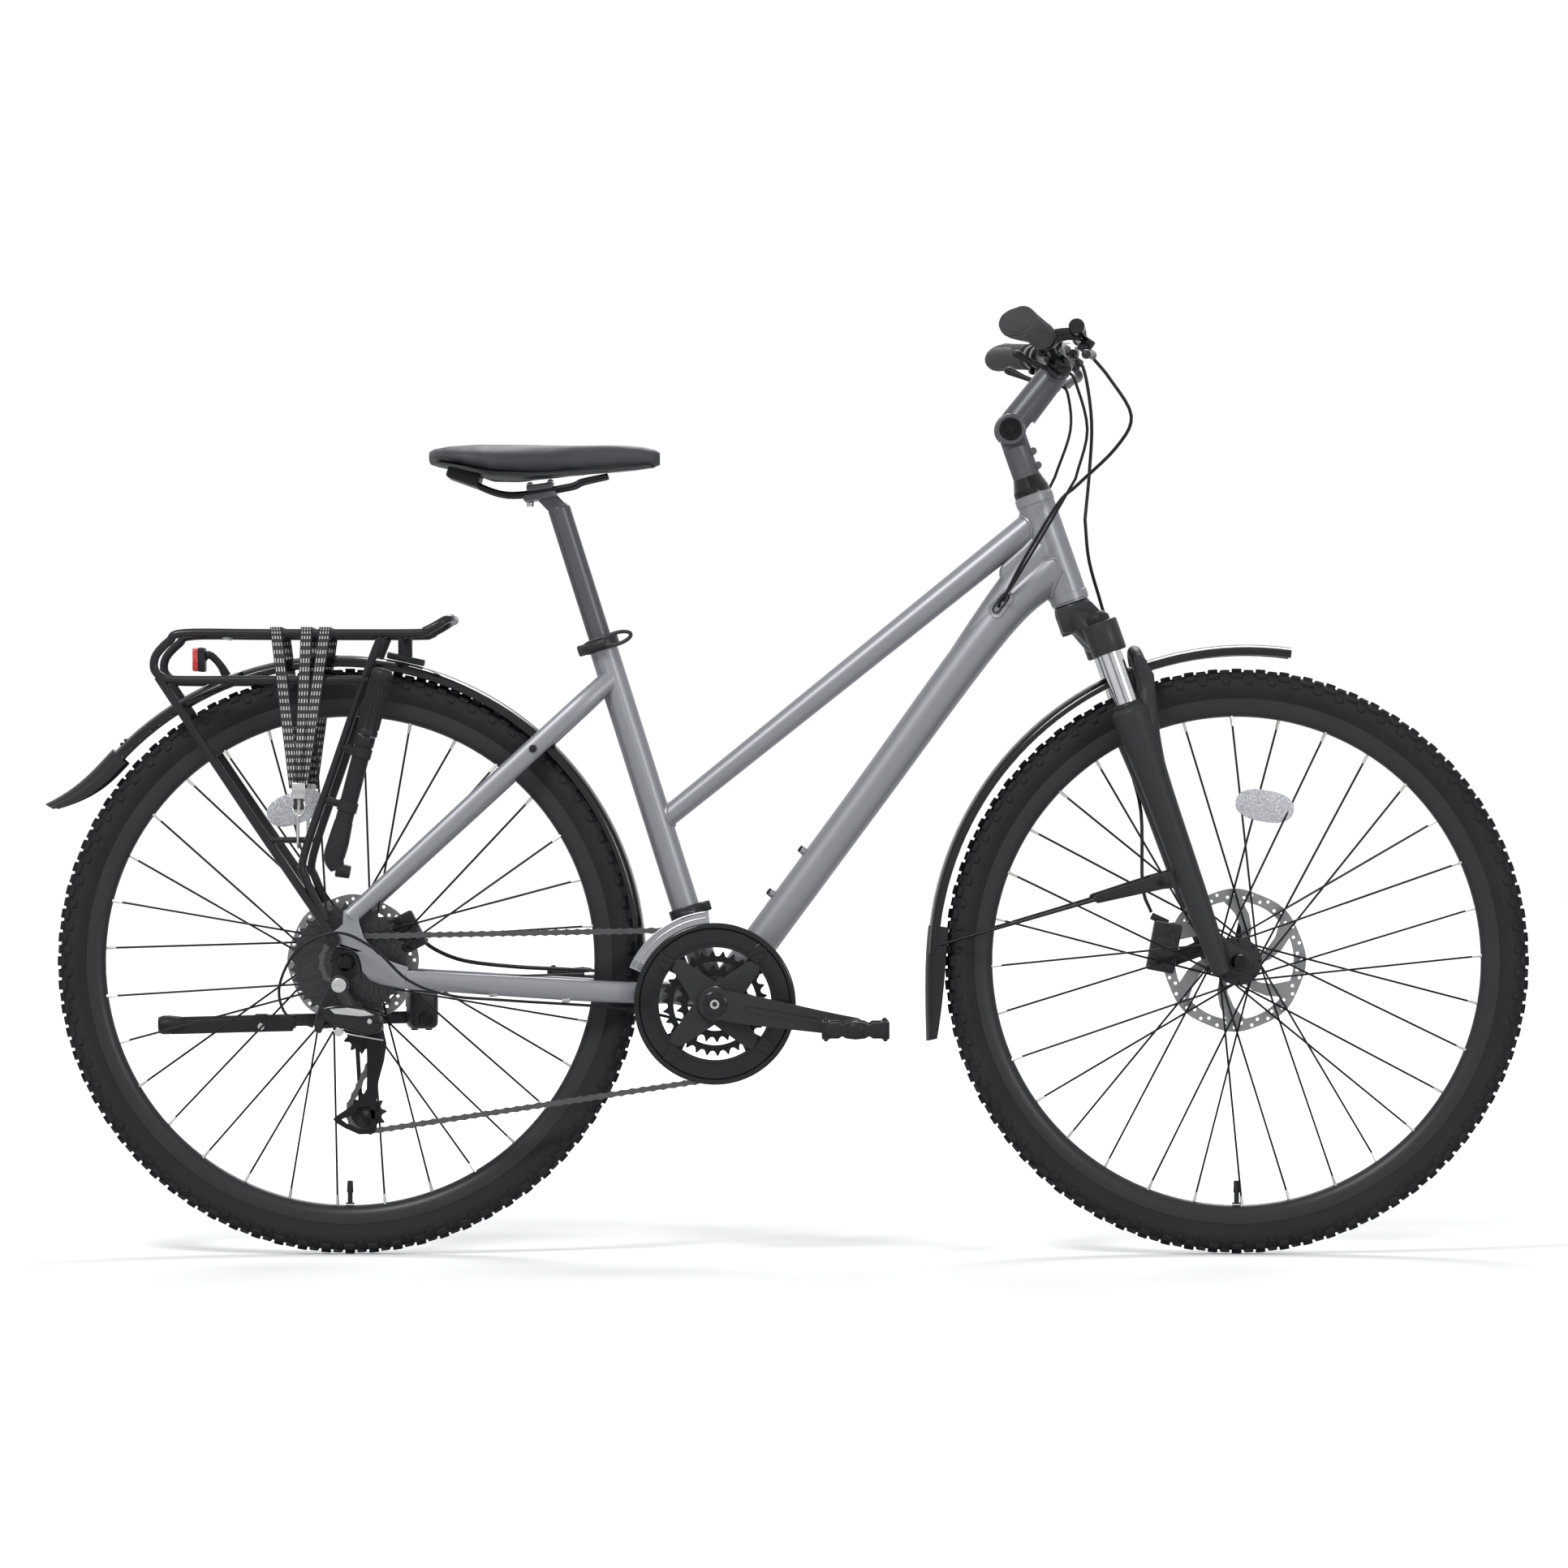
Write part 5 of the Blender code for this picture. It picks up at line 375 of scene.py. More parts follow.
def crossbar(place, start, end, *sizes, **options):
    """A rod straight across the bicycle, from one Y to another."""
    return rod(across(start, place), across(end, place), *sizes, **options)


def block(centre, size, turn=None, soft=0.0015, segments=2):
    """A block with rounded edges."""
    bpy.ops.object.select_all(action="DESELECT")
    turn = Matrix.Identity(3) if turn is None else turn
    bpy.ops.mesh.primitive_cube_add(size=1, location=centre, rotation=turn.to_euler(), scale=size)
    return softened(placed(bpy.context.object), soft, segments)


def ball(centre, radius, scale=(1, 1, 1)):
    bpy.ops.object.select_all(action="DESELECT")
    bpy.ops.mesh.primitive_uv_sphere_add(
        segments=24, ring_count=14, radius=radius, location=centre, scale=scale
    )
    return placed(bpy.context.object)


def turned(profile, centre, direction, sides=72):
    """A turned shape: (radius, height) points spun about an axis through a centre."""
    direction = Vector(direction).normalized()
    bpy.ops.object.select_all(action="DESELECT")
    bpy.ops.mesh.primitive_circle_add(vertices=len(profile), radius=1, fill_type="NOTHING")
    obj = bpy.context.object
    turn = direction.to_track_quat("Z", "Y").to_matrix()
    for vertex, (radius, height) in zip(obj.data.vertices, profile):
        vertex.co = Vector(centre) + turn @ Vector((radius, 0, height))
    on_axis = profile[0][0] == 0 and profile[-1][0] == 0
    for element in [*obj.data.vertices, *obj.data.edges]:
        element.select = False
    only(obj)
    for vertex in (obj.data.vertices[0], obj.data.vertices[-1]):
        vertex.select = on_axis
    bpy.ops.object.mode_set(mode="EDIT")
    bpy.ops.mesh.select_mode(type="VERT")
    if on_axis:
        bpy.ops.mesh.delete(type="EDGE")
    bpy.ops.mesh.select_all(action="SELECT")
    bpy.ops.mesh.spin(steps=sides, angle=2 * math.pi, center=centre, axis=direction)
    bpy.ops.object.mode_set(mode="OBJECT")
    return facing_out(obj)


def tube(points, radius, resolution=5, radii=None, flat=1.0, steps=6, closed=False):
    """A round tube along a smooth line through points; flat squeezes it along Y."""
    bpy.ops.object.select_all(action="DESELECT")
    bpy.ops.curve.primitive_nurbs_path_add()
    obj = bpy.context.object
    curve = obj.data
    curve.splines.clear()
    curve.bevel_depth = radius
    curve.bevel_resolution = resolution
    curve.use_fill_caps = True
    line = [Vector(point) for point in points]
    sizes = list(radii) if radii else [radius] * len(line)
    if steps > 1 and not closed:
        line, sizes = smooth_values(line, steps), smooth_values(sizes, steps)
    spline = curve.splines.new("POLY")
    spline.points.add(len(line) - 1)
    spline.use_cyclic_u = closed
    for point, place, size in zip(spline.points, line, sizes):
        point.co = (place.x, place.y / flat, place.z, 1)
        point.radius = size / radius
    only(obj)
    bpy.ops.object.convert(target="MESH")
    return moved(bpy.context.object, Matrix.Diagonal((1, flat, 1, 1)))


def plate(outlines, y_from, y_to, soft=0.0006, segments=1):
    """A flat plate between two Y values; each outline is (x, z) points, holes after."""
    bpy.ops.object.select_all(action="DESELECT")
    bpy.ops.curve.primitive_bezier_circle_add()
    obj = bpy.context.object
    curve = obj.data
    curve.splines.clear()
    curve.dimensions = "2D"
    curve.fill_mode = "BOTH"
    curve.extrude = abs(y_to - y_from) / 2
    for outline in outlines:
        spline = curve.splines.new("POLY")
        spline.points.add(len(outline) - 1)
        spline.use_cyclic_u = True
        for point, (x, z) in zip(spline.points, outline):
            point.co = (x, z, 0, 1)
    only(obj)
    bpy.ops.object.convert(target="MESH")
    upright = Matrix(((1, 0, 0, 0), (0, 0, -1, (y_from + y_to) / 2), (0, 1, 0, 0), (0, 0, 0, 1)))
    obj = moved(bpy.context.object, upright)
    facing_out(obj)
    return softened(obj, soft, segments) if soft else obj


def together(pieces):
    """Pieces as separate shells of one object."""
    first = only(*pieces)
    if len(pieces) > 1:
        bpy.ops.object.join()
    return first


def combined(base, others, operation):
    """Joins or cuts a base piece with the others, which are removed."""
    tool = together(others)
    boolean = base.modifiers.new("combine", "BOOLEAN")
    boolean.operation = operation
    boolean.solver = "EXACT"
    boolean.use_self = True
    boolean.object = tool
    apply_modifier(base, "combine")
    bpy.data.objects.remove(tool, do_unlink=True)
    return base


def joined(pieces):
    return combined(pieces[0], pieces[1:], "UNION")


def cut(base, cutters):
    return combined(base, cutters, "DIFFERENCE")


def copied(obj, matrix):
    """A copy with its own mesh, moved by a matrix."""
    twin = obj.copy()
    twin.data = obj.data.copy()
    bpy.context.collection.objects.link(twin)
    return moved(twin, matrix)


def mirrored(obj):
    """The same piece on the other side of the bicycle."""
    return copied(obj, Matrix.Diagonal((1, -1, 1, 1)))


def around(centre, axis, degrees):
    """A turn about an axis through a centre."""
    centre = Vector(centre)
    turn = Matrix.Rotation(math.radians(degrees), 4, Vector(axis))
    return Matrix.Translation(centre) @ turn @ Matrix.Translation(-centre)


def dressed(shells, name, look, node=None, replaces=True, smooth=38):
    """Names a piece, gives it its finish, and puts it on its node's body in that node's place.

    A list of shells becomes one piece, and a piece with no node given has its node's own name.
    """
    obj = together(shells) if isinstance(shells, list) else shells
    obj.name = name if node else f"{name}_detailed"
    node = node or name
    obj.data.name = obj.name
    obj.data.materials.clear()
    obj.data.materials.append(LOOKS[look])
    only(obj)
    bpy.ops.object.shade_smooth_by_angle(angle=math.radians(smooth))
    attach(obj, BODY_OF[node])
    if replaces:
        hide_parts(node)
    return obj


def dressed_pair(shells, name, look):
    """The left piece from its shells, and its mirror image on the right."""
    left = together(shells)
    right = mirrored(left)
    dressed(left, f"left_{name}", look)
    dressed(right, f"right_{name}", look)


# Materials

class Value:
    """A shader socket that takes arithmetic: each sum adds its Math node."""

    def __init__(self, finish, socket):
        self.finish, self.socket = finish, socket

    def combine(self, operation, *values):
        values = [value.socket if isinstance(value, Value) else value for value in values]
        node = self.finish.node("ShaderNodeMath", {"operation": operation}, *values)
        return Value(self.finish, node.outputs[0])

    def then(self, operation, *others):
        return self.combine(operation, self, *others)

    def __add__(self, other):
        return self.then("ADD", other)

    def __sub__(self, other):
        return self.then("SUBTRACT", other)

    def __rsub__(self, other):
        return self.combine("SUBTRACT", other, self)

    def __mul__(self, other):
        return self.then("MULTIPLY", other)

    def __gt__(self, other):
        return self.then("GREATER_THAN", other)

    def wave(self):
        """Swings between -1 and 1 as the value grows by a full turn."""
        return self.then("SINE")

    __radd__, __rmul__ = __add__, __mul__


class Finish:
    """One procedural material, built on its Principled shader."""

    def __init__(self, name, roughness, metallic=0.0, **constants):
        self.material = bpy.data.materials.new(name)
        self.material.use_nodes = True
        self.tree = self.material.node_tree
        self.shader = self.tree.nodes["Principled BSDF"]
        self.shader.inputs["Roughness"].default_value = roughness
        self.shader.inputs["Metallic"].default_value = metallic
        for socket, number in constants.items():
            self.shader.inputs[socket.replace("_", " ")].default_value = number

    def node(self, kind, settings, *values, **named):
        """Adds a node: settings first, then its sockets' values or links."""
        node = self.tree.nodes.new(kind)
        for key, setting in settings.items():
            setattr(node, key, setting)
        for key, value in [*enumerate(values), *named.items()]:
            socket = node.inputs[key if isinstance(key, int) else key.replace("_", " ")]
            value = value.socket if isinstance(value, Value) else value
            if isinstance(value, bpy.types.NodeSocket):
                self.tree.links.new(value, socket)
            else:
                socket.default_value = value
        return node

    def place(self, centre=(0, 0, 0), scale=(1, 1, 1)):
        """Object coordinates, centred and stretched for a pattern."""
        coordinates = self.node("ShaderNodeTexCoord", {})
        shift = [-value * size for value, size in zip(centre, scale)]
        mapping = self.node(
            "ShaderNodeMapping", {}, coordinates.outputs["Object"], Location=shift, Scale=scale
        )
        return mapping.outputs[0]

    def axes(self, place):
        split = self.node("ShaderNodeSeparateXYZ", {}, place)
        return [Value(self, socket) for socket in split.outputs]

    def noise(self, scale, detail=4.0, place=None):
        node = self.node(
            "ShaderNodeTexNoise", {}, Vector=place or self.place(), Scale=scale, Detail=detail
        )
        return Value(self, node.outputs[0])

    def cells(self, scale, place=None, feature="F1"):
        node = self.node(
            "ShaderNodeTexVoronoi", {"feature": feature}, Vector=place or self.place(), Scale=scale
        )
        return Value(self, node.outputs["Distance"])

    def colour(self, factor, first, second):
        """Mixes two colours, or what is already mixed, by a factor."""
        node = self.node("ShaderNodeMix", {"data_type": "RGBA", "clamp_factor": True})
        self.link(factor, node.inputs[0])
        for value, socket in ((first, node.inputs[6]), (second, node.inputs[7])):
            self.link(value if not isinstance(value, tuple) else (*value[:3], 1.0), socket)
        return node.outputs[2]

    def link(self, value, socket):
        value = value.socket if isinstance(value, Value) else value
        if isinstance(value, bpy.types.NodeSocket):
            self.tree.links.new(value, socket)
        else:
            socket.default_value = value

    def set(self, socket, value):
        self.link(value, self.shader.inputs[socket])

    def bump(self, height, strength, distance):
        node = self.node("ShaderNodeBump", {}, Height=height, Strength=strength, Distance=distance)
        self.set("Normal", node.outputs[0])


def tint(colour, amount):
    """A colour made lighter or darker by a share."""
    return tuple(min(1.0, channel * amount) for channel in colour[:3])


def plain_coat(name, colour, roughness, metallic=0.0, grain=700.0, relief=0.12, **constants):
    """A painted, anodised or moulded surface with a fine grain and slight unevenness."""
    look = Finish(name, roughness, metallic, **constants)
    cloud, fine = look.noise(9.0), look.noise(grain, 2.0)
    look.set("Base Color", look.colour(cloud * 0.6 + fine * 0.4, tint(colour, 0.8), tint(colour, 1.22)))
    look.set("Roughness", roughness + (cloud - 0.5) * roughness * 0.35 + (fine - 0.5) * 0.08)
    look.bump(fine, relief, 0.0003)
    return look.material


def titanium_paint():
    """Satin metallic grey: fine flake under a thin coat."""
    colour = tuple(bpy.context.scene.bicycle_colours.frame)
    look = Finish("satin_titanium_paint", 0.4, 0.35, Specular_IOR_Level=0.3, Coat_Weight=0.1,
                  Coat_Roughness=0.25)
    cloud, flake = look.noise(5.0), look.noise(5200.0, 1.0)
    look.set("Base Color", look.colour(cloud * 0.85 + flake * 0.15, tint(colour, 0.93), tint(colour, 1.07)))
    look.set("Roughness", 0.4 + (cloud - 0.5) * 0.08 + (flake - 0.5) * 0.04)
    look.bump(flake, 0.008, 0.0001)
    return look.material


def tyre_rubber(axle):
    """Black rubber with moulded rings on the sidewall and a slightly uneven tone."""
    colour = tuple(bpy.context.scene.bicycle_colours.tyre)
    look = Finish(f"tyre_rubber_{'front' if axle.x > 0 else 'rear'}", 0.78, Specular_IOR_Level=0.07)
    across_wheel, _, height = look.axes(look.place(axle))
    radius = (across_wheel * across_wheel + height * height).then("SQRT")
    rings = (radius * (2 * math.pi / 0.0022)).wave()
    wall = radius.then("LESS_THAN", TYRE_RADIUS - 0.012)
    fine, cloud = look.noise(1400.0, 3.0), look.noise(12.0)
    look.set("Base Color", look.colour(cloud * 0.7 + fine * 0.3, tint(colour, 0.75), tint(colour, 1.35)))
    look.set("Roughness", 0.7 + fine * 0.12 + cloud * 0.06)
    look.bump(rings * wall * 0.35 + fine * 0.65, 0.35, 0.0004)
    return look.material


def grip_rubber():
    colour = tuple(bpy.context.scene.bicycle_colours.grip)
    look = Finish("ribbed_grip_rubber", 0.72, Specular_IOR_Level=0.3)
    fine = look.noise(1500.0, 3.0)
    dots = look.cells(420.0)
    look.set("Base Color", look.colour(fine, tint(colour, 0.75), tint(colour, 1.3)))
    look.set("Roughness", 0.66 + fine * 0.16)
    look.bump(dots * 0.7 + fine * 0.3, 0.35, 0.0004)
    return look.material


def metal(name, colour, roughness, stretch=(1, 1, 1), wear=0.25):
    """Bare, plated or blued steel with fine lines and some grime."""
    look = Finish(name, roughness, 1.0)
    lines = look.noise(900.0, 3.0, look.place(scale=stretch))
    cloud = look.noise(30.0)
    look.set("Base Color",
             look.colour(cloud * wear + lines * (1 - wear), tint(colour, 0.78), tint(colour, 1.15)))
    look.set("Roughness", roughness + (lines - 0.5) * roughness * 0.5 + (cloud - 0.5) * wear * 0.3)
    look.bump(lines, 0.06, 0.0002)
    return look.material


def chrome():
    look = Finish("polished_chrome", 0.07, 1.0)
    cloud = look.noise(40.0)
    look.set("Base Color", look.colour(cloud, (0.42, 0.43, 0.45), (0.6, 0.61, 0.63)))
    look.set("Roughness", 0.05 + cloud * 0.06)
    return look.material


def strap_webbing():
    """Black woven elastic with two rows of pale dashes along each band."""
    look = Finish("elastic_strap_webbing", 0.85)
    grid = look.node("ShaderNodeUVMap", {"uv_map": "UVMap"})
    along, width, _ = look.axes(grid.outputs[0])
    rib = (along * (2 * math.pi * 150)).wave() * (width * (2 * math.pi * 7)).wave()
    dash = (along * 90.0).then("FRACT") > 0.5
    column = (width * 4.0).then("FRACT")
    row = (column > 0.3) * (1 - (column > 0.72)) * (width > 0.1) * (1 - (width > 0.9))
    pale = dash * row
    black = look.colour(look.noise(1800.0), (0.01, 0.01, 0.011), (0.032, 0.032, 0.034))
    look.set("Base Color", look.colour(pale, black, (0.5, 0.5, 0.49)))
    look.bump(rib, 0.5, 0.0003)
    return look.material


def saddle_vinyl():
    """Black grained vinyl with a soft sheen."""
    colour = tuple(bpy.context.scene.bicycle_colours.saddle)
    look = Finish("saddle_vinyl", 0.52, Specular_IOR_Level=0.2)
    grain, cloud = look.cells(620.0, feature="DISTANCE_TO_EDGE"), look.noise(25.0)
    look.set("Base Color", look.colour(cloud * 0.6 + grain * 0.4, tint(colour, 0.75), tint(colour, 1.45)))
    look.set("Roughness", 0.44 + cloud * 0.12 + grain * 0.1)
    look.bump(grain, 0.35, 0.0005)
    return look.material


def lens_plastic(name, colour, roughness=0.12):
    """A moulded lens with small prisms behind its face."""
    look = Finish(name, roughness, Coat_Weight=0.8, Coat_Roughness=0.05)
    prisms = look.cells(420.0, feature="DISTANCE_TO_EDGE")
    shade = look.noise(60.0)
    look.set("Base Color", look.colour(prisms * 3.0 + shade * 0.3, tint(colour, 0.45), tint(colour, 1.25)))
    look.set("Roughness", roughness + shade * 0.08)
    look.bump(prisms, 0.6, 0.0012)
    return look.material


def make_looks():
    """Every finish, made once and shared by the pieces that carry it."""
    black = tuple(bpy.context.scene.bicycle_colours.black)
    lens = tuple(bpy.context.scene.bicycle_colours.lamp)
    return {
        "paint": titanium_paint(),
        "anodised": plain_coat("satin_black_anodising", tint(black, 2.7), 0.34, 0.3, 1200.0, 0.04,
                               Specular_IOR_Level=0.2),
        "satin": plain_coat("satin_black_coat", tint(black, 0.9), 0.34, 0.0, 1200.0, 0.05,
                            Specular_IOR_Level=0.16),
        "painted": plain_coat("black_painted_steel", tint(black, 0.6), 0.24, 0.0, 400.0, 0.03,
                              Specular_IOR_Level=0.18),
        "gloss": plain_coat("gloss_black_plastic", tint(black, 0.25), 0.13, 0.0, 90.0, 0.02,
                            Specular_IOR_Level=0.3),
        "matte": plain_coat("matte_black_casting", tint(black, 1.0), 0.46, 0.0, 900.0, 0.12,
                            Specular_IOR_Level=0.12),
        "amber": lens_plastic("amber_reflector", (0.8, 0.26, 0.02)),
        "plastic": plain_coat("moulded_black_plastic", tint(black, 0.7), 0.4, 0.0, 1100.0, 0.12,
                              Specular_IOR_Level=0.12),
        "sheath": plain_coat("cable_sheath", tint(black, 0.4), 0.3, 0.0, 500.0, 0.05,
                             Specular_IOR_Level=0.16),
        "front_tyre": tyre_rubber(FRONT_AXLE),
        "rear_tyre": tyre_rubber(REAR_AXLE),
        "grip": grip_rubber(),
        "silver": metal("brushed_silver_steel", (0.5, 0.5, 0.5), 0.25),
        "rotor": metal("ground_rotor_steel", (0.27, 0.27, 0.28), 0.3, (1, 8, 1)),
        "cage_steel": metal("satin_cage_steel", (0.33, 0.34, 0.36), 0.34, wear=0.5),
        "spoke": plain_coat("blackened_spokes", tint(black, 0.3), 0.35, 0.0, 900.0, 0.03,
                            Specular_IOR_Level=0.1),
        "nipple": metal("bright_nipple_brass", (0.55, 0.55, 0.54), 0.22),
        "dark": metal("dark_steel", (0.055, 0.055, 0.058), 0.34, wear=0.5),
        "chain": metal("oiled_chain_steel", (0.105, 0.105, 0.107), 0.3, wear=0.6),
        "black_steel": metal("blackened_steel", (0.022, 0.022, 0.024), 0.36),
        "chrome": chrome(),
        "strap": strap_webbing(),
        "vinyl": saddle_vinyl(),
        "red": lens_plastic("red_lens", lens),
        "clear": lens_plastic("clear_reflector", (0.46, 0.46, 0.5)),
    }


LOOKS = {}


# Frame

def chainstay(side):
    """One chainstay, from the bottom bracket shell to its dropout."""
    bb = BOTTOM_BRACKET
    foot = from_rear_axle(0.07, side * (REAR_HUB_WIDTH / 2 + DROPOUT_THICKNESS / 2), -0.021)
    points = [
        Vector((bb.x - 0.006, side * 0.026, bb.z + 0.011)),
        Vector((bb.x - 0.055, side * 0.0285, bb.z + 0.012)),
        Vector((bb.x - 0.108, side * 0.0365, bb.z + 0.013)),
        Vector((bb.x - 0.2, side * 0.048, bb.z + 0.018)),
        foot,
    ]
    radii = [CHAINSTAY_RADIUS] * 4 + [CHAINSTAY_RADIUS * 0.86]
    return tube(points, CHAINSTAY_RADIUS, 7, radii, STAY_FLATTENING)


def seatstay_ends(side):
    top = seat_line(SEAT_TUBE_LENGTH - 0.05, 0, side * 0.009)
    foot = from_rear_axle(0.003, side * (REAR_HUB_WIDTH / 2 + DROPOUT_THICKNESS / 2), 0.053)
    return top, foot


def seatstay(side):
    """One seatstay, bowed outwards past the mudguard."""
    top, foot = seatstay_ends(side)
    run = foot - top
    points = [
        top,
        across(side * 0.029, top + run * 0.11),
        across(side * 0.037, top + run * 0.24),
        across(side * 0.047, top + run * 0.5),
        foot,
    ]
    radii = [SEATSTAY_RADIUS] * 4 + [SEATSTAY_RADIUS * 0.82]
    return tube(points, SEATSTAY_RADIUS, 7, radii, STAY_FLATTENING)


def seatstay_bridge():
    """The bridge between the seatstays, which the rear mudguard hangs from."""
    radius = 0.0065
    reach = REAR_GUARD_RADIUS + GAP + radius
    top, foot = (across(0, point) for point in seatstay_ends(1))
    run, offset = foot - top, top - rear_guard_centre()
    square, half = run.length_squared, offset.dot(run)
    root = math.sqrt(half**2 - square * (offset.length_squared - reach**2))
    middle = top + run * (-half - root) / square
    return crossbar(middle, -0.037, 0.037, radius, 24)


def dropout(side):
    """The plate that joins the stays round the axle, with the hanger on the right."""
    inner = side * (REAR_HUB_WIDTH / 2 + GAP)
    outer = inner + side * DROPOUT_THICKNESS
    if side < 0:
        outline = [
            (-0.02, 0.032), (-0.017, 0.036), (-0.01, 0.04), (-0.004, 0.046), (-0.003, 0.062), (0.013, 0.063),
            (0.016, 0.046), (0.021, 0.03), (0.037, 0.01), (0.056, 0.0), (0.074, -0.006), (0.074, -0.032),
            (0.043, -0.027), (0.028, -0.021), (0.0195, -0.011), (0.0175, 0.0), (0.014, 0.009),
            (0.006, 0.0155), (-0.002, 0.0175), (-0.012, 0.0185), (-0.018, 0.026),
        ]
    else:
        outline = [
            (-0.024, 0.028), (-0.022, 0.034), (-0.015, 0.039), (-0.008, 0.042), (-0.006, 0.062),
            (0.013, 0.063), (0.017, 0.046), (0.03, 0.052), (0.06, 0.052), (0.066, 0.006), (0.074, -0.008),
            (0.074, -0.033), (0.04, -0.032), (0.026, -0.025), (0.016, -0.017), (0.004, -0.0145),
            (-0.01, -0.012), (-0.015, 0.004),
        ]
    return plate([about_rear_axle(outline)], inner, outer, 0.0012, 2)


def hanger():
    """The black plate in the right dropout, which holds the axle and the rear derailleur."""
    inner = REAR_HUB_WIDTH / 2 + GAP + 0.0004
    outline = [
        (-0.013, 0.017), (-0.002, 0.0165), (0.006, 0.0145), (0.013, 0.0085), (0.0165, 0.0), (0.0185, -0.0105),
        (0.01, -0.0165), (0.004, -0.019), (-0.001, -0.0385), (-0.008, -0.0405), (-0.016, -0.0385),
        (-0.018, -0.02), (-0.016, 0.004),
    ]
    bore = ring(REAR_AXLE, AXLE_RADIUS + GAP, 24)
    return plate([about_rear_axle(outline), bore], -inner, -inner - DROPOUT_THICKNESS + 0.0014, 0.0008)


def down_tube_run():
    """The down tube's direction up from the bottom bracket, and its upper normal."""
    run = Vector((math.cos(DOWN_TUBE_ANGLE), 0, math.sin(DOWN_TUBE_ANGLE)))
    return run, Vector((-run.z, 0, run.x))


def cable_port_outline(grow=0.0):
    """The slot on each side of the down tube where the cables go in."""
    run, normal = down_tube_run()
    centre = BOTTOM_BRACKET + run * (DOWN_TUBE_BEND + 0.026) + normal * 0.0088
    return capsule(centre - run * 0.009, centre + run * 0.009, 0.0062 + grow, 0.0062 + grow, 8)


def on_down_tube(obj, side):
    """Lays a thin flat piece on the side of the down tube near its cable port."""
    _, normal = down_tube_run()
    for vertex in obj.data.vertices:
        height = (vertex.co - BOTTOM_BRACKET).dot(normal)
        wall = math.sqrt(max(0.0, 0.024**2 - height**2))
        vertex.co.y = side * (wall - 0.001 + vertex.co.y)
    return facing_out(obj)


def weld(start, run, radius, other, other_run, other_radius, bead=0.0024):
    """The bead where a round tube meets another round tube's wall."""
    start, run = Vector(start), Vector(run).normalized()
    other, other_run = Vector(other), Vector(other_run).normalized()
    side = run.cross(other_run).normalized()
    lift = side.cross(run)
    points = []
    for step in range(64):
        angle = 2 * math.pi * step / 64
        foot = start + (side * math.cos(angle) + lift * math.sin(angle)) * radius
        offset = foot - other
        offset -= other_run * offset.dot(other_run)
        flat = run - other_run * run.dot(other_run)
        square, half = flat.length_squared, offset.dot(flat)
        inside = half**2 - square * (offset.length_squared - other_radius**2)
        points.append(foot + run * (-half - math.sqrt(max(0, inside))) / square)
    return tube(points, bead, 2, closed=True, steps=1)


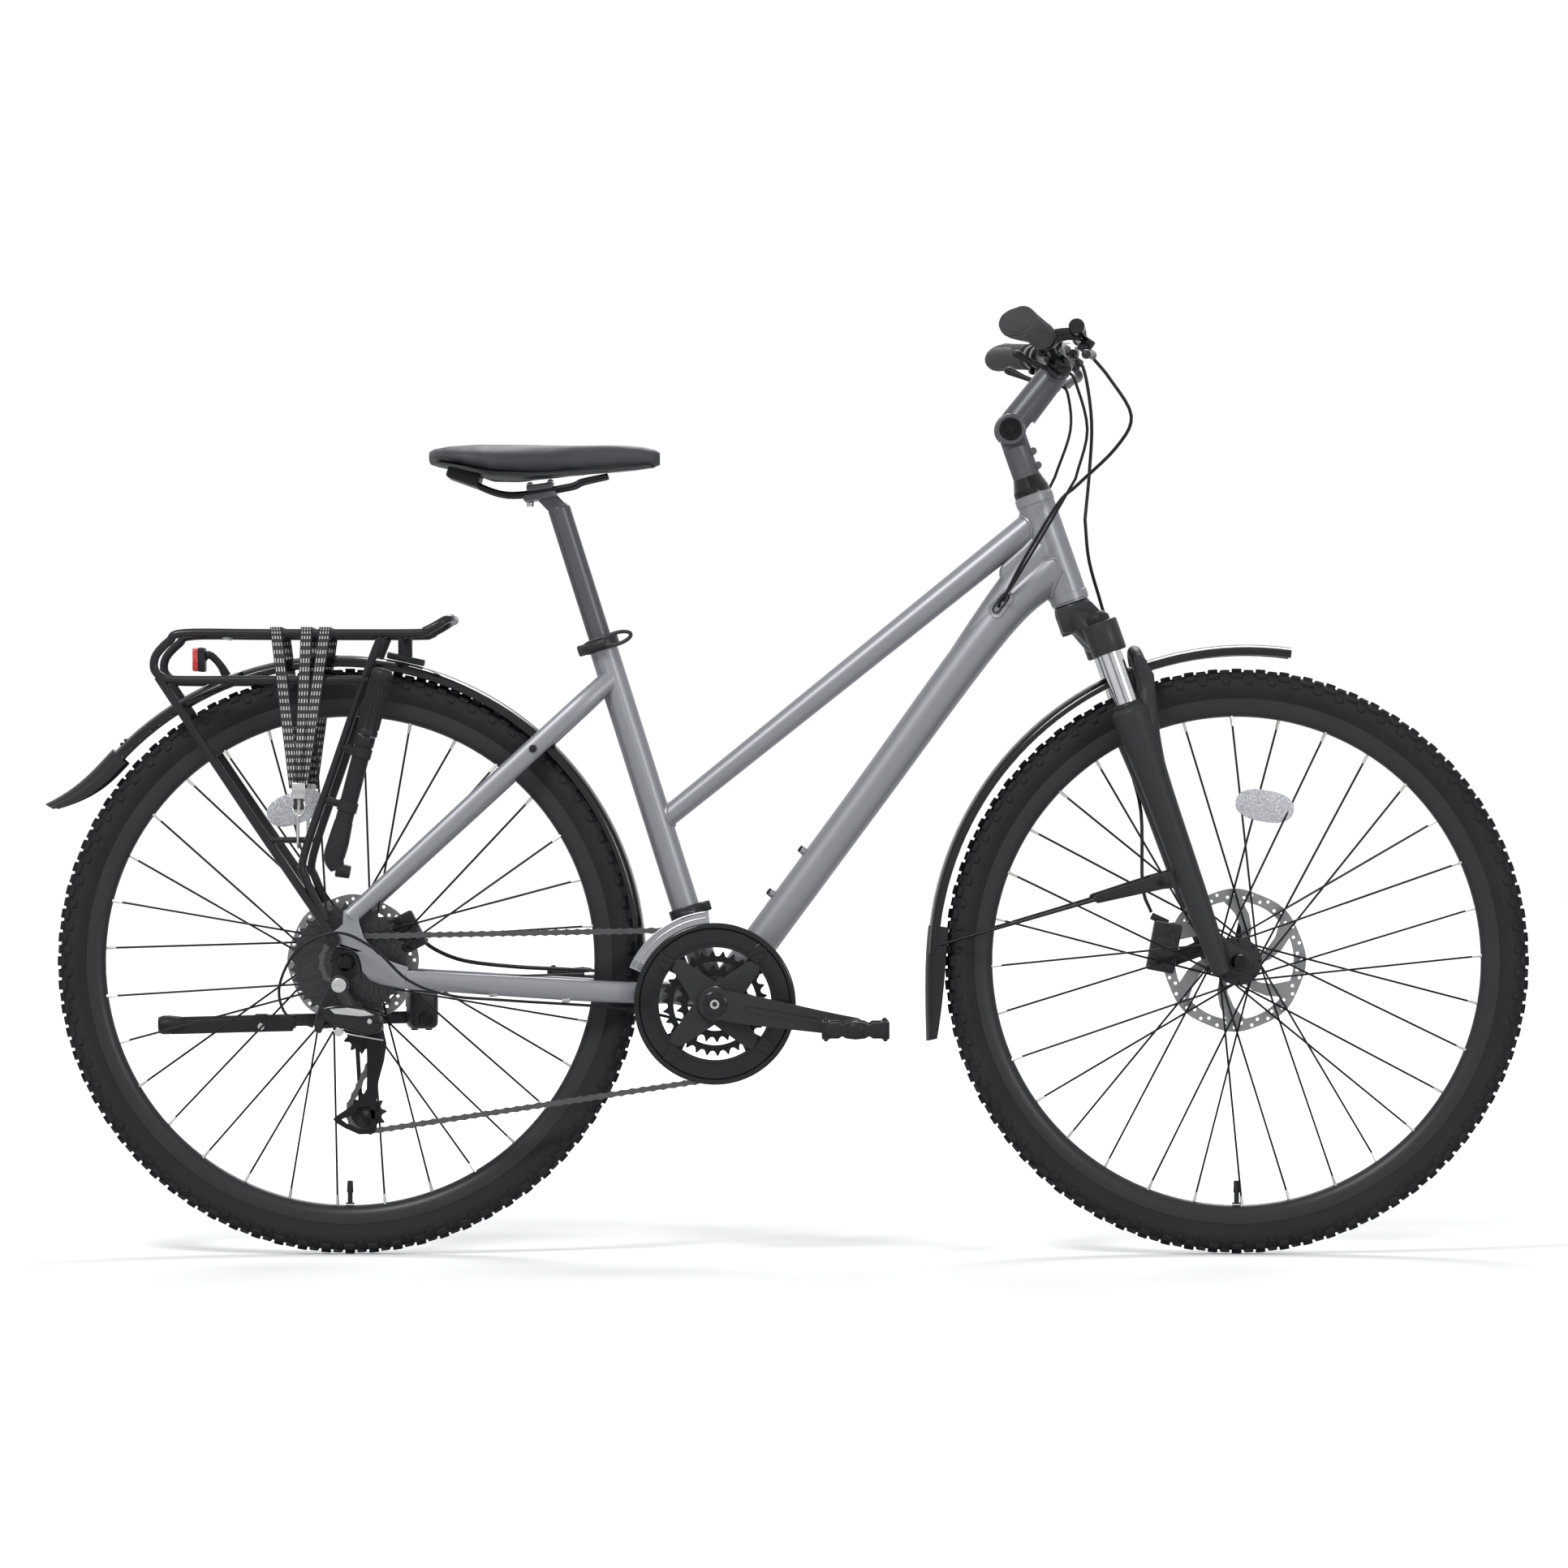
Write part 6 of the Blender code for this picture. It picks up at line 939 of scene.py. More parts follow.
def make_frame():
    run, normal = down_tube_run()
    low = BOTTOM_BRACKET
    path = [low, low + run * 0.52 * DOWN_TUBE_BEND, low + run * DOWN_TUBE_BEND, steering(0.048)]
    radii = [DOWN_TUBE_RADIUS, DOWN_TUBE_RADIUS, DOWN_TUBE_RADIUS + 0.002, DOWN_TUBE_HEAD_RADIUS]
    top_start, top_end = seat_line(TOP_TUBE_SEAT_HEIGHT), steering(TOP_TUBE_HEAD_HEIGHT)
    half = BB_SHELL_WIDTH / 2
    boss = low + run * BOTTLE_BOSS_HEIGHT + normal * (DOWN_TUBE_RADIUS - 0.002)
    bosses = [boss, boss + run * BOTTLE_BOSS_SPACING]
    tubes = [
        rod(steering(0), steering(HEAD_TUBE_LENGTH), HEAD_TUBE_RADIUS, 64),
        rod(low, seat_line(SEAT_TUBE_LENGTH), SEAT_TUBE_RADIUS, 56),
        rod(top_start, top_end, TOP_TUBE_SEAT_RADIUS, 48, TOP_TUBE_RADIUS),
        tube(path, DOWN_TUBE_RADIUS, 10, radii, steps=10),
        crossbar(low, -half, half, BB_SHELL_RADIUS, 64, soft=0.0008),
        seatstay_bridge(),
    ]
    for side in (-1, 1):
        tubes += [chainstay(side), seatstay(side), dropout(side)]
    tubes += [rod(foot, foot + normal * 0.007, BOTTLE_BOSS_RADIUS, 20, soft=0.0005) for foot in bosses]
    cutters = [
        crossbar(low, -0.06, 0.06, BB_BORE_RADIUS, 32),
        rod(seat_line(0.222), seat_line(SEAT_TUBE_LENGTH + 0.02), SEATPOST_RADIUS + GAP, 48),
        rod(steering(-0.02), steering(HEAD_TUBE_LENGTH + 0.02), STEERER_RADIUS + GAP, 48),
        tube([low + run * 0.06, *path[1:3], path[2].lerp(path[3], 0.6)], 0.0185, 8),
        crossbar(REAR_AXLE, -0.09, 0.09, AXLE_RADIUS + GAP, 24),
        plate([cable_port_outline()], -0.036, -0.012, 0),
        plate([cable_port_outline()], 0.012, 0.036, 0),
    ]
    shell = cut(joined(tubes), cutters)
    top_run = (top_end - top_start).normalized()
    head_run = (path[3] - path[2]).normalized()
    beads = [
        weld(top_end - top_run * 0.06, top_run, TOP_TUBE_RADIUS * 0.985, HEAD_BOTTOM, STEER_UP,
             HEAD_TUBE_RADIUS),
        weld(top_start + top_run * 0.05, -top_run, TOP_TUBE_SEAT_RADIUS * 1.02, low, SEAT_UP,
             SEAT_TUBE_RADIUS),
        weld(path[3] - head_run * 0.07, head_run, DOWN_TUBE_HEAD_RADIUS * 0.95, HEAD_BOTTOM, STEER_UP,
             HEAD_TUBE_RADIUS),
        weld(low + run * 0.06, -run, DOWN_TUBE_RADIUS, low, LEFT, BB_SHELL_RADIUS),
        weld(low + SEAT_UP * 0.06, -SEAT_UP, SEAT_TUBE_RADIUS, low, LEFT, BB_SHELL_RADIUS),
    ]
    for height in (0.001, HEAD_TUBE_LENGTH - 0.001):
        beads.append(turned(
            [(HEAD_TUBE_RADIUS - 0.001, height - 0.006), (HEAD_TUBE_RADIUS + 0.0009, height - 0.0045),
             (HEAD_TUBE_RADIUS + 0.0009, height + 0.0045), (HEAD_TUBE_RADIUS - 0.001, height + 0.006)],
            HEAD_BOTTOM + STEER_UP * (0.006 if height < 0.05 else -0.006), STEER_UP))
    dressed([shell, *beads], "welded_frame", "paint", "frame")
    screws = []
    for foot in bosses:
        head = foot + normal * 0.007
        screws.append(rod(head, head + normal * 0.003, 0.0042, 20, soft=0.0008))
        screws.append(rod(head + normal * 0.0026, head + normal * 0.0032, 0.0016, 6))
    rims = []
    for side in (-1, 1):
        rims.append(on_down_tube(plate([cable_port_outline(0.0034), cable_port_outline(-0.0008)], 0, 0.0022,
                                       0.0005), side))
        screws.append(on_down_tube(plate([cable_port_outline(0.0), cable_port_outline(-0.0026)], 0, 0.0018,
                                         0.0003), side))
        bolt = seatstay_ends(side)[0].lerp(seatstay_ends(side)[1], 0.3)
        bolt = across(side * 0.0445, bolt)
        screws.append(rod(bolt, bolt + LEFT * side * 0.004, 0.0048, 20, soft=0.0008))
    gusset = tube(
        [Vector((0.185, 0, 0.698)), Vector((0.248, 0, 0.78)), Vector((0.285, 0, 0.828)),
         Vector((0.308, 0, 0.857))],
        0.021, 10, radii=[0.013, 0.02, 0.021, 0.02], steps=8)
    web = [(0.254, 0.808), (0.2478, 0.818), (0.25, 0.83), (0.275, 0.852), (0.295, 0.875), (0.305, 0.85),
           (0.28, 0.825)]
    bore = rod(steering(-0.03), steering(0.2), HEAD_TUBE_RADIUS - 0.003, 56)
    dressed(cut(joined([gusset, plate([web], -0.013, 0.013, 0.005, 3)]), [bore]), "frame_gusset", "paint",
            "frame")
    dressed(rims, "cable_port_rims", "paint", "frame")
    screws.append(hanger())
    stop = from_rear_axle(0.079, -0.0688, -0.03)
    screws.append(block(Vector((BOTTOM_BRACKET.x + 0.004, 0, BOTTOM_BRACKET.z - 0.0235)),
                        (0.022, 0.03, 0.005)))
    dressed(screws, "frame_screws_and_grommets", "plastic", "frame")
    clips = []
    for share in (0.28, 0.62):
        stay = Vector((BOTTOM_BRACKET.x - 0.108, -0.0365, BOTTOM_BRACKET.z - 0.0015)).lerp(stop, share)
        clips.append(rod(stay - FORWARD * 0.005, stay + Vector((0.005, 0, 0.001)), 0.004, 20,
                         soft=0.0008))
    dressed(clips, "cable_stops", "silver", "frame")


# Wheels

def tyre_profile():
    """(radius, y) points of the casing's section, from one bead round to the other."""
    points = [casing_point(-128 + 256 * step / 24)[:2] for step in range(25)]
    points[0] = (RIM_RADIUS - 0.002, -0.0105)
    points[-1] = (RIM_RADIUS - 0.002, 0.0105)
    return points


def casing_point(angle):
    """A point of the casing's section and the lean of its wall there, at an angle from the crown."""
    bulge, half = (TYRE_HEIGHT - 0.004) / 2 * 1.02, TYRE_WIDTH / 2 - 0.0014
    crown = RIM_RADIUS + TYRE_HEIGHT - 0.004
    turn = math.radians(angle)
    lean = math.degrees(math.atan2(math.sin(turn) / half, math.cos(turn) / bulge))
    return crown - bulge + bulge * math.cos(turn), half * math.sin(turn), lean


def make_tyre(name, axle):
    """The casing with its rows of tread blocks."""
    casing = turned(tyre_profile(), axle, LEFT, 144)
    pieces = [casing]
    count = bpy.context.scene.bicycle_sizes.tread_blocks
    step = 360 / count
    rows = (
        (0, (0.0115, 0.0075, 0.005), 0.0), (27, (0.0105, 0.0062, 0.0048), 0.5),
        (51, (0.012, 0.0064, 0.0046), 0.0), (74, (0.0078, 0.006, 0.0034), 0.5),
    )
    for angle, size, phase in rows:
        radius, y, lean = casing_point(angle)
        rise, turn = size[2] / 2 - 0.0011, math.radians(lean)
        for side in ((1,) if angle == 0 else (-1, 1)):
            centre = axle + Vector((0, side * (y + rise * math.sin(turn)), radius + rise * math.cos(turn)))
            first = block(centre, size, Matrix.Rotation(math.radians(-side * lean), 3, "X"), 0.0007, 1)
            row = [first] + [copied(first, around(axle, LEFT, step * index)) for index in range(1, count)]
            if phase:
                for piece in row:
                    moved(piece, around(axle, LEFT, step * phase))
            pieces.append(together(row))
    dressed(pieces, name, name)


def make_rim(name, axle):
    """A deep rim with its valve."""
    half, inner = RIM_WIDTH / 2, RIM_RADIUS - RIM_DEPTH
    profile = [
        (RIM_RADIUS, half), (RIM_RADIUS - 0.0015, half), (RIM_RADIUS - 0.012, half * 0.94),
        (inner + 0.004, half * 0.62), (inner + 0.0008, half * 0.35), (inner, 0),
        (inner + 0.0008, -half * 0.35), (inner + 0.004, -half * 0.62), (RIM_RADIUS - 0.012, -half * 0.94),
        (RIM_RADIUS - 0.0015, -half), (RIM_RADIUS, -half),
    ]
    hoop = turned(profile, axle, LEFT, 144)
    dressed(hoop, name, "satin")
    seat = axle + UP * (-inner + 0.001)
    valve = [
        rod(seat, seat + UP * 0.024, 0.003, 20),
        rod(seat, seat + UP * 0.002, 0.0055, 20, soft=0.0005),
        rod(seat + UP * 0.014, seat + UP * 0.0285, 0.004, 20, 0.0034, 0.0006),
    ]
    dressed(valve, f"{name}_valve", "plastic", name)


def spoke_ends(axle, left_flange, right_flange, reflector_angle):
    """Both ends of each tangential spoke, laced so that a pair holds the reflector."""
    step = 720 / SPOKE_COUNT
    phase = reflector_angle - 2.5 * step
    rim_end = RIM_RADIUS - RIM_DEPTH + 0.0015
    ends = []
    for flange_y, shift in ((right_flange, 0.0), (left_flange, step / 2)):
        for index in range(SPOKE_COUNT // 2):
            hub_angle = math.radians(index * step + shift + phase)
            lean = 67.5 if index % 2 == 0 else -67.5
            rim_angle = hub_angle + math.radians(lean)
            out = 0.0012 if index % 2 == 0 else -0.0012
            start = axle + Vector((
                SPOKE_CIRCLE_RADIUS * math.cos(hub_angle), flange_y + out,
                SPOKE_CIRCLE_RADIUS * math.sin(hub_angle)
            ))
            end = axle + Vector((rim_end * math.cos(rim_angle), 0, rim_end * math.sin(rim_angle)))
            end.y = (0.0042 if flange_y > 0 else -0.0042) + out
            ends.append((start, end))
    return ends


def make_reflector(name, axle, radius, angle, flange_y):
    """The clear oval reflector clipped to two spokes."""
    outward = heading(angle)
    centre, tangent = axle + outward * radius, Vector((outward.z, 0, -outward.x))
    half, low = 0.0355, 0.019

    def outline(share):
        found = []
        for step in range(28):
            around_it = 2 * math.pi * step / 28
            x = math.copysign(abs(math.cos(around_it)) ** 0.75, math.cos(around_it)) * half * share
            z = math.copysign(abs(math.sin(around_it)) ** 0.9, math.sin(around_it)) * low * share
            point = centre + tangent * x + outward * z
            found.append((point.x, point.z))
        return found

    middle = flange_y * 0.4
    lens = plate([outline(1)], middle - 0.004, middle + 0.004, 0.0016, 3)
    dressed(lens, f"{name}_reflector", "clear", name)


def hub_profile(half, left, right, left_boss, right_boss):
    """(radius, y) points of a hub shell, from the left end to the right."""
    wall, boss = 0.0026, ROTOR_BOSS_RADIUS
    return [
        (0, half), (0.0066, half), (0.007, half - 0.0006), (0.007, left_boss), (boss - 0.0005, left_boss),
        (boss, left_boss - 0.0005), (boss, left + wall + 0.001), (HUB_FLANGE_RADIUS - 0.0008, left + wall),
        (HUB_FLANGE_RADIUS, left + wall - 0.0008), (HUB_FLANGE_RADIUS, left - wall + 0.0008),
        (HUB_FLANGE_RADIUS - 0.0008, left - wall), (HUB_SHELL_RADIUS + 0.004, left - wall - 0.0012),
        (HUB_SHELL_RADIUS, left - wall - 0.006), (HUB_SHELL_RADIUS, right + wall + 0.006),
        (HUB_SHELL_RADIUS + 0.004, right + wall + 0.0012), (HUB_FLANGE_RADIUS - 0.0008, right + wall),
        (HUB_FLANGE_RADIUS, right + wall - 0.0008), (HUB_FLANGE_RADIUS, right - wall + 0.0008),
        (HUB_FLANGE_RADIUS - 0.0008, right - wall), (boss, right - wall - 0.001), (boss, right_boss),
        (0.007, right_boss - 0.0005), (0.007, -half + 0.0006), (0.0066, -half), (0, -half),
    ]


def make_hub(name, axle, half, flanges, bosses, reflector_place):
    shell = turned(hub_profile(half, *flanges, *bosses), axle, LEFT, 64)
    dressed(shell, f"{name}_shell", "satin", name)
    wires, nipples = [], []
    radius = bpy.context.scene.bicycle_sizes.spoke_radius
    for start, end in spoke_ends(axle, *flanges, reflector_place[1]):
        wires.append(rod(start, end, radius, 8))
        run = (start - end).normalized()
        nipples.append(rod(end, end + run * 0.0125, 0.0021, 8, 0.0017))
        side = LEFT * math.copysign(1, start.y)
        wires.append(rod(start - side * 0.0036, start + side * 0.0022, 0.0017, 8))
    dressed(wires, f"{name}_spokes", "spoke", name)
    dressed(nipples, f"{name}_nipples", "nipple", name)
    make_reflector(name, axle, *reflector_place, flanges[1])


def make_rotor(name, axle, radius, y):
    """A wavy brake rotor: drilled braking band, six raked arms and the ring on the hub."""
    outline = []
    for step in range(192):
        angle = 360 * step / 192
        outline.append((radius - 0.001 * (1 - math.cos(math.radians(8 * angle))), angle))
    holes = [ring(axle, ROTOR_BOSS_RADIUS + GAP, 48)]
    low, high = ROTOR_BOSS_RADIUS + 0.011, radius - ROTOR_BAND
    for arm in range(6):
        angle = 60 * arm
        start = [(low, angle + 10 + 40 * step / 6) for step in range(7)]
        side = [(low + (high - low) * share, angle + 50 + 32 * share) for share in (0.35, 0.7)]
        end = [(high, angle + 82 - 42 * step / 8) for step in range(9)]
        back = [(high + (low - high) * share, angle + 40 - 30 * share) for share in (0.35, 0.7)]
        holes.append(flat_points(axle, start + side + end + back))
    for row, shift in ((radius - 0.0055, 0.0), (radius - 0.0102, 3.75)):
        for index in range(24):
            angle = 15 * index + shift + (2.5 if row < radius - 0.008 else 0)
            x, z = flat_points(axle, [(row, angle)])[0]
            holes.append(ring((x, 0, z), 0.0021, 8))
    for index in range(6):
        x, z = flat_points(axle, [(ROTOR_BOLT_CIRCLE, 60 * index + 30)])[0]
        holes.append(ring((x, 0, z), 0.0024, 10))
    half = ROTOR_THICKNESS / 2
    disc = plate([flat_points(axle, outline)] + holes, y - half, y + half, 0)
    dressed(disc, name, "rotor")
    bolts = []
    outer = y + half
    for index in range(6):
        x, z = flat_points(axle, [(ROTOR_BOLT_CIRCLE, 60 * index + 30)])[0]
        foot = Vector((x, outer - 0.0022, z))
        bolts.append(rod(foot, foot + LEFT * 0.0042, 0.0034, 16, soft=0.0006))
    dressed(bolts, f"{name}_bolts", "black_steel", name)


def make_skewer(name, axle, dropout_outer):
    """A quick release skewer with its nut on the right and its cam body on the left."""
    nut, cam = -dropout_outer - GAP, dropout_outer + GAP
    rod_part = crossbar(axle, nut - 0.006, cam + 0.01, AXLE_RADIUS, 24)
    nut_part = turned(
        [(0, 0), (0.0105, 0), (0.0105, 0.003), (0.0096, 0.0042), (0.0086, 0.0095), (0.007, 0.011),
         (0, 0.011)],
        across(nut, axle), -LEFT, 40)
    washer = crossbar(axle, cam, cam + 0.0045, 0.009, 40, soft=0.0006)
    body = crossbar(axle, cam + 0.003, cam + 0.0185, 0.005, 32, soft=0.0008)
    dressed([rod_part, nut_part, washer, body], name, "black_steel")


def make_skewer_lever(name, axle, dropout_outer, angle):
    """A quick release lever, closed along the leg; it turns about the cam's own pin."""
    run = heading(angle)
    pin = Vector((-run.z, 0, run.x))
    centre = across(dropout_outer + GAP + 0.012, axle)
    pieces = []
    for side in (-1, 1):
        near = centre + pin * side * (0.005 + GAP)
        pieces.append(rod(near, near + pin * side * 0.003, 0.007, 32, soft=0.0006))
        arm = near + run * 0.0065 + pin * side * 0.0015
        pieces.append(block(arm, (0.013, 0.0075, 0.0028), rotation_for(run, pin), 0.0006))
    bridge = centre + run * 0.0125
    pieces.append(block(bridge, (0.008, 0.008, 0.018), rotation_for(run, pin), 0.0014, 3))
    end = bridge + run * 0.045 + LEFT * 0.006
    blade = [bridge, bridge.lerp(end, 0.35), bridge.lerp(end, 0.8) + LEFT * 0.001, end]
    pieces.append(tube(blade, 0.0055, 6, radii=[0.0055, 0.0048, 0.0052, 0.0036]))
    dressed(pieces, name, "black_steel")


def make_wheels():
    front_half, rear_half = FRONT_HUB_WIDTH / 2, REAR_HUB_WIDTH / 2
    for name, axle in (("front", FRONT_AXLE), ("rear", REAR_AXLE)):
        make_tyre(f"{name}_tyre", axle)
        make_rim(f"{name}_rim", axle)
    make_hub("front_hub", FRONT_AXLE, front_half, (0.022, -0.033),
             (FRONT_ROTOR_Y + 0.004, -0.039), (0.19, 80.0))
    make_hub("rear_hub", REAR_AXLE, rear_half, (0.034, -0.021),
             (REAR_ROTOR_Y + 0.004, cog_y(0) - 0.0015), (0.196, 109.5))
    make_rotor("front_rotor", FRONT_AXLE, FRONT_ROTOR_RADIUS, FRONT_ROTOR_Y)
    make_rotor("rear_rotor", REAR_AXLE, REAR_ROTOR_RADIUS, REAR_ROTOR_Y)


def make_quick_releases():
    front_outer = FRONT_HUB_WIDTH / 2 + GAP + DROPOUT_THICKNESS
    rear_outer = REAR_HUB_WIDTH / 2 + GAP + DROPOUT_THICKNESS
    make_skewer("front_axle", FRONT_AXLE, front_outer)
    make_skewer("rear_axle", REAR_AXLE, rear_outer)
    make_skewer_lever("front_quick_release_lever", FRONT_AXLE, front_outer, 75)
    make_skewer_lever("rear_quick_release_lever", REAR_AXLE, rear_outer, 45)


# Fork and steering

def make_fork_upper():
    """Steerer and crown in black, and the chrome stanchions pressed into them."""
    top = STEM_PIVOT_HEIGHT - STEM_ARM_RADIUS - 0.008
    pieces = [
        rod(steering(-0.03), steering(top), STEERER_RADIUS, 48),
        turned(
            [(0, -GAP), (0.0205, -GAP), (0.0222, -0.003), (0.0235, -0.01), (0.0235, -0.033), (0.0225, -0.036),
             (0, -0.036)], HEAD_BOTTOM, STEER_UP),
    ]
    stanchions = []
    for side in (-1, 1):
        leg = side * FORK_LEG_Y
        clamp_top = steering(CROWN_CLAMP_TOP, FORK_LEG_OFFSET, leg)
        clamp_low = steering(CROWN_CLAMP_BOTTOM, FORK_LEG_OFFSET, leg)
        pieces.append(rod(clamp_top, clamp_low, CROWN_CLAMP_RADIUS, 56, soft=0.0022))
        arch = [
            steering(-0.018, 0, 0), steering(-0.024, 0.003, leg * 0.35), steering(-0.052, 0.014, leg * 0.75),
            steering(-0.058, FORK_LEG_OFFSET, leg),
        ]
        pieces.append(tube(arch, 0.018, 9, radii=[0.018, 0.017, 0.0155, 0.0152]))
        stanchions.append(rod(
            steering(CROWN_CLAMP_TOP - 0.005, FORK_LEG_OFFSET, leg),
            steering(LOWER_LEG_TOP - STANCHION_INSERTION, FORK_LEG_OFFSET, leg), STANCHION_RADIUS, 48))
    web = [(0.316, 0.7765), (0.357, 0.787), (0.371, 0.773), (0.383, 0.76), (0.376, 0.754), (0.352, 0.75),
           (0.3374, 0.748), (0.3244, 0.7484)]
    pieces.append(plate([web], -0.033, 0.033, 0.004, 3))
    dressed(joined(pieces), "fork_crown", "satin", "fork_upper")
    dressed(stanchions, "fork_stanchions", "chrome", "fork_upper")


def make_suspension_knob():
    foot = steering(CROWN_CLAMP_TOP + GAP, FORK_LEG_OFFSET, -FORK_LEG_Y)
    body = turned([(0, 0.012), (0.0088, 0.012), (0.0098, 0.0113), (0.0115, 0.009), (0.013, 0.007),
                   (0.0135, 0.006), (0.0135, 0.0006), (0.0129, 0), (0, 0)], foot, STEER_UP, 72)
    ribs = []
    first = rod(foot + STEER_FORWARD * 0.0132, foot + STEER_FORWARD * 0.0132 + STEER_UP * 0.0062, 0.0008, 8)
    for index in range(24):
        ribs.append(copied(first, around(foot, STEER_UP, 15 * index)))
    dressed([body, first, *ribs], "suspension_knob", "plastic")


def guard_stay_lug():
    """Where the front mudguard's stay clips are bolted, behind each fork leg."""
    leg = steering(-0.357, FORK_LEG_OFFSET)
    return leg, leg + Vector((-0.0325, 0, -0.006))


def front_caliper_centre():
    outward = heading(169.5)
    return FRONT_AXLE + outward * 0.087, outward


def make_fork_lowers():
    """Both lower legs and the arch as one casting, with wiper seals."""
    pieces, seals = [], []
    for side in (-1, 1):
        leg = side * FORK_LEG_Y
        heights = [LOWER_LEG_TOP, -0.15, -0.175, -0.25, -0.4, LOWER_LEG_BOTTOM]
        radii = [0.0195, 0.0235, 0.0225, 0.018, 0.015, 0.011]
        path = [steering(height, FORK_LEG_OFFSET, leg) for height in heights]
        pieces.append(tube(path, 0.02, 9, radii=radii, steps=5))
        wing = [(0.4085, 0.7215), (0.415, 0.7225), (0.4231, 0.715), (0.4258, 0.7081), (0.4322, 0.6979),
                (0.4356, 0.6607), (0.4385, 0.6117), (0.442, 0.57), (0.422, 0.57), (0.415, 0.63),
                (0.4165, 0.6718), (0.4145, 0.6901), (0.4095, 0.7133)]
        pieces.append(plate([wing], side * 0.044, side * 0.064, 0.005, 3))
        inner = side * (FRONT_HUB_WIDTH / 2 + GAP)
        low = steering(LOWER_LEG_BOTTOM + 0.012, FORK_LEG_OFFSET)
        high = steering(-0.425, FORK_LEG_OFFSET)
        outline = arc(FRONT_AXLE, 0.015, -110, 80, 18) + [
            (high.x + 0.004, high.z), (high.x - 0.006, high.z - 0.004), (low.x - 0.006, low.z)]
        pieces.append(plate([outline], inner, inner + side * DROPOUT_THICKNESS, 0.0014, 2))
        lug = capsule(*guard_stay_lug(), 0.012, 0.009, 12)
        pieces.append(plate([lug], side * 0.0595, side * GUARD_LUG_Y, 0.0012, 2))
        seals.append(turned(
            [(STANCHION_RADIUS + GAP, 0.0062), (0.017, 0.0062), (0.0186, 0.004), (0.0192, 0.0005),
             (0.0192, -0.003), (STANCHION_RADIUS + GAP, -0.003)],
            steering(LOWER_LEG_TOP, FORK_LEG_OFFSET, leg), STEER_UP))
    reach = [
        steering(LOWER_LEG_TOP - 0.085, FORK_LEG_OFFSET + 0.004, FORK_LEG_Y),
        steering(LOWER_LEG_TOP - 0.04, FORK_LEG_OFFSET + 0.011, FORK_LEG_Y),
        steering(LOWER_LEG_TOP - 0.006, FORK_LEG_OFFSET + 0.0215, FORK_LEG_Y - 0.004),
        steering(LOWER_LEG_TOP + 0.02, FORK_LEG_OFFSET + 0.0285, FORK_LEG_Y - 0.014),
        steering(LOWER_LEG_TOP + 0.056, FORK_LEG_OFFSET + 0.031, 0.022),
    ]
    arch = reach + [across(-point.y, point) for point in reversed(reach)]
    sizes = [0.014, 0.0142, 0.0128, 0.0108, 0.0085]
    pieces.append(tube(arch, 0.0085, 8, radii=sizes + sizes[::-1], steps=8))
    centre, outward = front_caliper_centre()
    tangent = Vector((outward.z, 0, -outward.x))
    inner = CALIPER_OUTER_Y + GAP
    for height, shift in ((-0.425, 0.022), (-0.447, -0.022)):
        mount = capsule(steering(height, FORK_LEG_OFFSET), centre + tangent * shift, 0.01, 0.0075, 12)
        pieces.append(plate([mount], inner, inner + 0.008, 0.0012, 2))
    bores = [rod(steering(-0.32, FORK_LEG_OFFSET, side * FORK_LEG_Y),
                 steering(LOWER_LEG_TOP + 0.02, FORK_LEG_OFFSET, side * FORK_LEG_Y),
                 STANCHION_RADIUS + GAP, 48) for side in (-1, 1)]
    bores.append(crossbar(FRONT_AXLE, -0.07, 0.07, AXLE_RADIUS + GAP, 24))
    dressed(cut(joined(pieces), bores), "fork_lowers", "matte")
    dressed(seals, "fork_wiper_seals", "plastic", "fork_lowers")


def stem_pivot():
    return steering(STEM_PIVOT_HEIGHT)


def stem_run():
    return Vector((math.cos(STEM_ARM_ANGLE), 0, math.sin(STEM_ARM_ANGLE)))


def bar_centre():
    return stem_pivot() + stem_run() * STEM_ARM_LENGTH


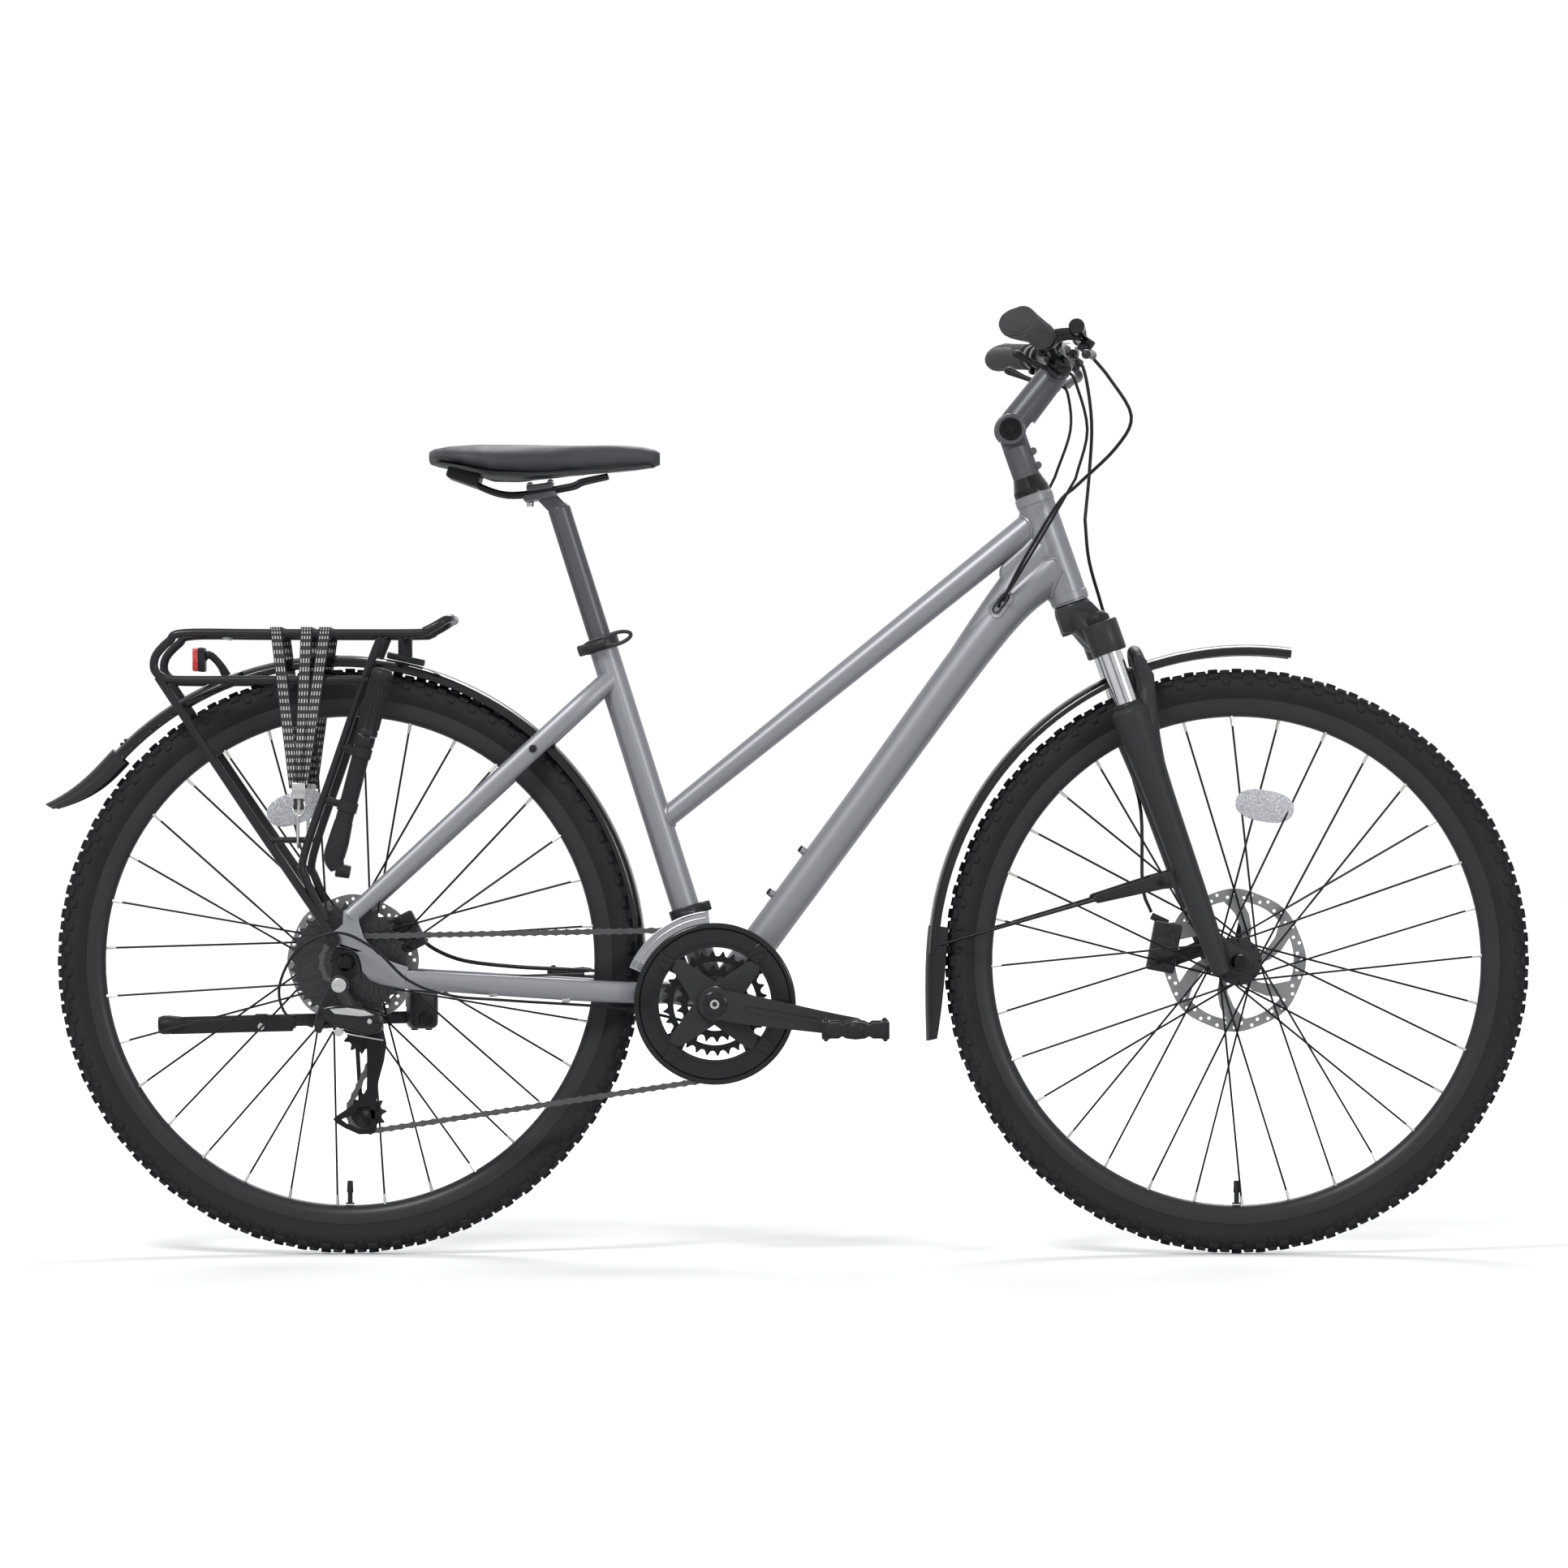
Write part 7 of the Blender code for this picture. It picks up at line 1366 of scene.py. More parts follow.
def make_stem():
    """The stem's foot with the headset cone, and the hinged arm that clamps the bar."""
    low, shoulder = HEAD_TUBE_LENGTH + GAP, STEM_PIVOT_HEIGHT - STEM_ARM_RADIUS - 0.003
    base = STEM_BASE_RADIUS
    body = turned(
        [(0, shoulder), (base - 0.001, shoulder), (base, shoulder - 0.001), (base, low + 0.021),
         (base + 0.0015, low + 0.016), (HEAD_TUBE_RADIUS - 0.002, low + 0.008),
         (HEAD_TUBE_RADIUS - 0.001, low + 0.005), (HEAD_TUBE_RADIUS - 0.001, low), (0, low)],
        HEAD_BOTTOM, STEER_UP)
    half = STEM_KNUCKLE_WIDTH / 2
    knuckle = crossbar(stem_pivot(), -half, half, STEM_ARM_RADIUS - 0.004, 56,
                  soft=0.001)
    neck = block(steering((shoulder + STEM_PIVOT_HEIGHT) / 2 - 0.005),
                 (2 * base - 0.001, STEM_KNUCKLE_WIDTH - 0.001, STEM_PIVOT_HEIGHT - shoulder + 0.002),
                 rotation_for(STEER_FORWARD, STEER_UP), 0.003, 3)
    cone = turned(
        [(base - 0.003, low + 0.0215), (base + 0.0006, low + 0.0215), (base + 0.002, low + 0.0163),
         (HEAD_TUBE_RADIUS - 0.0014, low + 0.0085), (HEAD_TUBE_RADIUS - 0.0005, low + 0.0052),
         (HEAD_TUBE_RADIUS - 0.0005, low + 0.0004), (base - 0.003, low + 0.0004)], HEAD_BOTTOM, STEER_UP)
    dressed(cone, "headset_cone", "gloss", "stem_base")
    lugs = []
    for height in (0.17, 0.188):
        lug = steering(height, base + 0.001)
        lugs.append(crossbar(lug, -0.008, 0.008, 0.0045, 24, soft=0.0008))
    sleeve = rod(steering(low - 0.01), steering(STEM_PIVOT_HEIGHT - STEM_ARM_RADIUS - 0.007),
                 STEERER_RADIUS + GAP, 48)
    pin = crossbar(stem_pivot(), -0.03, 0.03, 0.0043, 24)
    dressed(cut(joined([body, knuckle, neck, *lugs]), [sleeve, pin]), "stem_base", "anodised")
    pivot, centre, run = stem_pivot(), bar_centre(), stem_run()
    inner, outer = half + GAP, STEM_ARM_RADIUS
    hinge = crossbar(pivot, -outer, outer, outer, 64, soft=0.0024)
    bolt = crossbar(pivot, -outer + 0.001, outer - 0.001, 0.004, 24)
    arm_body = rod(pivot + run * 0.002, centre - run * 0.004, outer, 64, 0.0172)
    turn = rotation_for(STEER_FORWARD, STEER_UP)
    gap = joined([crossbar(pivot, -inner, inner, outer + 0.0012, 56),
                  block(pivot - STEER_UP * 0.016, (0.06, 2 * inner, 0.032), turn, 0.0003)])
    clamp = crossbar(centre, -0.0215, 0.0215, BAR_CLAMP_RADIUS, 56, soft=0.001)
    face = block(centre + run * 0.014, (0.01, 0.042, 0.026),
                 rotation_for(run, Vector((-run.z, 0, run.x))), 0.0022, 3)
    arm = cut(joined([hinge, arm_body, clamp, face]), [gap])
    socket = crossbar(centre, -0.04, 0.04, BAR_RADIUS + 0.0023, 48)
    dressed([cut(arm, [socket]), bolt], "stem_arm", "anodised")
    up = Vector((-run.z, 0, run.x))
    bolts = []
    for side in (-1, 1):
        bolts.append(turned(
            [(0, -0.001), (0.0138, -0.001), (0.0138, 0.0008), (0.0126, 0.0018), (0.0098, 0.0018),
             (0.0092, 0.0006), (0.0066, 0.0006), (0.006, 0.0016),
             (0, 0.0016)], across(side * outer, pivot), LEFT * side, 56))
    for y in (-0.015, 0.015):
        for rise in (-0.0085, 0.0085):
            head = centre + run * 0.0175 + up * rise + LEFT * y
            bolts.append(rod(head, head + run * 0.003, 0.0034, 20, soft=0.0006))
    dressed(bolts, "stem_bolts", "black_steel", "stem_arm")


def bar_points():
    """The bar's centre line on the left side, from the clamp to its end."""
    centre = bar_centre()
    return [
        centre, centre + LEFT * 0.03,
        centre + Vector((-0.08 * BAR_SWEEP, 0.24 * BAR_HALF_LENGTH, 0.36 * BAR_RISE)),
        centre + Vector((-0.25 * BAR_SWEEP, 0.4 * BAR_HALF_LENGTH, 0.62 * BAR_RISE)),
        centre + Vector((-BAR_SWEEP, BAR_HALF_LENGTH, BAR_RISE)),
    ]


def bar_at(y):
    """The bar's centre and direction at a distance from the middle."""
    bend, end = bar_points()[3:]
    run = (end - bend).normalized()
    return bend + run * ((abs(y) - bend.y) / run.y), run


def make_handlebar():
    """The bar: it swells to the clamp, rises and sweeps back."""
    points = bar_points()
    run = (points[4] - points[3]).normalized()
    straight = [points[3].lerp(points[4], share) for share in (0.2, 0.6)]
    half = [*points[:4], *straight, points[4] - run * 0.003]
    other = [across(-point.y, point) for point in reversed(half[1:])]
    bar = tube(other + half, BAR_RADIUS, 9, steps=6)
    centre = bar_centre()
    wide = BAR_RADIUS + 0.002
    sleeve = turned(
        [(0, -0.034), (BAR_RADIUS, -0.034), (wide, -0.026), (wide, 0.026), (BAR_RADIUS, 0.034), (0, 0.034)],
        centre, LEFT, 48)
    dressed([bar, sleeve], "handlebar", "satin")


def make_grips():
    """Ribbed rubber grips with palm wings and a locking ring at the inner end."""
    end, run = bar_at(BAR_HALF_LENGTH)
    back = Vector((-1, 0, -0.25)).normalized()
    length, radius = GRIP_LENGTH, GRIP_RADIUS
    profile = [(BAR_RADIUS + GAP, -length), (0.016, -length), (0.0164, -length + 0.001),
               (0.0164, -length + 0.006), (0.0158, -length + 0.0075)]
    count = bpy.context.scene.bicycle_sizes.grip_ribs
    for index in range(count):
        start = -length + 0.009 + index * (length - 0.016) / count
        pitch = (length - 0.016) / count
        profile += [(radius - 0.0009, start), (radius, start + 0.3 * pitch), (radius, start + 0.75 * pitch)]
    profile += [(radius, -0.006), (0.0164, -0.005), (0.0164, -0.001), (0.0156, 0), (0.002, 0),
                (0.002, -0.0025), (BAR_RADIUS + GAP, -0.0025)]
    sleeve = turned(profile, end, run, 48)
    wing_path = [
        end - run * length * 0.8 + back * 0.002, end - run * length * 0.45 + back * 0.009,
        end - run * length * 0.15 + back * 0.015, end - run * 0.002 + back * 0.014,
    ]
    wing = tube(wing_path, 0.018, 8, radii=[0.0125, 0.0145, 0.015, 0.014], steps=8)
    caps = [rod(end - run * 0.02, end - run * 0.0008, 0.0165, 56, soft=0.0035),
            rod(end - run * 0.005, end, 0.0125, 56, soft=0.0005)]
    for cap in caps:
        for vertex in cap.data.vertices:
            vertex.co += back * (0.38 * (vertex.co - end).dot(back) + 0.0068)
    socket = rod(end - run * (length + 0.02), end - run * 0.0057, BAR_RADIUS + GAP, 48)
    dressed_pair([sleeve, cut(joined([wing, *caps]), [socket])], "grip", "grip")


def lever_pivot():
    place, _ = bar_at(BRAKE_MOUNT_Y)
    return place + Vector((0.046, 0.004, -0.012))


def lever_axis():
    return Vector((0.54, 0, 0.84)).normalized()


def shifter_centre():
    place, _ = bar_at(SHIFTER_Y)
    return place + Vector((0.006, 0, -0.03))


def shifter_axis():
    return Vector((0.62, 0, 0.78)).normalized()


def make_brake_mounts():
    """Both brake bodies with their bar clamps, master cylinders and shifter pods."""
    place, run = bar_at(BRAKE_MOUNT_Y)
    shift_place, _ = bar_at(SHIFTER_Y)
    clamp = BAR_RADIUS + 0.0045
    pivot, axis = lever_pivot(), lever_axis()
    master_start, master_end = place + Vector((0.036, 0.03, 0.013)), place + Vector((0.044, -0.045, 0.001))
    pod, pod_axis = shifter_centre(), shifter_axis()
    neck = [place + Vector((0.008, 0, 0.002)), place + Vector((0.026, 0.001, 0.006)),
            pivot + Vector((-0.002, 0, 0.016))]
    pieces = [
        rod(place - run * 0.008, place + run * 0.008, clamp, 48, soft=0.0012),
        tube(neck, 0.008, 6, radii=[0.01, 0.008, 0.0075]),
        rod(pivot + axis * 0.0045, pivot + axis * 0.013, 0.008, 32, soft=0.001),
        rod(shift_place - run * 0.006, shift_place + run * 0.006, clamp, 48, soft=0.001),
        tube([shift_place, shift_place.lerp(pod, 0.5), pod + pod_axis * 0.008], 0.008, 5),
        turned([(0, -0.002), (0.0178, -0.002), (0.019, -0.0008), (0.0188, 0.006), (0.0168, 0.0125),
                (0.013, 0.0162), (0, 0.017)], pod, pod_axis, 56),
        tube([pod + Vector((0, 0.006, 0.008)), place + Vector((0.006, 0, -0.008))], 0.006, 4, steps=1),
    ]
    cutters = [
        rod(shift_place - run * 0.05, place + run * 0.05, BAR_RADIUS + GAP, 40),
        rod(pivot - axis * 0.006, pivot + axis * 0.01, 0.0033, 24),
        rod(pod - pod_axis * 0.006, pod + pod_axis * 0.01, 0.0033, 24),
    ]
    master_run = (master_end - master_start).normalized()
    length = (master_end - master_start).length
    master = turned(
        [(0, 0), (0.0082, 0), (0.0095, 0.0014), (0.0095, 0.012), (0.0086, 0.0135), (0.0086, 0.0155),
         (0.0095, 0.017), (0.0095, length - 0.01), (0.0072, length - 0.006), (0.006, length), (0, length)],
        master_start, master_run, 48)
    cap = rod(pod + pod_axis * 0.015, pod + pod_axis * 0.0178, 0.009, 40, soft=0.001)
    bolts = []
    for centre, width in ((place, 0.008), (shift_place, 0.006)):
        head = centre + Vector((-0.004, 0, -clamp - 0.0015))
        bolts.append(rod(head - run * width * 0.5, head + run * width * 0.5, 0.0046, 20, soft=0.0006))
    dressed_pair([cut(joined(pieces), cutters), master, cap, *bolts], "brake_mount", "gloss")


def make_brake_levers():
    pivot, axis = lever_pivot(), lever_axis()
    path = [
        pivot + Vector((0.003, 0.004, -0.002)), pivot + Vector((0.008, 0.02, -0.008)),
        pivot + Vector((0.008, 0.045, -0.011)), pivot + Vector((0.003, 0.075, -0.012)),
        pivot + Vector((-0.002, 0.108, -0.014)),
    ]
    blade = tube(path, 0.006, 7, radii=[0.0038, 0.005, 0.005, 0.0048, 0.005], steps=10)
    tip = ball(path[-1], 0.0056)
    hub = rod(pivot - axis * 0.0042, pivot + axis * 0.0042, 0.008, 36, soft=0.001)
    pin = rod(pivot, pivot + axis * 0.009, 0.003, 20)
    dressed_pair([blade, tip, hub, pin], "brake_lever", "satin")


def make_shift_levers():
    pod, axis = shifter_centre(), shifter_axis()
    low = pod - axis * (0.002 + GAP)
    tip = low + Vector((-0.042, 0.02, 0.02)) - axis * 0.002
    hub = rod(low - axis * 0.0045, low, 0.011, 40, soft=0.001)
    blade = tube([low - axis * 0.0023, low + (tip - low) * 0.55 - axis * 0.003, tip - axis * 0.002],
                 0.006, 6, radii=[0.003, 0.0032, 0.0055], steps=8)
    pad = ball(tip - axis * 0.002, 0.0062, (1, 1, 0.8))
    pin = rod(low - axis * 0.001, low + axis * 0.01, 0.003, 20)
    dressed_pair([hub, blade, pad, pin], "shift_lever", "plastic")


# Hoses and cables, whose routes are chosen and repeated from the part

def crossing(route, radius, name, node, turning_part, last_body="frame"):
    """A hose in two pieces, split at one point of its route."""
    route = [Vector(point) for point in route]
    upper = tube(route[: turning_part + 1], radius, 4, steps=5)
    lower = tube(route[turning_part:], radius, 4, steps=5)
    for obj, part, bodies, start, end in (
        (upper, "upper", ("cockpit", "steering_column"), route[0], route[turning_part]),
        (lower, "lower", ("steering_column", last_body), route[turning_part], route[-1]),
    ):
        obj.name = obj.data.name = f"{name}_{part}"
        obj.data.materials.clear()
        obj.data.materials.append(LOOKS["sheath"])
        only(obj)
        bpy.ops.object.shade_smooth_by_angle(angle=math.radians(50))
        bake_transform(obj)
        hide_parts(node)


def make_hoses():
    """Both brake hoses and the shift cables."""
    hose, cable = bpy.context.scene.bicycle_sizes.hose_radius, bpy.context.scene.bicycle_sizes.cable_radius
    hose_start = lever_pivot() + Vector((0, -0.0525, 0.0117))
    shift_start = shifter_centre() + Vector((0.0173, -0.0064, -0.0047))
    rear_brake = [
        across(-hose_start.y, hose_start), (0.356, -0.098, 1.076), (0.378, -0.09, 1.05),
        (0.404, -0.082, 1.006), (0.386, -0.07, 0.9685), (0.3385, -0.052, 0.923),
        (0.317, -0.047, 0.902), (0.276, -0.041, 0.834), (0.259, -0.03, 0.801),
        (0.2533, -0.02, 0.7888), (0.2485, -0.008, 0.778), (0.244, 0.002, 0.7715),
        (0.222, 0.0, 0.742), (0.15, -0.001, 0.634), (0.02, -0.003, 0.458),
    ]
    front_brake = [
        hose_start, (0.356, 0.102, 1.07), (0.364, 0.093, 1.01),
        (0.361, 0.082, 0.949), (0.355, 0.07, 0.889), (0.36, 0.072, 0.839),
        (0.376, 0.0915, 0.785), (0.395, 0.092, 0.715), (0.409, 0.092, 0.6),
        (0.423, 0.066, 0.533), (0.424, 0.048, 0.444), (0.4345, 0.046, 0.4108),
    ]
    right_shift = [
        across(-shift_start.y, shift_start), (0.336, -0.116, 1.044), (0.351, -0.092, 0.989),
        (0.338, -0.066, 0.932), (0.3045, -0.057, 0.874), (0.266, -0.05, 0.81),
        (0.251, -0.031, 0.789), (0.2473, -0.02, 0.7808), (0.243, -0.008, 0.7705),
        (0.214, -0.011, 0.735), (0.164, -0.011, 0.647),
    ]
    left_shift = [
        shift_start, (0.336, 0.116, 1.044), (0.338, 0.09, 0.9985),
        (0.318, 0.066, 0.94), (0.298, 0.056, 0.9), (0.27, 0.048, 0.84),
        (0.253, 0.03, 0.796), (0.2485, 0.02, 0.783), (0.244, 0.009, 0.7725),
        (0.222, 0.01, 0.745), (0.1866, 0.0, 0.6677), (0.164, -0.01, 0.647),
    ]
    crossing(rear_brake, hose, "rear_brake_hose", "rear_brake_hose", 5)
    crossing(front_brake, hose, "front_brake_hose", "front_brake_hose", 4, "fork_lower")
    crossing(right_shift, cable, "right_shift_cable", "shift_cables", 3)
    crossing(left_shift, cable, "left_shift_cable", "shift_cables", 3)
    loop = [
        (-0.11, -0.02, 0.276), (-0.2, -0.034, 0.296), (-0.345, -0.054, 0.307), (-0.409, -0.084, 0.3135),
        (-0.459, -0.096, 0.332), (-0.5, -0.098, 0.37), (-0.5448, -0.098, 0.389), (-0.59, -0.098, 0.369),
        (-0.6126, -0.0965, 0.326), (-0.6048, -0.093, 0.291), (-0.5734, -0.0858, 0.2765),
    ]
    dressed(tube(loop, cable, 4, steps=6), "rear_derailleur_cable", "sheath")


# Seat

def rail_clamp():
    """The middle of the seatpost's clamp, behind the post's own line."""
    return seat_line(SEAT_TUBE_LENGTH + SEATPOST_EXPOSED) + Vector((-0.0225, 0, 0.023))


def rail_run():
    return Vector((0.0766, 0, 0.011)).normalized()


def saddle_rear():
    return rail_clamp() + Vector((-0.1335, 0, 0.014))


def make_seatpost():
    top, clamp, run = seat_line(SEAT_TUBE_LENGTH + SEATPOST_EXPOSED), rail_clamp(), rail_run()
    head = (top - clamp).normalized()
    post = [
        rod(seat_line(SEAT_TUBE_LENGTH - 0.13), top, SEATPOST_RADIUS, 56),
        rod(top, top + SEAT_UP * 0.005, SEATPOST_RADIUS - 0.0008, 56, SEATPOST_RADIUS - 0.004),
        block(top.lerp(clamp, 0.42) - UP * 0.001, (0.034, 0.025, 0.021), rotation_for(head, LEFT.cross(head)),
              0.004, 3),
        block(clamp - UP * 0.008, (0.04, 0.052, 0.0085), rotation_for(run, LEFT.cross(-run)), 0.0022, 3),
        block(clamp + UP * 0.0024, (0.032, 0.054, 0.008), rotation_for(run, LEFT.cross(-run)), 0.0022, 3),
    ]
    bores = []
    for side in (-1, 1):
        centre = across(side * RAIL_SPACING / 2, clamp) + UP * RAIL_DROP
        bores.append(rod(centre - run * 0.03, centre + run * 0.03, RAIL_RADIUS + GAP, 24))
    dressed(cut(joined(post), bores), "seatpost", "anodised")
    bolts = []
    for along in (-0.0125, 0.0125):
        foot = clamp + run * along
        bolts.append(rod(foot - UP * 0.015, foot + UP * 0.0085, 0.0027, 20))
        bolts.append(rod(foot - UP * 0.0185, foot - UP * 0.012, 0.0044, 24, soft=0.0008))
        bolts.append(rod(across(-0.006, foot + UP * 0.0068), across(0.006, foot + UP * 0.0068), 0.0042, 24,
                         soft=0.0008))
    dressed(bolts, "seatpost_clamp_bolts", "silver", "seatpost")


# Shares of the saddle's length from the rear, each with a share of its half width
SADDLE_PLAN = (
    (0.0, 0.34), (0.03, 0.62), (0.08, 0.86), (0.15, 0.97), (0.22, 1.0), (0.3, 0.96), (0.38, 0.86),
    (0.46, 0.7), (0.54, 0.52), (0.62, 0.39), (0.72, 0.315), (0.82, 0.285), (0.92, 0.255), (0.97, 0.205),
    (1.0, 0.11),
)


def saddle_half(share):
    """The saddle's half width at a share of its length from the rear."""
    for (low, first), (high, second) in zip(SADDLE_PLAN, SADDLE_PLAN[1:]):
        if share <= high:
            return (first + (second - first) * (share - low) / (high - low)) * SADDLE_WIDTH / 2
    return SADDLE_PLAN[-1][1] * SADDLE_WIDTH / 2


def make_saddle_base():
    """The moulded shell under the cover, and the two rails."""
    rear, clamp, run = saddle_rear(), rail_clamp() + UP * RAIL_DROP, rail_run()
    right = [(rear.x + (0.02 + 0.96 * share) * SADDLE_LENGTH, 0.9 * half * SADDLE_WIDTH / 2)
             for share, half in SADDLE_PLAN]
    outline = right + [(x, -y) for x, y in reversed(right)]
    shell = plate([outline], 0, SADDLE_SHELL, 0.0015, 2)
    moved(shell,
          Matrix.Translation((0, 0, rear.z + SADDLE_SHELL)) @ Matrix.Rotation(math.radians(-90), 4, "X"))
    for vertex in shell.data.vertices:
        share = (vertex.co.x - rear.x) / SADDLE_LENGTH
        vertex.co.z += max(0.0, along_saddle(SADDLE_EDGE, min(1.0, share)) - 0.0004)
    turn = rotation_for(Vector((0.94, 0, -0.34)), Vector((0.34, 0, 0.94)))
    hump = block(rear + Vector((0.042, 0, 0.002)), (0.04, 0.08, 0.017), turn, 0.004, 3)
    dressed([shell, hump], "saddle_shell", "plastic", "saddle_base")
    rails = []
    for side in (-1, 1):
        y = side * RAIL_SPACING / 2
        route = [
            across(side * 0.03, rear + Vector((0.05, 0, 0.002))),
            across(side * 0.028, rear + Vector((0.06, 0, -0.01))),
            across(y, clamp - run * 0.034), across(y, clamp + run * 0.034),
            across(y * 0.9, clamp + run * 0.052 + UP * 0.004),
            across(y * 0.6, rear + Vector((0.215, 0, 0.002))),
        ]
        rails.append(tube(route, RAIL_RADIUS, 5, steps=8))
    dressed(rails, "saddle_rails", "black_steel", "saddle_base")


# Shares of its length again, with heights of the crown and of the lower edge above the shell's foot
SADDLE_TOP = (
    (0.0, 0.032), (0.03, 0.035), (0.1, 0.0375), (0.25, 0.0388), (0.45, 0.039), (0.65, 0.0388), (0.8, 0.0384),
    (0.92, 0.0372), (0.97, 0.035), (1.0, 0.0315),
)
SADDLE_EDGE = (
    (0.0, 0.017), (0.05, 0.0145), (0.12, 0.0105), (0.2, 0.0045), (0.28, -0.001), (0.38, -0.0016),
    (0.5, 0.0012), (0.62, 0.0042), (0.75, 0.0072), (0.88, 0.0105), (0.97, 0.013), (1.0, 0.0155),
)


def along_saddle(heights, share):
    """A height above the shell's foot at a share of the saddle's length, eased between the given ones."""
    for (low, first), (high, second) in zip(heights, heights[1:]):
        if share <= high:
            t = (share - low) / (high - low)
            return first + (second - first) * t * t * (3 - 2 * t)
    return heights[-1][1]


def make_saddle_cover():
    """The padded cover: a lofted skin over foam, swollen by cloth pressure and grained."""
    rear = saddle_rear()
    rows, columns = 56, 28
    bpy.ops.object.select_all(action="DESELECT")
    bpy.ops.mesh.primitive_cylinder_add(vertices=columns, radius=1, depth=1, end_fill_type="NGON")
    obj = bpy.context.object
    bpy.ops.object.mode_set(mode="EDIT")
    for row in range(1, rows):
        bpy.ops.mesh.select_all(action="SELECT")
        bpy.ops.mesh.bisect(plane_co=(0, 0, -0.5 + row / rows), plane_no=(0, 0, 1))
    bpy.ops.object.mode_set(mode="OBJECT")
    for vertex in obj.data.vertices:
        share = min(1.0, max(0.0, vertex.co.z + 0.5))
        share = 0.5 - 0.5 * math.cos(math.pi * share)
        half = saddle_half(share)
        edge, crown = along_saddle(SADDLE_EDGE, share), along_saddle(SADDLE_TOP, share)
        side, top = vertex.co.x, vertex.co.y
        width = math.copysign(abs(side) ** 0.8, side)
        brim = edge + 0.38 * (crown - edge)
        if top >= 0:
            z = brim + (crown - brim) * top**0.8
            dent = 0.0022 * top * math.exp(-((side * half / 0.01) ** 2))
            z -= dent * math.sin(math.pi * min(1, share * 1.3))
        else:
            z = brim + (brim - edge) * top
        tuck = 1.0 if top >= 0 else 1.0 + 0.14 * top
        vertex.co = (rear.x + share * SADDLE_LENGTH, width * half * tuck, rear.z + z)
    facing_out(obj)
    skin = obj.modifiers.new("skin", "SUBSURF")
    skin.levels = skin.render_levels = 1
    apply_modifier(obj, "skin")
    swell(obj, 0.0014)
    dressed(obj, "saddle_cover", "vinyl", smooth=60)
    piping = []
    for side in (-1, 1):
        points = []
        for step in range(40):
            share = 0.03 + 0.93 * step / 39
            half = saddle_half(share)
            points.append(Vector((rear.x + share * SADDLE_LENGTH, side * half * 0.9,
                                  rear.z + along_saddle(SADDLE_EDGE, share) + 0.001)))
        piping.append(tube(points, 0.0011, 2, steps=2))
    dressed(piping, "saddle_piping", "vinyl", "saddle_cover")


def swell(obj, cap):
    """Lets cloth pressure round a padded skin, and holds each point to a short way."""
    rest = [vertex.co.copy() for vertex in obj.data.vertices]
    cloth = obj.modifiers.new("padding", "CLOTH")
    cloth.settings.use_pressure = True
    cloth.settings.uniform_pressure_force = 2.0
    cloth.settings.effector_weights.gravity = 0
    cloth.settings.quality = 6
    scene = bpy.context.scene
    for step in range(1, 13):
        scene.frame_set(step)
    apply_modifier(obj, "padding")
    scene.frame_set(1)
    for vertex, before in zip(obj.data.vertices, rest):
        way = vertex.co - before
        if way.length > cap:
            vertex.co = before + way.normalized() * cap


def collar_bolt(along=0.0, forward=0.0, y=0.0):
    """A point from the middle of the seat collar's bolt, behind the tube."""
    outer = (SEAT_TUBE_RADIUS + GAP) / math.cos(math.pi / 14) + 0.0035
    middle = SEAT_TUBE_LENGTH - (SEAT_COLLAR_HEIGHT + 0.001) / 2
    return seat_line(middle + along, forward - outer - 0.0035, y)


def make_seat_collar():
    low, high = SEAT_TUBE_LENGTH - SEAT_COLLAR_HEIGHT, SEAT_TUBE_LENGTH - 0.001
    inner, outer = SEAT_TUBE_RADIUS + GAP, SEAT_TUBE_RADIUS + 0.004
    profile = [(inner, low), (outer - 0.0008, low), (outer, low + 0.0008), (outer, high - 0.0008),
               (outer - 0.0008, high), (inner, high)]
    band = turned(profile, BOTTOM_BRACKET, SEAT_UP)
    turn = rotation_for(SEAT_FORWARD, SEAT_UP)
    pieces = [band]
    for side in (-1, 1):
        pieces.append(block(collar_bolt(0, 0.0015, side * 0.006), (0.014, 0.0078, 0.013), turn, 0.0022, 3))
    dressed(pieces, "seat_collar", "satin")
    out = 0.01 + GAP
    ear = collar_bolt()
    silver = [
        crossbar(ear, -out - 0.002, out + 0.002, 0.0025, 24),
        crossbar(ear, out, out + 0.005, 0.005, 32, soft=0.0008),
    ]
    dressed(silver, "seat_clamp_bolt", "silver", "seat_clamp_lever")
    path = [collar_bolt(0, 0, -out - 0.004), collar_bolt(0.0002, 0.016, -out - 0.015),
            collar_bolt(0.0005, 0.03, -out - 0.0185)]
    loop = []
    for step in range(28):
        turn = 2 * math.pi * step / 28
        forward = 0.044 - 0.018 * math.cos(turn)
        loop.append(collar_bolt(0.0005 + 0.0068 * math.sin(turn), forward, -out - 0.017))
    lever = [
        crossbar(ear, -out, -out - 0.009, 0.0055, 32, soft=0.0008),
        tube(path, 0.0048, 7, radii=[0.0046, 0.0048, 0.004], flat=0.6, steps=8),
        tube(loop, 0.0024, 5, closed=True, steps=1),
    ]
    dressed(lever, "seat_clamp_lever", "satin")


# Mudguards

def rear_guard_centre():
    return from_rear_axle(-0.014, 0, -0.003)


def front_guard_centre():
    return from_front_axle(0.012, 0, -0.004)


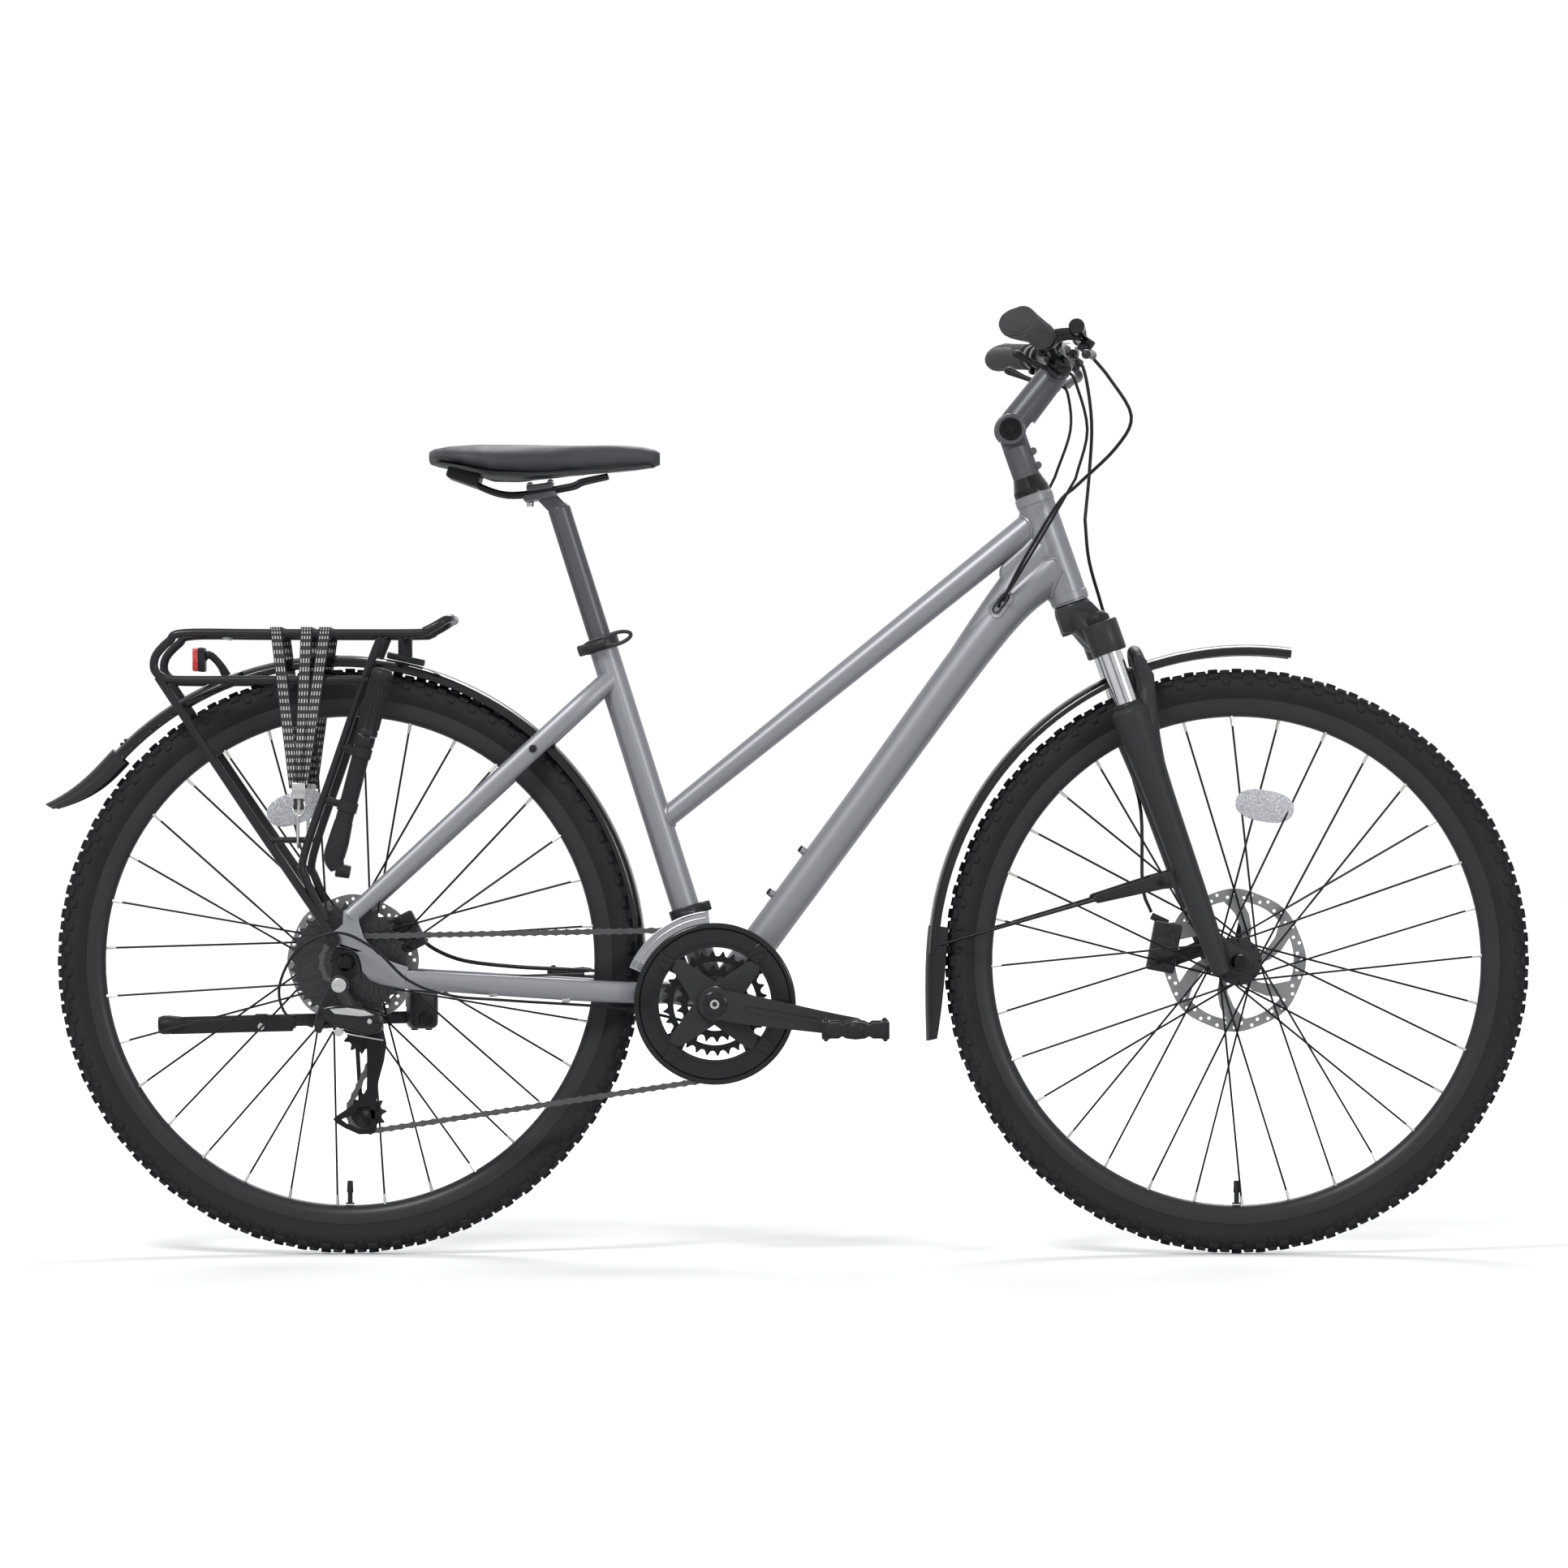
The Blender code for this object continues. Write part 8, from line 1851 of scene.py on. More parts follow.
def guard_shell(centre, radius, start, end):
    """An arched blade with rolled edges, spun from its section about the wheel's centre."""
    half, drop = GUARD_WIDTH / 2, GUARD_DEPTH
    outer = []
    for step in range(17):
        angle = math.radians(-90 + 180 * step / 16)
        y = half * math.copysign(abs(math.sin(angle)) ** 0.9, math.sin(angle))
        z = radius - drop + drop * abs(math.cos(angle)) ** 0.62
        outer.append((z, y))
    inner = []
    for z, y in outer:
        wall = GUARD_WALL if abs(y) < half * 0.9 else 0.0004
        inner.append((z - wall, y * (1 - GUARD_WALL / half)))
    loop = outer + inner[::-1]
    bpy.ops.object.select_all(action="DESELECT")
    bpy.ops.mesh.primitive_circle_add(vertices=len(loop), radius=1, fill_type="NGON")
    obj = bpy.context.object
    out = heading(start)
    for vertex, (reach, y) in zip(obj.data.vertices, loop):
        vertex.co = Vector(centre) + out * reach + LEFT * y
    only(obj)
    bpy.ops.object.mode_set(mode="EDIT")
    bpy.ops.mesh.select_all(action="SELECT")
    steps = max(12, round((end - start) / 2.5))
    bpy.ops.mesh.spin(steps=steps, angle=math.radians(end - start), center=centre, axis=(0, 1, 0))
    bpy.ops.object.mode_set(mode="OBJECT")
    return facing_out(obj)


def guard_flap(centre, radius, start, end, flare):
    """The rubber flap over a mudguard's end: it deepens, then flares away from the wheel to a point."""
    flap = guard_shell(centre, radius, start, end)
    for vertex in flap.data.vertices:
        offset = vertex.co - centre
        share = (math.degrees(math.atan2(offset.z, offset.x)) % 360 - start) / (end - start)
        share = min(1.0, max(0.0, share))
        reach = math.hypot(offset.x, offset.z)
        depth = (radius - reach) / GUARD_DEPTH * (0.024 - 0.011 * share**2.5)
        scale = (radius + flare * share**2.8 - depth) / reach
        vertex.co = centre + Vector((offset.x * scale, offset.y * 1.04, offset.z * scale))
    return flap


def make_rear_mudguard():
    centre = rear_guard_centre()
    shell = guard_shell(centre, REAR_GUARD_RADIUS, 0, 138)
    dressed(shell, "rear_mudguard", "gloss")
    flap = guard_flap(centre, REAR_GUARD_RADIUS + 0.0036, 136.5, 151.4, 0.0268)
    screws = []
    for angle in (133.5, 134.5):
        x, z = flat_points(centre, [(REAR_GUARD_RADIUS - 0.0008, angle)])[0]
        for y in (-0.011, 0.011):
            head = Vector((x, y, z))
            screws.append(ball(head, 0.0028, (1, 1, 0.7)))
    dressed([flap, *screws], "rear_mudguard_flap", "plastic", "rear_mudguard")


def make_front_mudguard():
    centre = front_guard_centre()
    shell = guard_shell(centre, FRONT_GUARD_RADIUS, 82, 178)
    dressed(shell, "front_mudguard", "gloss")
    flap = guard_flap(centre, FRONT_GUARD_RADIUS + 0.001, 173, 193.4, 0.0106)
    dressed(flap, "front_mudguard_flap", "plastic", "front_mudguard")
    _, lug = guard_stay_lug()
    end = flat_points(centre, [(FRONT_GUARD_RADIUS - GUARD_DEPTH, 176.4)])[0]
    inner = GUARD_LUG_Y + GAP
    far = lug + Vector((-0.0755, 0, -0.0205))
    stays, clips = [], []
    for side in (-1, 1):
        clips.append(plate([capsule(lug, far, 0.009, 0.005)], side * inner, side * (inner + 0.004), 0.001, 2))
        middle = side * (inner + 0.002)
        stays.append(tube([
            across(middle, far + FORWARD * 0.004), across(middle, far + Vector((-0.006, 0, -0.002))),
            Vector((end[0], side * (GUARD_WIDTH / 2 - 0.0008), end[1])),
        ], 0.0019, 4, steps=1))
        head = across(side * (inner + 0.003), lug), across(side * (inner + 0.0065), lug)
        stays.append(rod(*head, 0.0042, 24, soft=0.0008))
    dressed(clips, "front_mudguard_stay_clips", "plastic", "front_mudguard")
    dressed(stays, "front_mudguard_stays", "black_steel", "front_mudguard")


# Rack, straps, lamp and pump

def rack_point(x, z):
    """A point of the right-hand rack side, which splays towards its foot."""
    foot = 0.027
    foot_y = REAR_HUB_WIDTH / 2 + 2 * GAP + DROPOUT_THICKNESS + RACK_TUBE_RADIUS
    share = min(1, max(0, (RACK_MIDDLE_HEIGHT - z) / (RACK_MIDDLE_HEIGHT - foot)))
    y = RACK_HALF_WIDTH + (foot_y - RACK_HALF_WIDTH) * share
    return from_rear_axle(x, -y, z)


def make_rack():
    """The tube rack: looped rail, stays, ties and deck, with its bracket on the mudguard."""
    deck, middle, radius = RACK_DECK_HEIGHT, RACK_MIDDLE_HEIGHT, RACK_TUBE_RADIUS
    half_loop = [
        rack_point(0.026, middle), rack_point(-0.1, middle), rack_point(-0.205, middle),
        rack_point(-0.222, middle + 0.004), rack_point(-0.2305, middle + 0.014),
        rack_point(-0.228, middle + 0.03), rack_point(-0.212, deck - 0.009), rack_point(-0.195, deck),
        rack_point(-0.1, deck), rack_point(0.078, deck), rack_point(0.094, deck + 0.003),
        rack_point(0.108, deck + 0.01), rack_point(0.117, deck + 0.0155) + LEFT * 0.004,
        rack_point(0.1225, deck + 0.0178) + LEFT * 0.013, rack_point(0.124, deck + 0.0182) + LEFT * 0.026,
        rack_point(0.124, deck + 0.0182) + LEFT * 0.045,
    ]
    loop = half_loop + [across(-point.y, point) for point in reversed(half_loop)]
    pieces = [tube(loop, radius, 6, steps=5)]
    foot, rear_top = rack_point(-0.0156, 0.0274), rack_point(-0.226, middle + 0.004)
    front = [
        rack_point(0.041, deck - 0.004), rack_point(0.023, middle + 0.005), rack_point(-0.05, 0.128),
        rack_point(-0.047, 0.098), rack_point(-0.024, 0.05),
    ]
    side_parts = [
        tube([rear_top, rear_top.lerp(foot, 0.5), foot + Vector((-0.006, 0, 0.012)), foot], radius, 6,
             steps=4),
        tube([front[0], front[1], front[1].lerp(front[2], 0.5), *front[2:]], radius * 0.95, 6, steps=5),
        tube([rack_point(-0.0955, 0.146), rack_point(-0.044, 0.146)], 0.0035, 5, steps=1),
        rod(foot + LEFT * 0.0052, foot - LEFT * 0.0056, 0.0092, 32, soft=0.0012),
        rod(foot - LEFT * 0.005, foot - LEFT * 0.0086, 0.0048, 24, soft=0.0008),
    ]
    pieces += side_parts + [mirrored(part) for part in side_parts]
    for x in (-0.15, -0.03):
        low = from_rear_axle(x, 0, deck - 0.002)
        pieces.append(crossbar(low, -RACK_HALF_WIDTH, RACK_HALF_WIDTH, 0.0038, 24))
    outward = heading(77.5)
    tangent = Vector((outward.z, 0, -outward.x))
    seat = rear_guard_centre() + outward * (REAR_GUARD_RADIUS + GAP)
    upright = Vector((seat.x, 0, REAR_AXLE.z + deck - 0.002))
    pieces += [
        block(seat + outward * 0.004, (0.046, 0.02, 0.008), rotation_for(tangent, outward), 0.0016),
        block((seat + upright) / 2 + UP * 0.002, (0.017, 0.014, upright.z - seat.z - 0.004),
              soft=0.0016),
        crossbar(upright, -RACK_HALF_WIDTH, RACK_HALF_WIDTH, 0.0045, 24),
    ]
    dressed(pieces, "rear_rack", "painted")


def strap(points, name):
    """A flat band along points: a grid laid on its line, with its own UV map."""
    line = smooth_values([Vector(point) for point in points], 6)
    bpy.ops.object.select_all(action="DESELECT")
    bpy.ops.mesh.primitive_grid_add(x_subdivisions=len(line) - 1, y_subdivisions=4, size=2)
    obj = bpy.context.object
    obj.name = name
    for vertex in obj.data.vertices:
        place = (vertex.co.x + 1) / 2 * (len(line) - 1)
        point = line[min(len(line) - 1, round(place))]
        across_band = vertex.co.y
        vertex.co = (point.x + across_band * STRAP_WIDTH * 0.65, point.y, point.z)
    wall = obj.modifiers.new("thickness", "SOLIDIFY")
    wall.thickness = STRAP_THICKNESS * 0.9
    wall.offset = 0
    return apply_modifier(obj, "thickness")


def make_straps():
    """Three elastic bands over the deck, gathered by a steel buckle and hook on each side."""
    over = RACK_DECK_HEIGHT + RACK_TUBE_RADIUS + STRAP_THICKNESS / 2 + GAP
    outside = RACK_HALF_WIDTH + RACK_TUBE_RADIUS + STRAP_THICKNESS / 2 + GAP
    buckle = from_rear_axle(-0.056, -0.083, 0.198)
    bands, silver, loops = [], [], []
    for x in (-0.084, -0.048, -0.026):
        low = buckle + Vector((0.15 * (x + 0.053), 0, 0.01))
        high = from_rear_axle(x, -outside, RACK_DECK_HEIGHT + 0.001)
        half = [low, low.lerp(high, 0.33), low.lerp(high, 0.66), high,
                from_rear_axle(x, -outside + 0.0018, over - 0.0018),
                from_rear_axle(x, -outside + 0.005, over), from_rear_axle(x, -0.02, over)]
        bands.append(strap(half + [across(-point.y, point) for point in reversed(half)], "band"))
    dressed(bands, "luggage_strap_bands", "strap", "luggage_strap")
    for side in (-1, 1):
        place = across(side * abs(buckle.y), buckle)
        loops.append(block(place - UP * 0.009, (0.0125, 0.004, 0.013), soft=0.0014))
        silver.append(block(place + UP * 0.007, (0.016, 0.0062, 0.019), soft=0.0008))
        silver.append(tube([place + Vector((x, 0, z)) for x, z in STRAP_CLIP], 0.0018, 4, steps=5))
        hook = [
            place - UP * 0.009, place + Vector((-0.001, -side * 0.0005, -0.022)),
            place + Vector((-0.001, -side * 0.001, -0.038)),
            place + Vector((-0.001, -side * 0.0042, -0.0548)),
            place + Vector((-0.001, -side * 0.0118, -0.0605)),
        ]
        silver.append(tube(hook, 0.0024, 4, radii=[0.0024, 0.0022, 0.002, 0.0018, 0.0018], steps=6))
    dressed(loops, "luggage_strap_ends", "strap", "luggage_strap")
    dressed(silver, "luggage_strap_hooks", "silver", "luggage_strap")


def make_rear_lamp():
    """The square rear lamp in its black housing, on the bent arm from the mudguard."""
    centre = rear_guard_centre()
    foot = centre + heading(111.3) * (REAR_GUARD_RADIUS + GAP)
    lens = from_rear_axle(-0.1815, 0, 0.3635)
    arm = tube([foot, foot + Vector((-0.008, 0, 0.014)), lens + Vector((0.012, 0, 0.006)),
                lens + Vector((0.004, 0, 0.002))],
               0.005, 6, radii=[0.0058, 0.0046, 0.0046, 0.005], steps=8)
    back = block(lens + FORWARD * 0.0026, (0.009, 0.029, 0.029), soft=0.0024, segments=3)
    dressed([arm, back], "rear_lamp_body", "plastic", "rear_lamp")
    glass = block(lens - FORWARD * 0.004, (0.008, 0.027, 0.028), soft=0.0022, segments=3)
    dressed(glass, "rear_lamp_lens", "red", "rear_lamp")


def make_pump():
    """The frame pump: barrel with its angled head and clips, and the fluted handle."""
    foot, joint, top = (from_rear_axle(-0.013, -PUMP_Y, 0.125), from_rear_axle(0.025, -PUMP_Y, 0.271),
                        from_rear_axle(0.0455, -PUMP_Y, 0.346))
    run = (joint - foot).normalized()
    length = (joint - foot).length
    barrel = [
        turned([(0, 0.028), (PUMP_RADIUS - 0.001, 0.028), (PUMP_RADIUS, 0.029), (PUMP_RADIUS, length - 0.014),
                (PUMP_RADIUS + 0.0014, length - 0.012), (PUMP_RADIUS + 0.0014, length - 0.0015),
                (PUMP_RADIUS + 0.0006, length - GAP), (0.0048, length - GAP), (0.0048, length - 0.09),
                (0, length - 0.09)],
               foot, run, 48),
        tube([foot + Vector((0.004, 0, -0.014)), foot, foot + run * 0.02, foot + run * 0.045], 0.013, 8,
             radii=[0.0085, 0.0125, 0.0128, 0.011], steps=6),
        rod(foot + Vector((0.002, 0, -0.014)), foot + Vector((0.019, 0, -0.017)), 0.0085, 32, 0.0078, 0.0012),
    ]
    stay_high, stay_low = rack_point(0.023, RACK_MIDDLE_HEIGHT + 0.005), rack_point(-0.05, 0.128)
    stay = (stay_high - stay_low).normalized()
    for share in (0.42, 0.86):
        middle = foot + (joint - foot) * share
        near = stay_low + stay * (middle - stay_low).dot(stay)
        out = (middle - near).normalized()
        barrel.append(tube([middle, near + out * (RACK_TUBE_RADIUS + GAP)], 0.0045, 5, steps=1))
        barrel.append(turned([(PUMP_RADIUS - 0.0002, -0.0065), (PUMP_RADIUS + 0.0016, -0.006),
                              (PUMP_RADIUS + 0.0016, 0.006), (PUMP_RADIUS - 0.0002, 0.0065)], middle, run,
                              48))
    dressed(barrel, "pump_barrel", "plastic")
    handle_length = (top - joint).length
    grip = turned([(0, 0), (0.012, 0), (0.013, 0.001), (0.013, 0.006), (0.012, 0.008),
                   (0.012, handle_length - 0.008), (0.0133, handle_length - 0.006),
                   (0.0133, handle_length - 0.001), (0.011, handle_length + 0.0035),
                   (0.008, handle_length + 0.005), (0, handle_length + 0.005)], joint, run, 48)
    side = run.cross(LEFT).normalized()
    first = rod(joint + side * 0.012 + run * 0.009, joint + side * 0.012 + run * (handle_length - 0.009),
                0.0013, 8)
    flutes = [copied(first, around(joint, run, 20 * index)) for index in range(1, 18)]
    slide = rod(joint - run * 0.08, joint + run * 0.01, 0.0045, 24)
    dressed([grip, first, *flutes, slide], "pump_handle", "plastic")


# Kickstand

def kickstand_pivot():
    return from_rear_axle(0.079, 0.086, -0.072)


def make_kickstand():
    """The bracket clamped under the left chainstay, and the folded leg."""
    pivot = kickstand_pivot()
    top = REAR_AXLE.z - 0.0227 - CHAINSTAY_RADIUS - GAP
    low = pivot.z - 0.012
    along = Vector((-KICKSTAND_AXIS.y, KICKSTAND_AXIS.x, 0)).normalized()
    turn = rotation_for(along, UP)
    centre = Vector((pivot.x + 0.003, 0.075, (top + low) / 2))
    body = block(centre, (0.036, 0.033, top - low), turn, 0.008, 4)
    slot = block(pivot - along * 0.006 - UP * 0.004, (0.06, 0.0126, 0.037), turn, 0.0004)
    pin = rod(pivot - KICKSTAND_AXIS * 0.03, pivot + KICKSTAND_AXIS * 0.045, 0.0038, 24)
    dressed(cut(body, [slot, pin]), "kickstand_bracket", "satin")
    bolts = [rod(pivot + KICKSTAND_AXIS * 0.0275, pivot + KICKSTAND_AXIS * 0.0305, 0.0088, 36, soft=0.001)]
    for x in (-0.009, 0.009):
        head = centre + along * x + UP * (low - centre.z)
        bolts.append(rod(head + UP * 0.002, head - UP * 0.002, 0.0042, 20, soft=0.0006))
    dressed(bolts, "kickstand_bolts", "black_steel", "kickstand_bracket")
    end = pivot + Vector((-KICKSTAND_LENGTH, 0, -0.008))
    run = (end - pivot).normalized()
    turn = rotation_for(run, KICKSTAND_AXIS.cross(run) * -1)
    length = (end - pivot).length

    def bar(first, last, size, lift=0.0, soft=0.0014):
        middle = pivot + run * ((first + last) / 2 * length) + UP * lift
        return block(middle, ((last - first) * length, *size), turn, soft)

    leg = [
        rod(pivot - KICKSTAND_AXIS * 0.006, pivot + KICKSTAND_AXIS * 0.006, 0.0105, 40, soft=0.001),
        bar(0.02, 0.98, (0.011, 0.015), 0.002), bar(0.5, 0.98, (0.0135, 0.017), -0.003),
        bar(0.49, 0.55, (0.015, 0.0165), 0.0), bar(0.6, 0.65, (0.015, 0.0185), 0.0015),
        rod(pivot - KICKSTAND_AXIS * 0.011, pivot + KICKSTAND_AXIS * 0.014, 0.0035, 24, soft=0.0005),
    ]
    for step in range(9):
        leg.append(bar(0.22 + 0.03 * step, 0.234 + 0.03 * step, (0.0122, 0.01), 0.001, 0.0006))
    screw = pivot + run * (0.625 * length) - UP * 0.005
    head = rod(screw - LEFT * 0.007, screw - LEFT * 0.0088, 0.0042, 28, soft=0.0006)
    dressed(head, "kickstand_length_screw", "silver", "kickstand_leg")
    dressed(leg, "kickstand_leg", "painted")
    foot = turned([(0, -0.022), (0.0088, -0.0215), (0.01, -0.018), (0.0116, -0.004), (0.0116, 0.004),
                   (0.0098, 0.0095), (0.007, 0.01), (0, 0.01)], end, run, 48)
    dressed(foot, "kickstand_foot", "plastic", "kickstand_leg")


# Brake calipers

def caliper(centre, outward, tangent, size, pot, rotor, soft=0.003):
    """A rounded body and its piston's pot, cut through where the rotor runs."""
    body = block(centre, size, rotation_for(outward, tangent), soft, 3)
    axle, y, radius = rotor
    slot = crossbar(axle, y - 0.0021, y + 0.0021, radius + 0.002, 96)
    return cut(joined([body, pot]), [slot])


def make_rear_caliper():
    outward = heading(27)
    tangent = Vector((-outward.z, 0, outward.x))
    outer, inner = REAR_HUB_WIDTH / 2, REAR_ROTOR_Y - 0.0115
    centre = across((outer + inner) / 2, REAR_AXLE + outward * 0.0735)
    pot_centre = centre - tangent * 0.002
    pot = crossbar(pot_centre, REAR_ROTOR_Y + 0.004, inner - 0.004, 0.014, 48,
              soft=0.0015)
    body = caliper(centre, outward, tangent, (0.034, outer - inner, 0.046), pot,
                   (REAR_AXLE, REAR_ROTOR_Y, REAR_ROTOR_RADIUS))
    start = across(0.0575, centre + outward * 0.01 - tangent * 0.01)
    ferrule = rod(start - Vector((0.008, 0, -0.006)), start + Vector((0.01, 0, -0.008)), 0.0045, 32,
                  soft=0.0006)
    bolts = []
    for shift in (-0.017, 0.017):
        head = across(inner - 0.0005, centre + tangent * shift)
        bolts.append(rod(head, head - LEFT * 0.0035, 0.0042, 20, soft=0.0006))
    dressed([body, ferrule, *bolts], "rear_brake_caliper", "satin")
    route = [
        start, start + Vector((0.02, 0.001, -0.016)), Vector((-0.4, 0.06, 0.352)),
        Vector((-0.34, 0.053, 0.345)), Vector((-0.28, 0.044, 0.342)),
        Vector((-0.215, 0.037, 0.3385)), Vector((-0.165, 0.028, 0.337)),
    ]
    dressed(tube(route, 0.0025, 4), "rear_brake_hose_tail", "sheath", "rear_brake_caliper")


def make_front_caliper():
    centre, outward = front_caliper_centre()
    tangent = Vector((outward.z, 0, -outward.x))
    middle = across(0.0415, centre)
    pot = crossbar(centre, FRONT_ROTOR_Y - 0.004, 0.025, 0.014, 48, soft=0.0015)
    body = caliper(middle, outward, tangent, (0.034, CALIPER_OUTER_Y - 0.028, 0.06), pot,
                   (FRONT_AXLE, FRONT_ROTOR_Y, FRONT_ROTOR_RADIUS))
    end = middle + tangent * 0.029
    ferrule = rod(across(0.046, end), Vector((0.4345, 0.046, 0.407)), 0.0045, 32, soft=0.0006)
    bolts = []
    for shift in (-0.022, 0.022):
        head = across(CALIPER_OUTER_Y + 0.0083, centre + tangent * shift)
        bolts.append(rod(head, head + LEFT * 0.004, 0.0045, 20, soft=0.0006))
        bolts.append(rod(across(0.0285, centre + tangent * shift), across(0.0262, centre + tangent * shift),
                         0.0042, 20))
    dressed([body, ferrule, *bolts], "front_brake_caliper", "satin")


# Chain line and toothed wheels

def cog_y(index):
    return CHAIN_Y + (index - DRIVE_COG) * COG_SPACING


def guide_pulley_centre():
    return from_rear_axle(0.019, CHAIN_Y, -0.086)


def tension_pulley_centre():
    return from_rear_axle(0.0235, CHAIN_Y, -0.181)


def cage_pivot():
    return from_rear_axle(0.027, CHAIN_Y, -0.072)


def chain_circles():
    """The chain's four circles, and the heading of the straight run that leaves each."""
    circles = [
        (BOTTOM_BRACKET, pitch_radius(RING_TEETH[0]), 1), (REAR_AXLE, pitch_radius(COG_TEETH[DRIVE_COG]), 1),
        (guide_pulley_centre(), pitch_radius(PULLEY_TEETH), -1),
        (tension_pulley_centre(), pitch_radius(PULLEY_TEETH), 1),
    ]
    runs = []
    for first, second in zip(circles, circles[1:] + circles[:1]):
        gap = second[0] - first[0]
        lean = math.asin((first[2] * first[1] - second[2] * second[1]) / math.hypot(gap.x, gap.z))
        runs.append(math.atan2(gap.z, gap.x) + lean)
    return circles, runs


def chain_rollers():
    """The place of every roller: equal steps along the pitch line."""
    circles, runs = chain_circles()
    line = []
    for index, (centre, radius, turn) in enumerate(circles):
        arrive, leave = runs[index - 1], runs[index]
        sweep = (leave - arrive) % (2 * math.pi) if turn > 0 else -((arrive - leave) % (2 * math.pi))
        steps = max(8, round(abs(math.degrees(sweep)) / 2))
        for step in range(steps + 1):
            heading = arrive + sweep * step / steps
            line.append(Vector((centre.x + turn * radius * math.sin(heading), CHAIN_Y,
                                centre.z - turn * radius * math.cos(heading))))
    line.append(line[0])
    lengths = [(second - first).length for first, second in zip(line, line[1:])]
    count = 2 * round(sum(lengths) / CHAIN_PITCH / 2)
    spacing = sum(lengths) / count
    rollers, travelled, index = [], 0.0, 0
    for number in range(count):
        while number * spacing > travelled + lengths[index]:
            travelled += lengths[index]
            index += 1
        rollers.append(line[index].lerp(line[index + 1], (number * spacing - travelled) / lengths[index]))
    return rollers


def seat_angle(centre, radius):
    """The angle, in degrees, of a roller that lies on a wheel, so that its teeth fit the chain."""
    nearest = min(chain_rollers(), key=lambda place: abs((place - across(CHAIN_Y, centre)).length - radius))
    return math.degrees(math.atan2(nearest.z - centre.z, nearest.x - centre.x))


def toothed(centre, teeth, phase=0.0, height=0.0023):
    """The (x, z) outline of a sprocket: round roller seats between pointed teeth."""
    radius, step = pitch_radius(teeth), 360 / teeth
    outline = []
    for tooth in range(teeth):
        angle = phase + tooth * step
        x, z = flat_points(centre, [(radius, angle)])[0]
        outline += arc((x, 0, z), 0.004, angle + 250, angle + 110, 4)
        half_tip = math.degrees(0.0006 / radius)
        outline += flat_points(centre, [(radius + height, angle + step / 2 - half_tip),
                                        (radius + height, angle + step / 2 + half_tip)])
    return outline


def make_cassette():
    """Nine toothed sprockets on their carrier."""
    cogs = []
    for index, teeth in enumerate(COG_TEETH):
        phase = seat_angle(REAR_AXLE, pitch_radius(teeth)) if index == DRIVE_COG else 7 * index
        holes = [ring(REAR_AXLE, ROTOR_BOSS_RADIUS + GAP, 40)]
        low, high = 0.026, pitch_radius(teeth) - 0.0125
        if high - low > 0.008:
            for arm in range(6):
                window = [(low, 60 * arm + 8), (low, 60 * arm + 30), (low, 60 * arm + 44),
                          (high, 60 * arm + 48), (high, 60 * arm + 28), (high, 60 * arm + 6)]
                holes.append(flat_points(REAR_AXLE, window))
        y = cog_y(index)
        cogs.append(plate([toothed(REAR_AXLE, teeth, phase)] + holes, y - 0.0009, y + 0.0009, 0))
    low, high = cog_y(0) - 0.0009, cog_y(len(COG_TEETH) - 1) + 0.0009
    inner = ROTOR_BOSS_RADIUS + GAP
    carrier = turned([(inner, low), (inner + 0.0022, low), (inner + 0.0022, high), (inner, high)], REAR_AXLE,
                     LEFT, 48)
    dressed([*cogs, carrier], "cassette", "dark")


def link_plate(length, y_from, y_to, radius=0.0041, waist=0.0027):
    """One figure-of-eight side plate, from a roller at the origin along X."""
    ends = [Vector((0, 0, 0)), FORWARD * length]
    outline = arc(ends[0], radius, 55, 305, 6) + [(length / 2, -waist)]
    outline += arc(ends[1], radius, 235, 485, 6) + [(length / 2, waist)]
    return plate([outline], y_from, y_to, 0)


def make_chain():
    """Every link: inner plates with their rollers, outer plates with their pins."""
    rollers = chain_rollers()
    length = CHAIN_PITCH
    half = CHAIN_WIDTH / 2
    inner = together([link_plate(length, side * 0.0022, side * 0.0032) for side in (-1, 1)] + [
        rod((x, -0.0022, 0), (x, 0.0022, 0), 0.0038, 12) for x in (0, length)])
    outer = together([link_plate(length, side * 0.0033, side * (half + 0.0006)) for side in (-1, 1)] + [
        rod((x, -half - 0.001, 0), (x, half + 0.001, 0), 0.0018, 8) for x in (0, length)])
    links = []
    for index, start in enumerate(rollers):
        end = rollers[(index + 1) % len(rollers)]
        heading = math.atan2(end.z - start.z, end.x - start.x)
        matrix = Matrix.Translation(start) @ Matrix.Rotation(-heading, 4, "Y")
        links.append(copied(inner if index % 2 else outer, matrix))
    for pattern in (inner, outer):
        bpy.data.objects.remove(pattern, do_unlink=True)
    dressed(links, "chain", "chain")


# Cranks, rings and pedals

def crank_direction():
    return Vector((math.cos(CRANK_DROP_ANGLE), 0, -math.sin(CRANK_DROP_ANGLE)))


def ring_bolt_places():
    return flat_points(BOTTOM_BRACKET,
                       [(RING_BOLT_RADIUS, angle - CRANK_DROP) for angle in SPIDER_ARM_ANGLES])


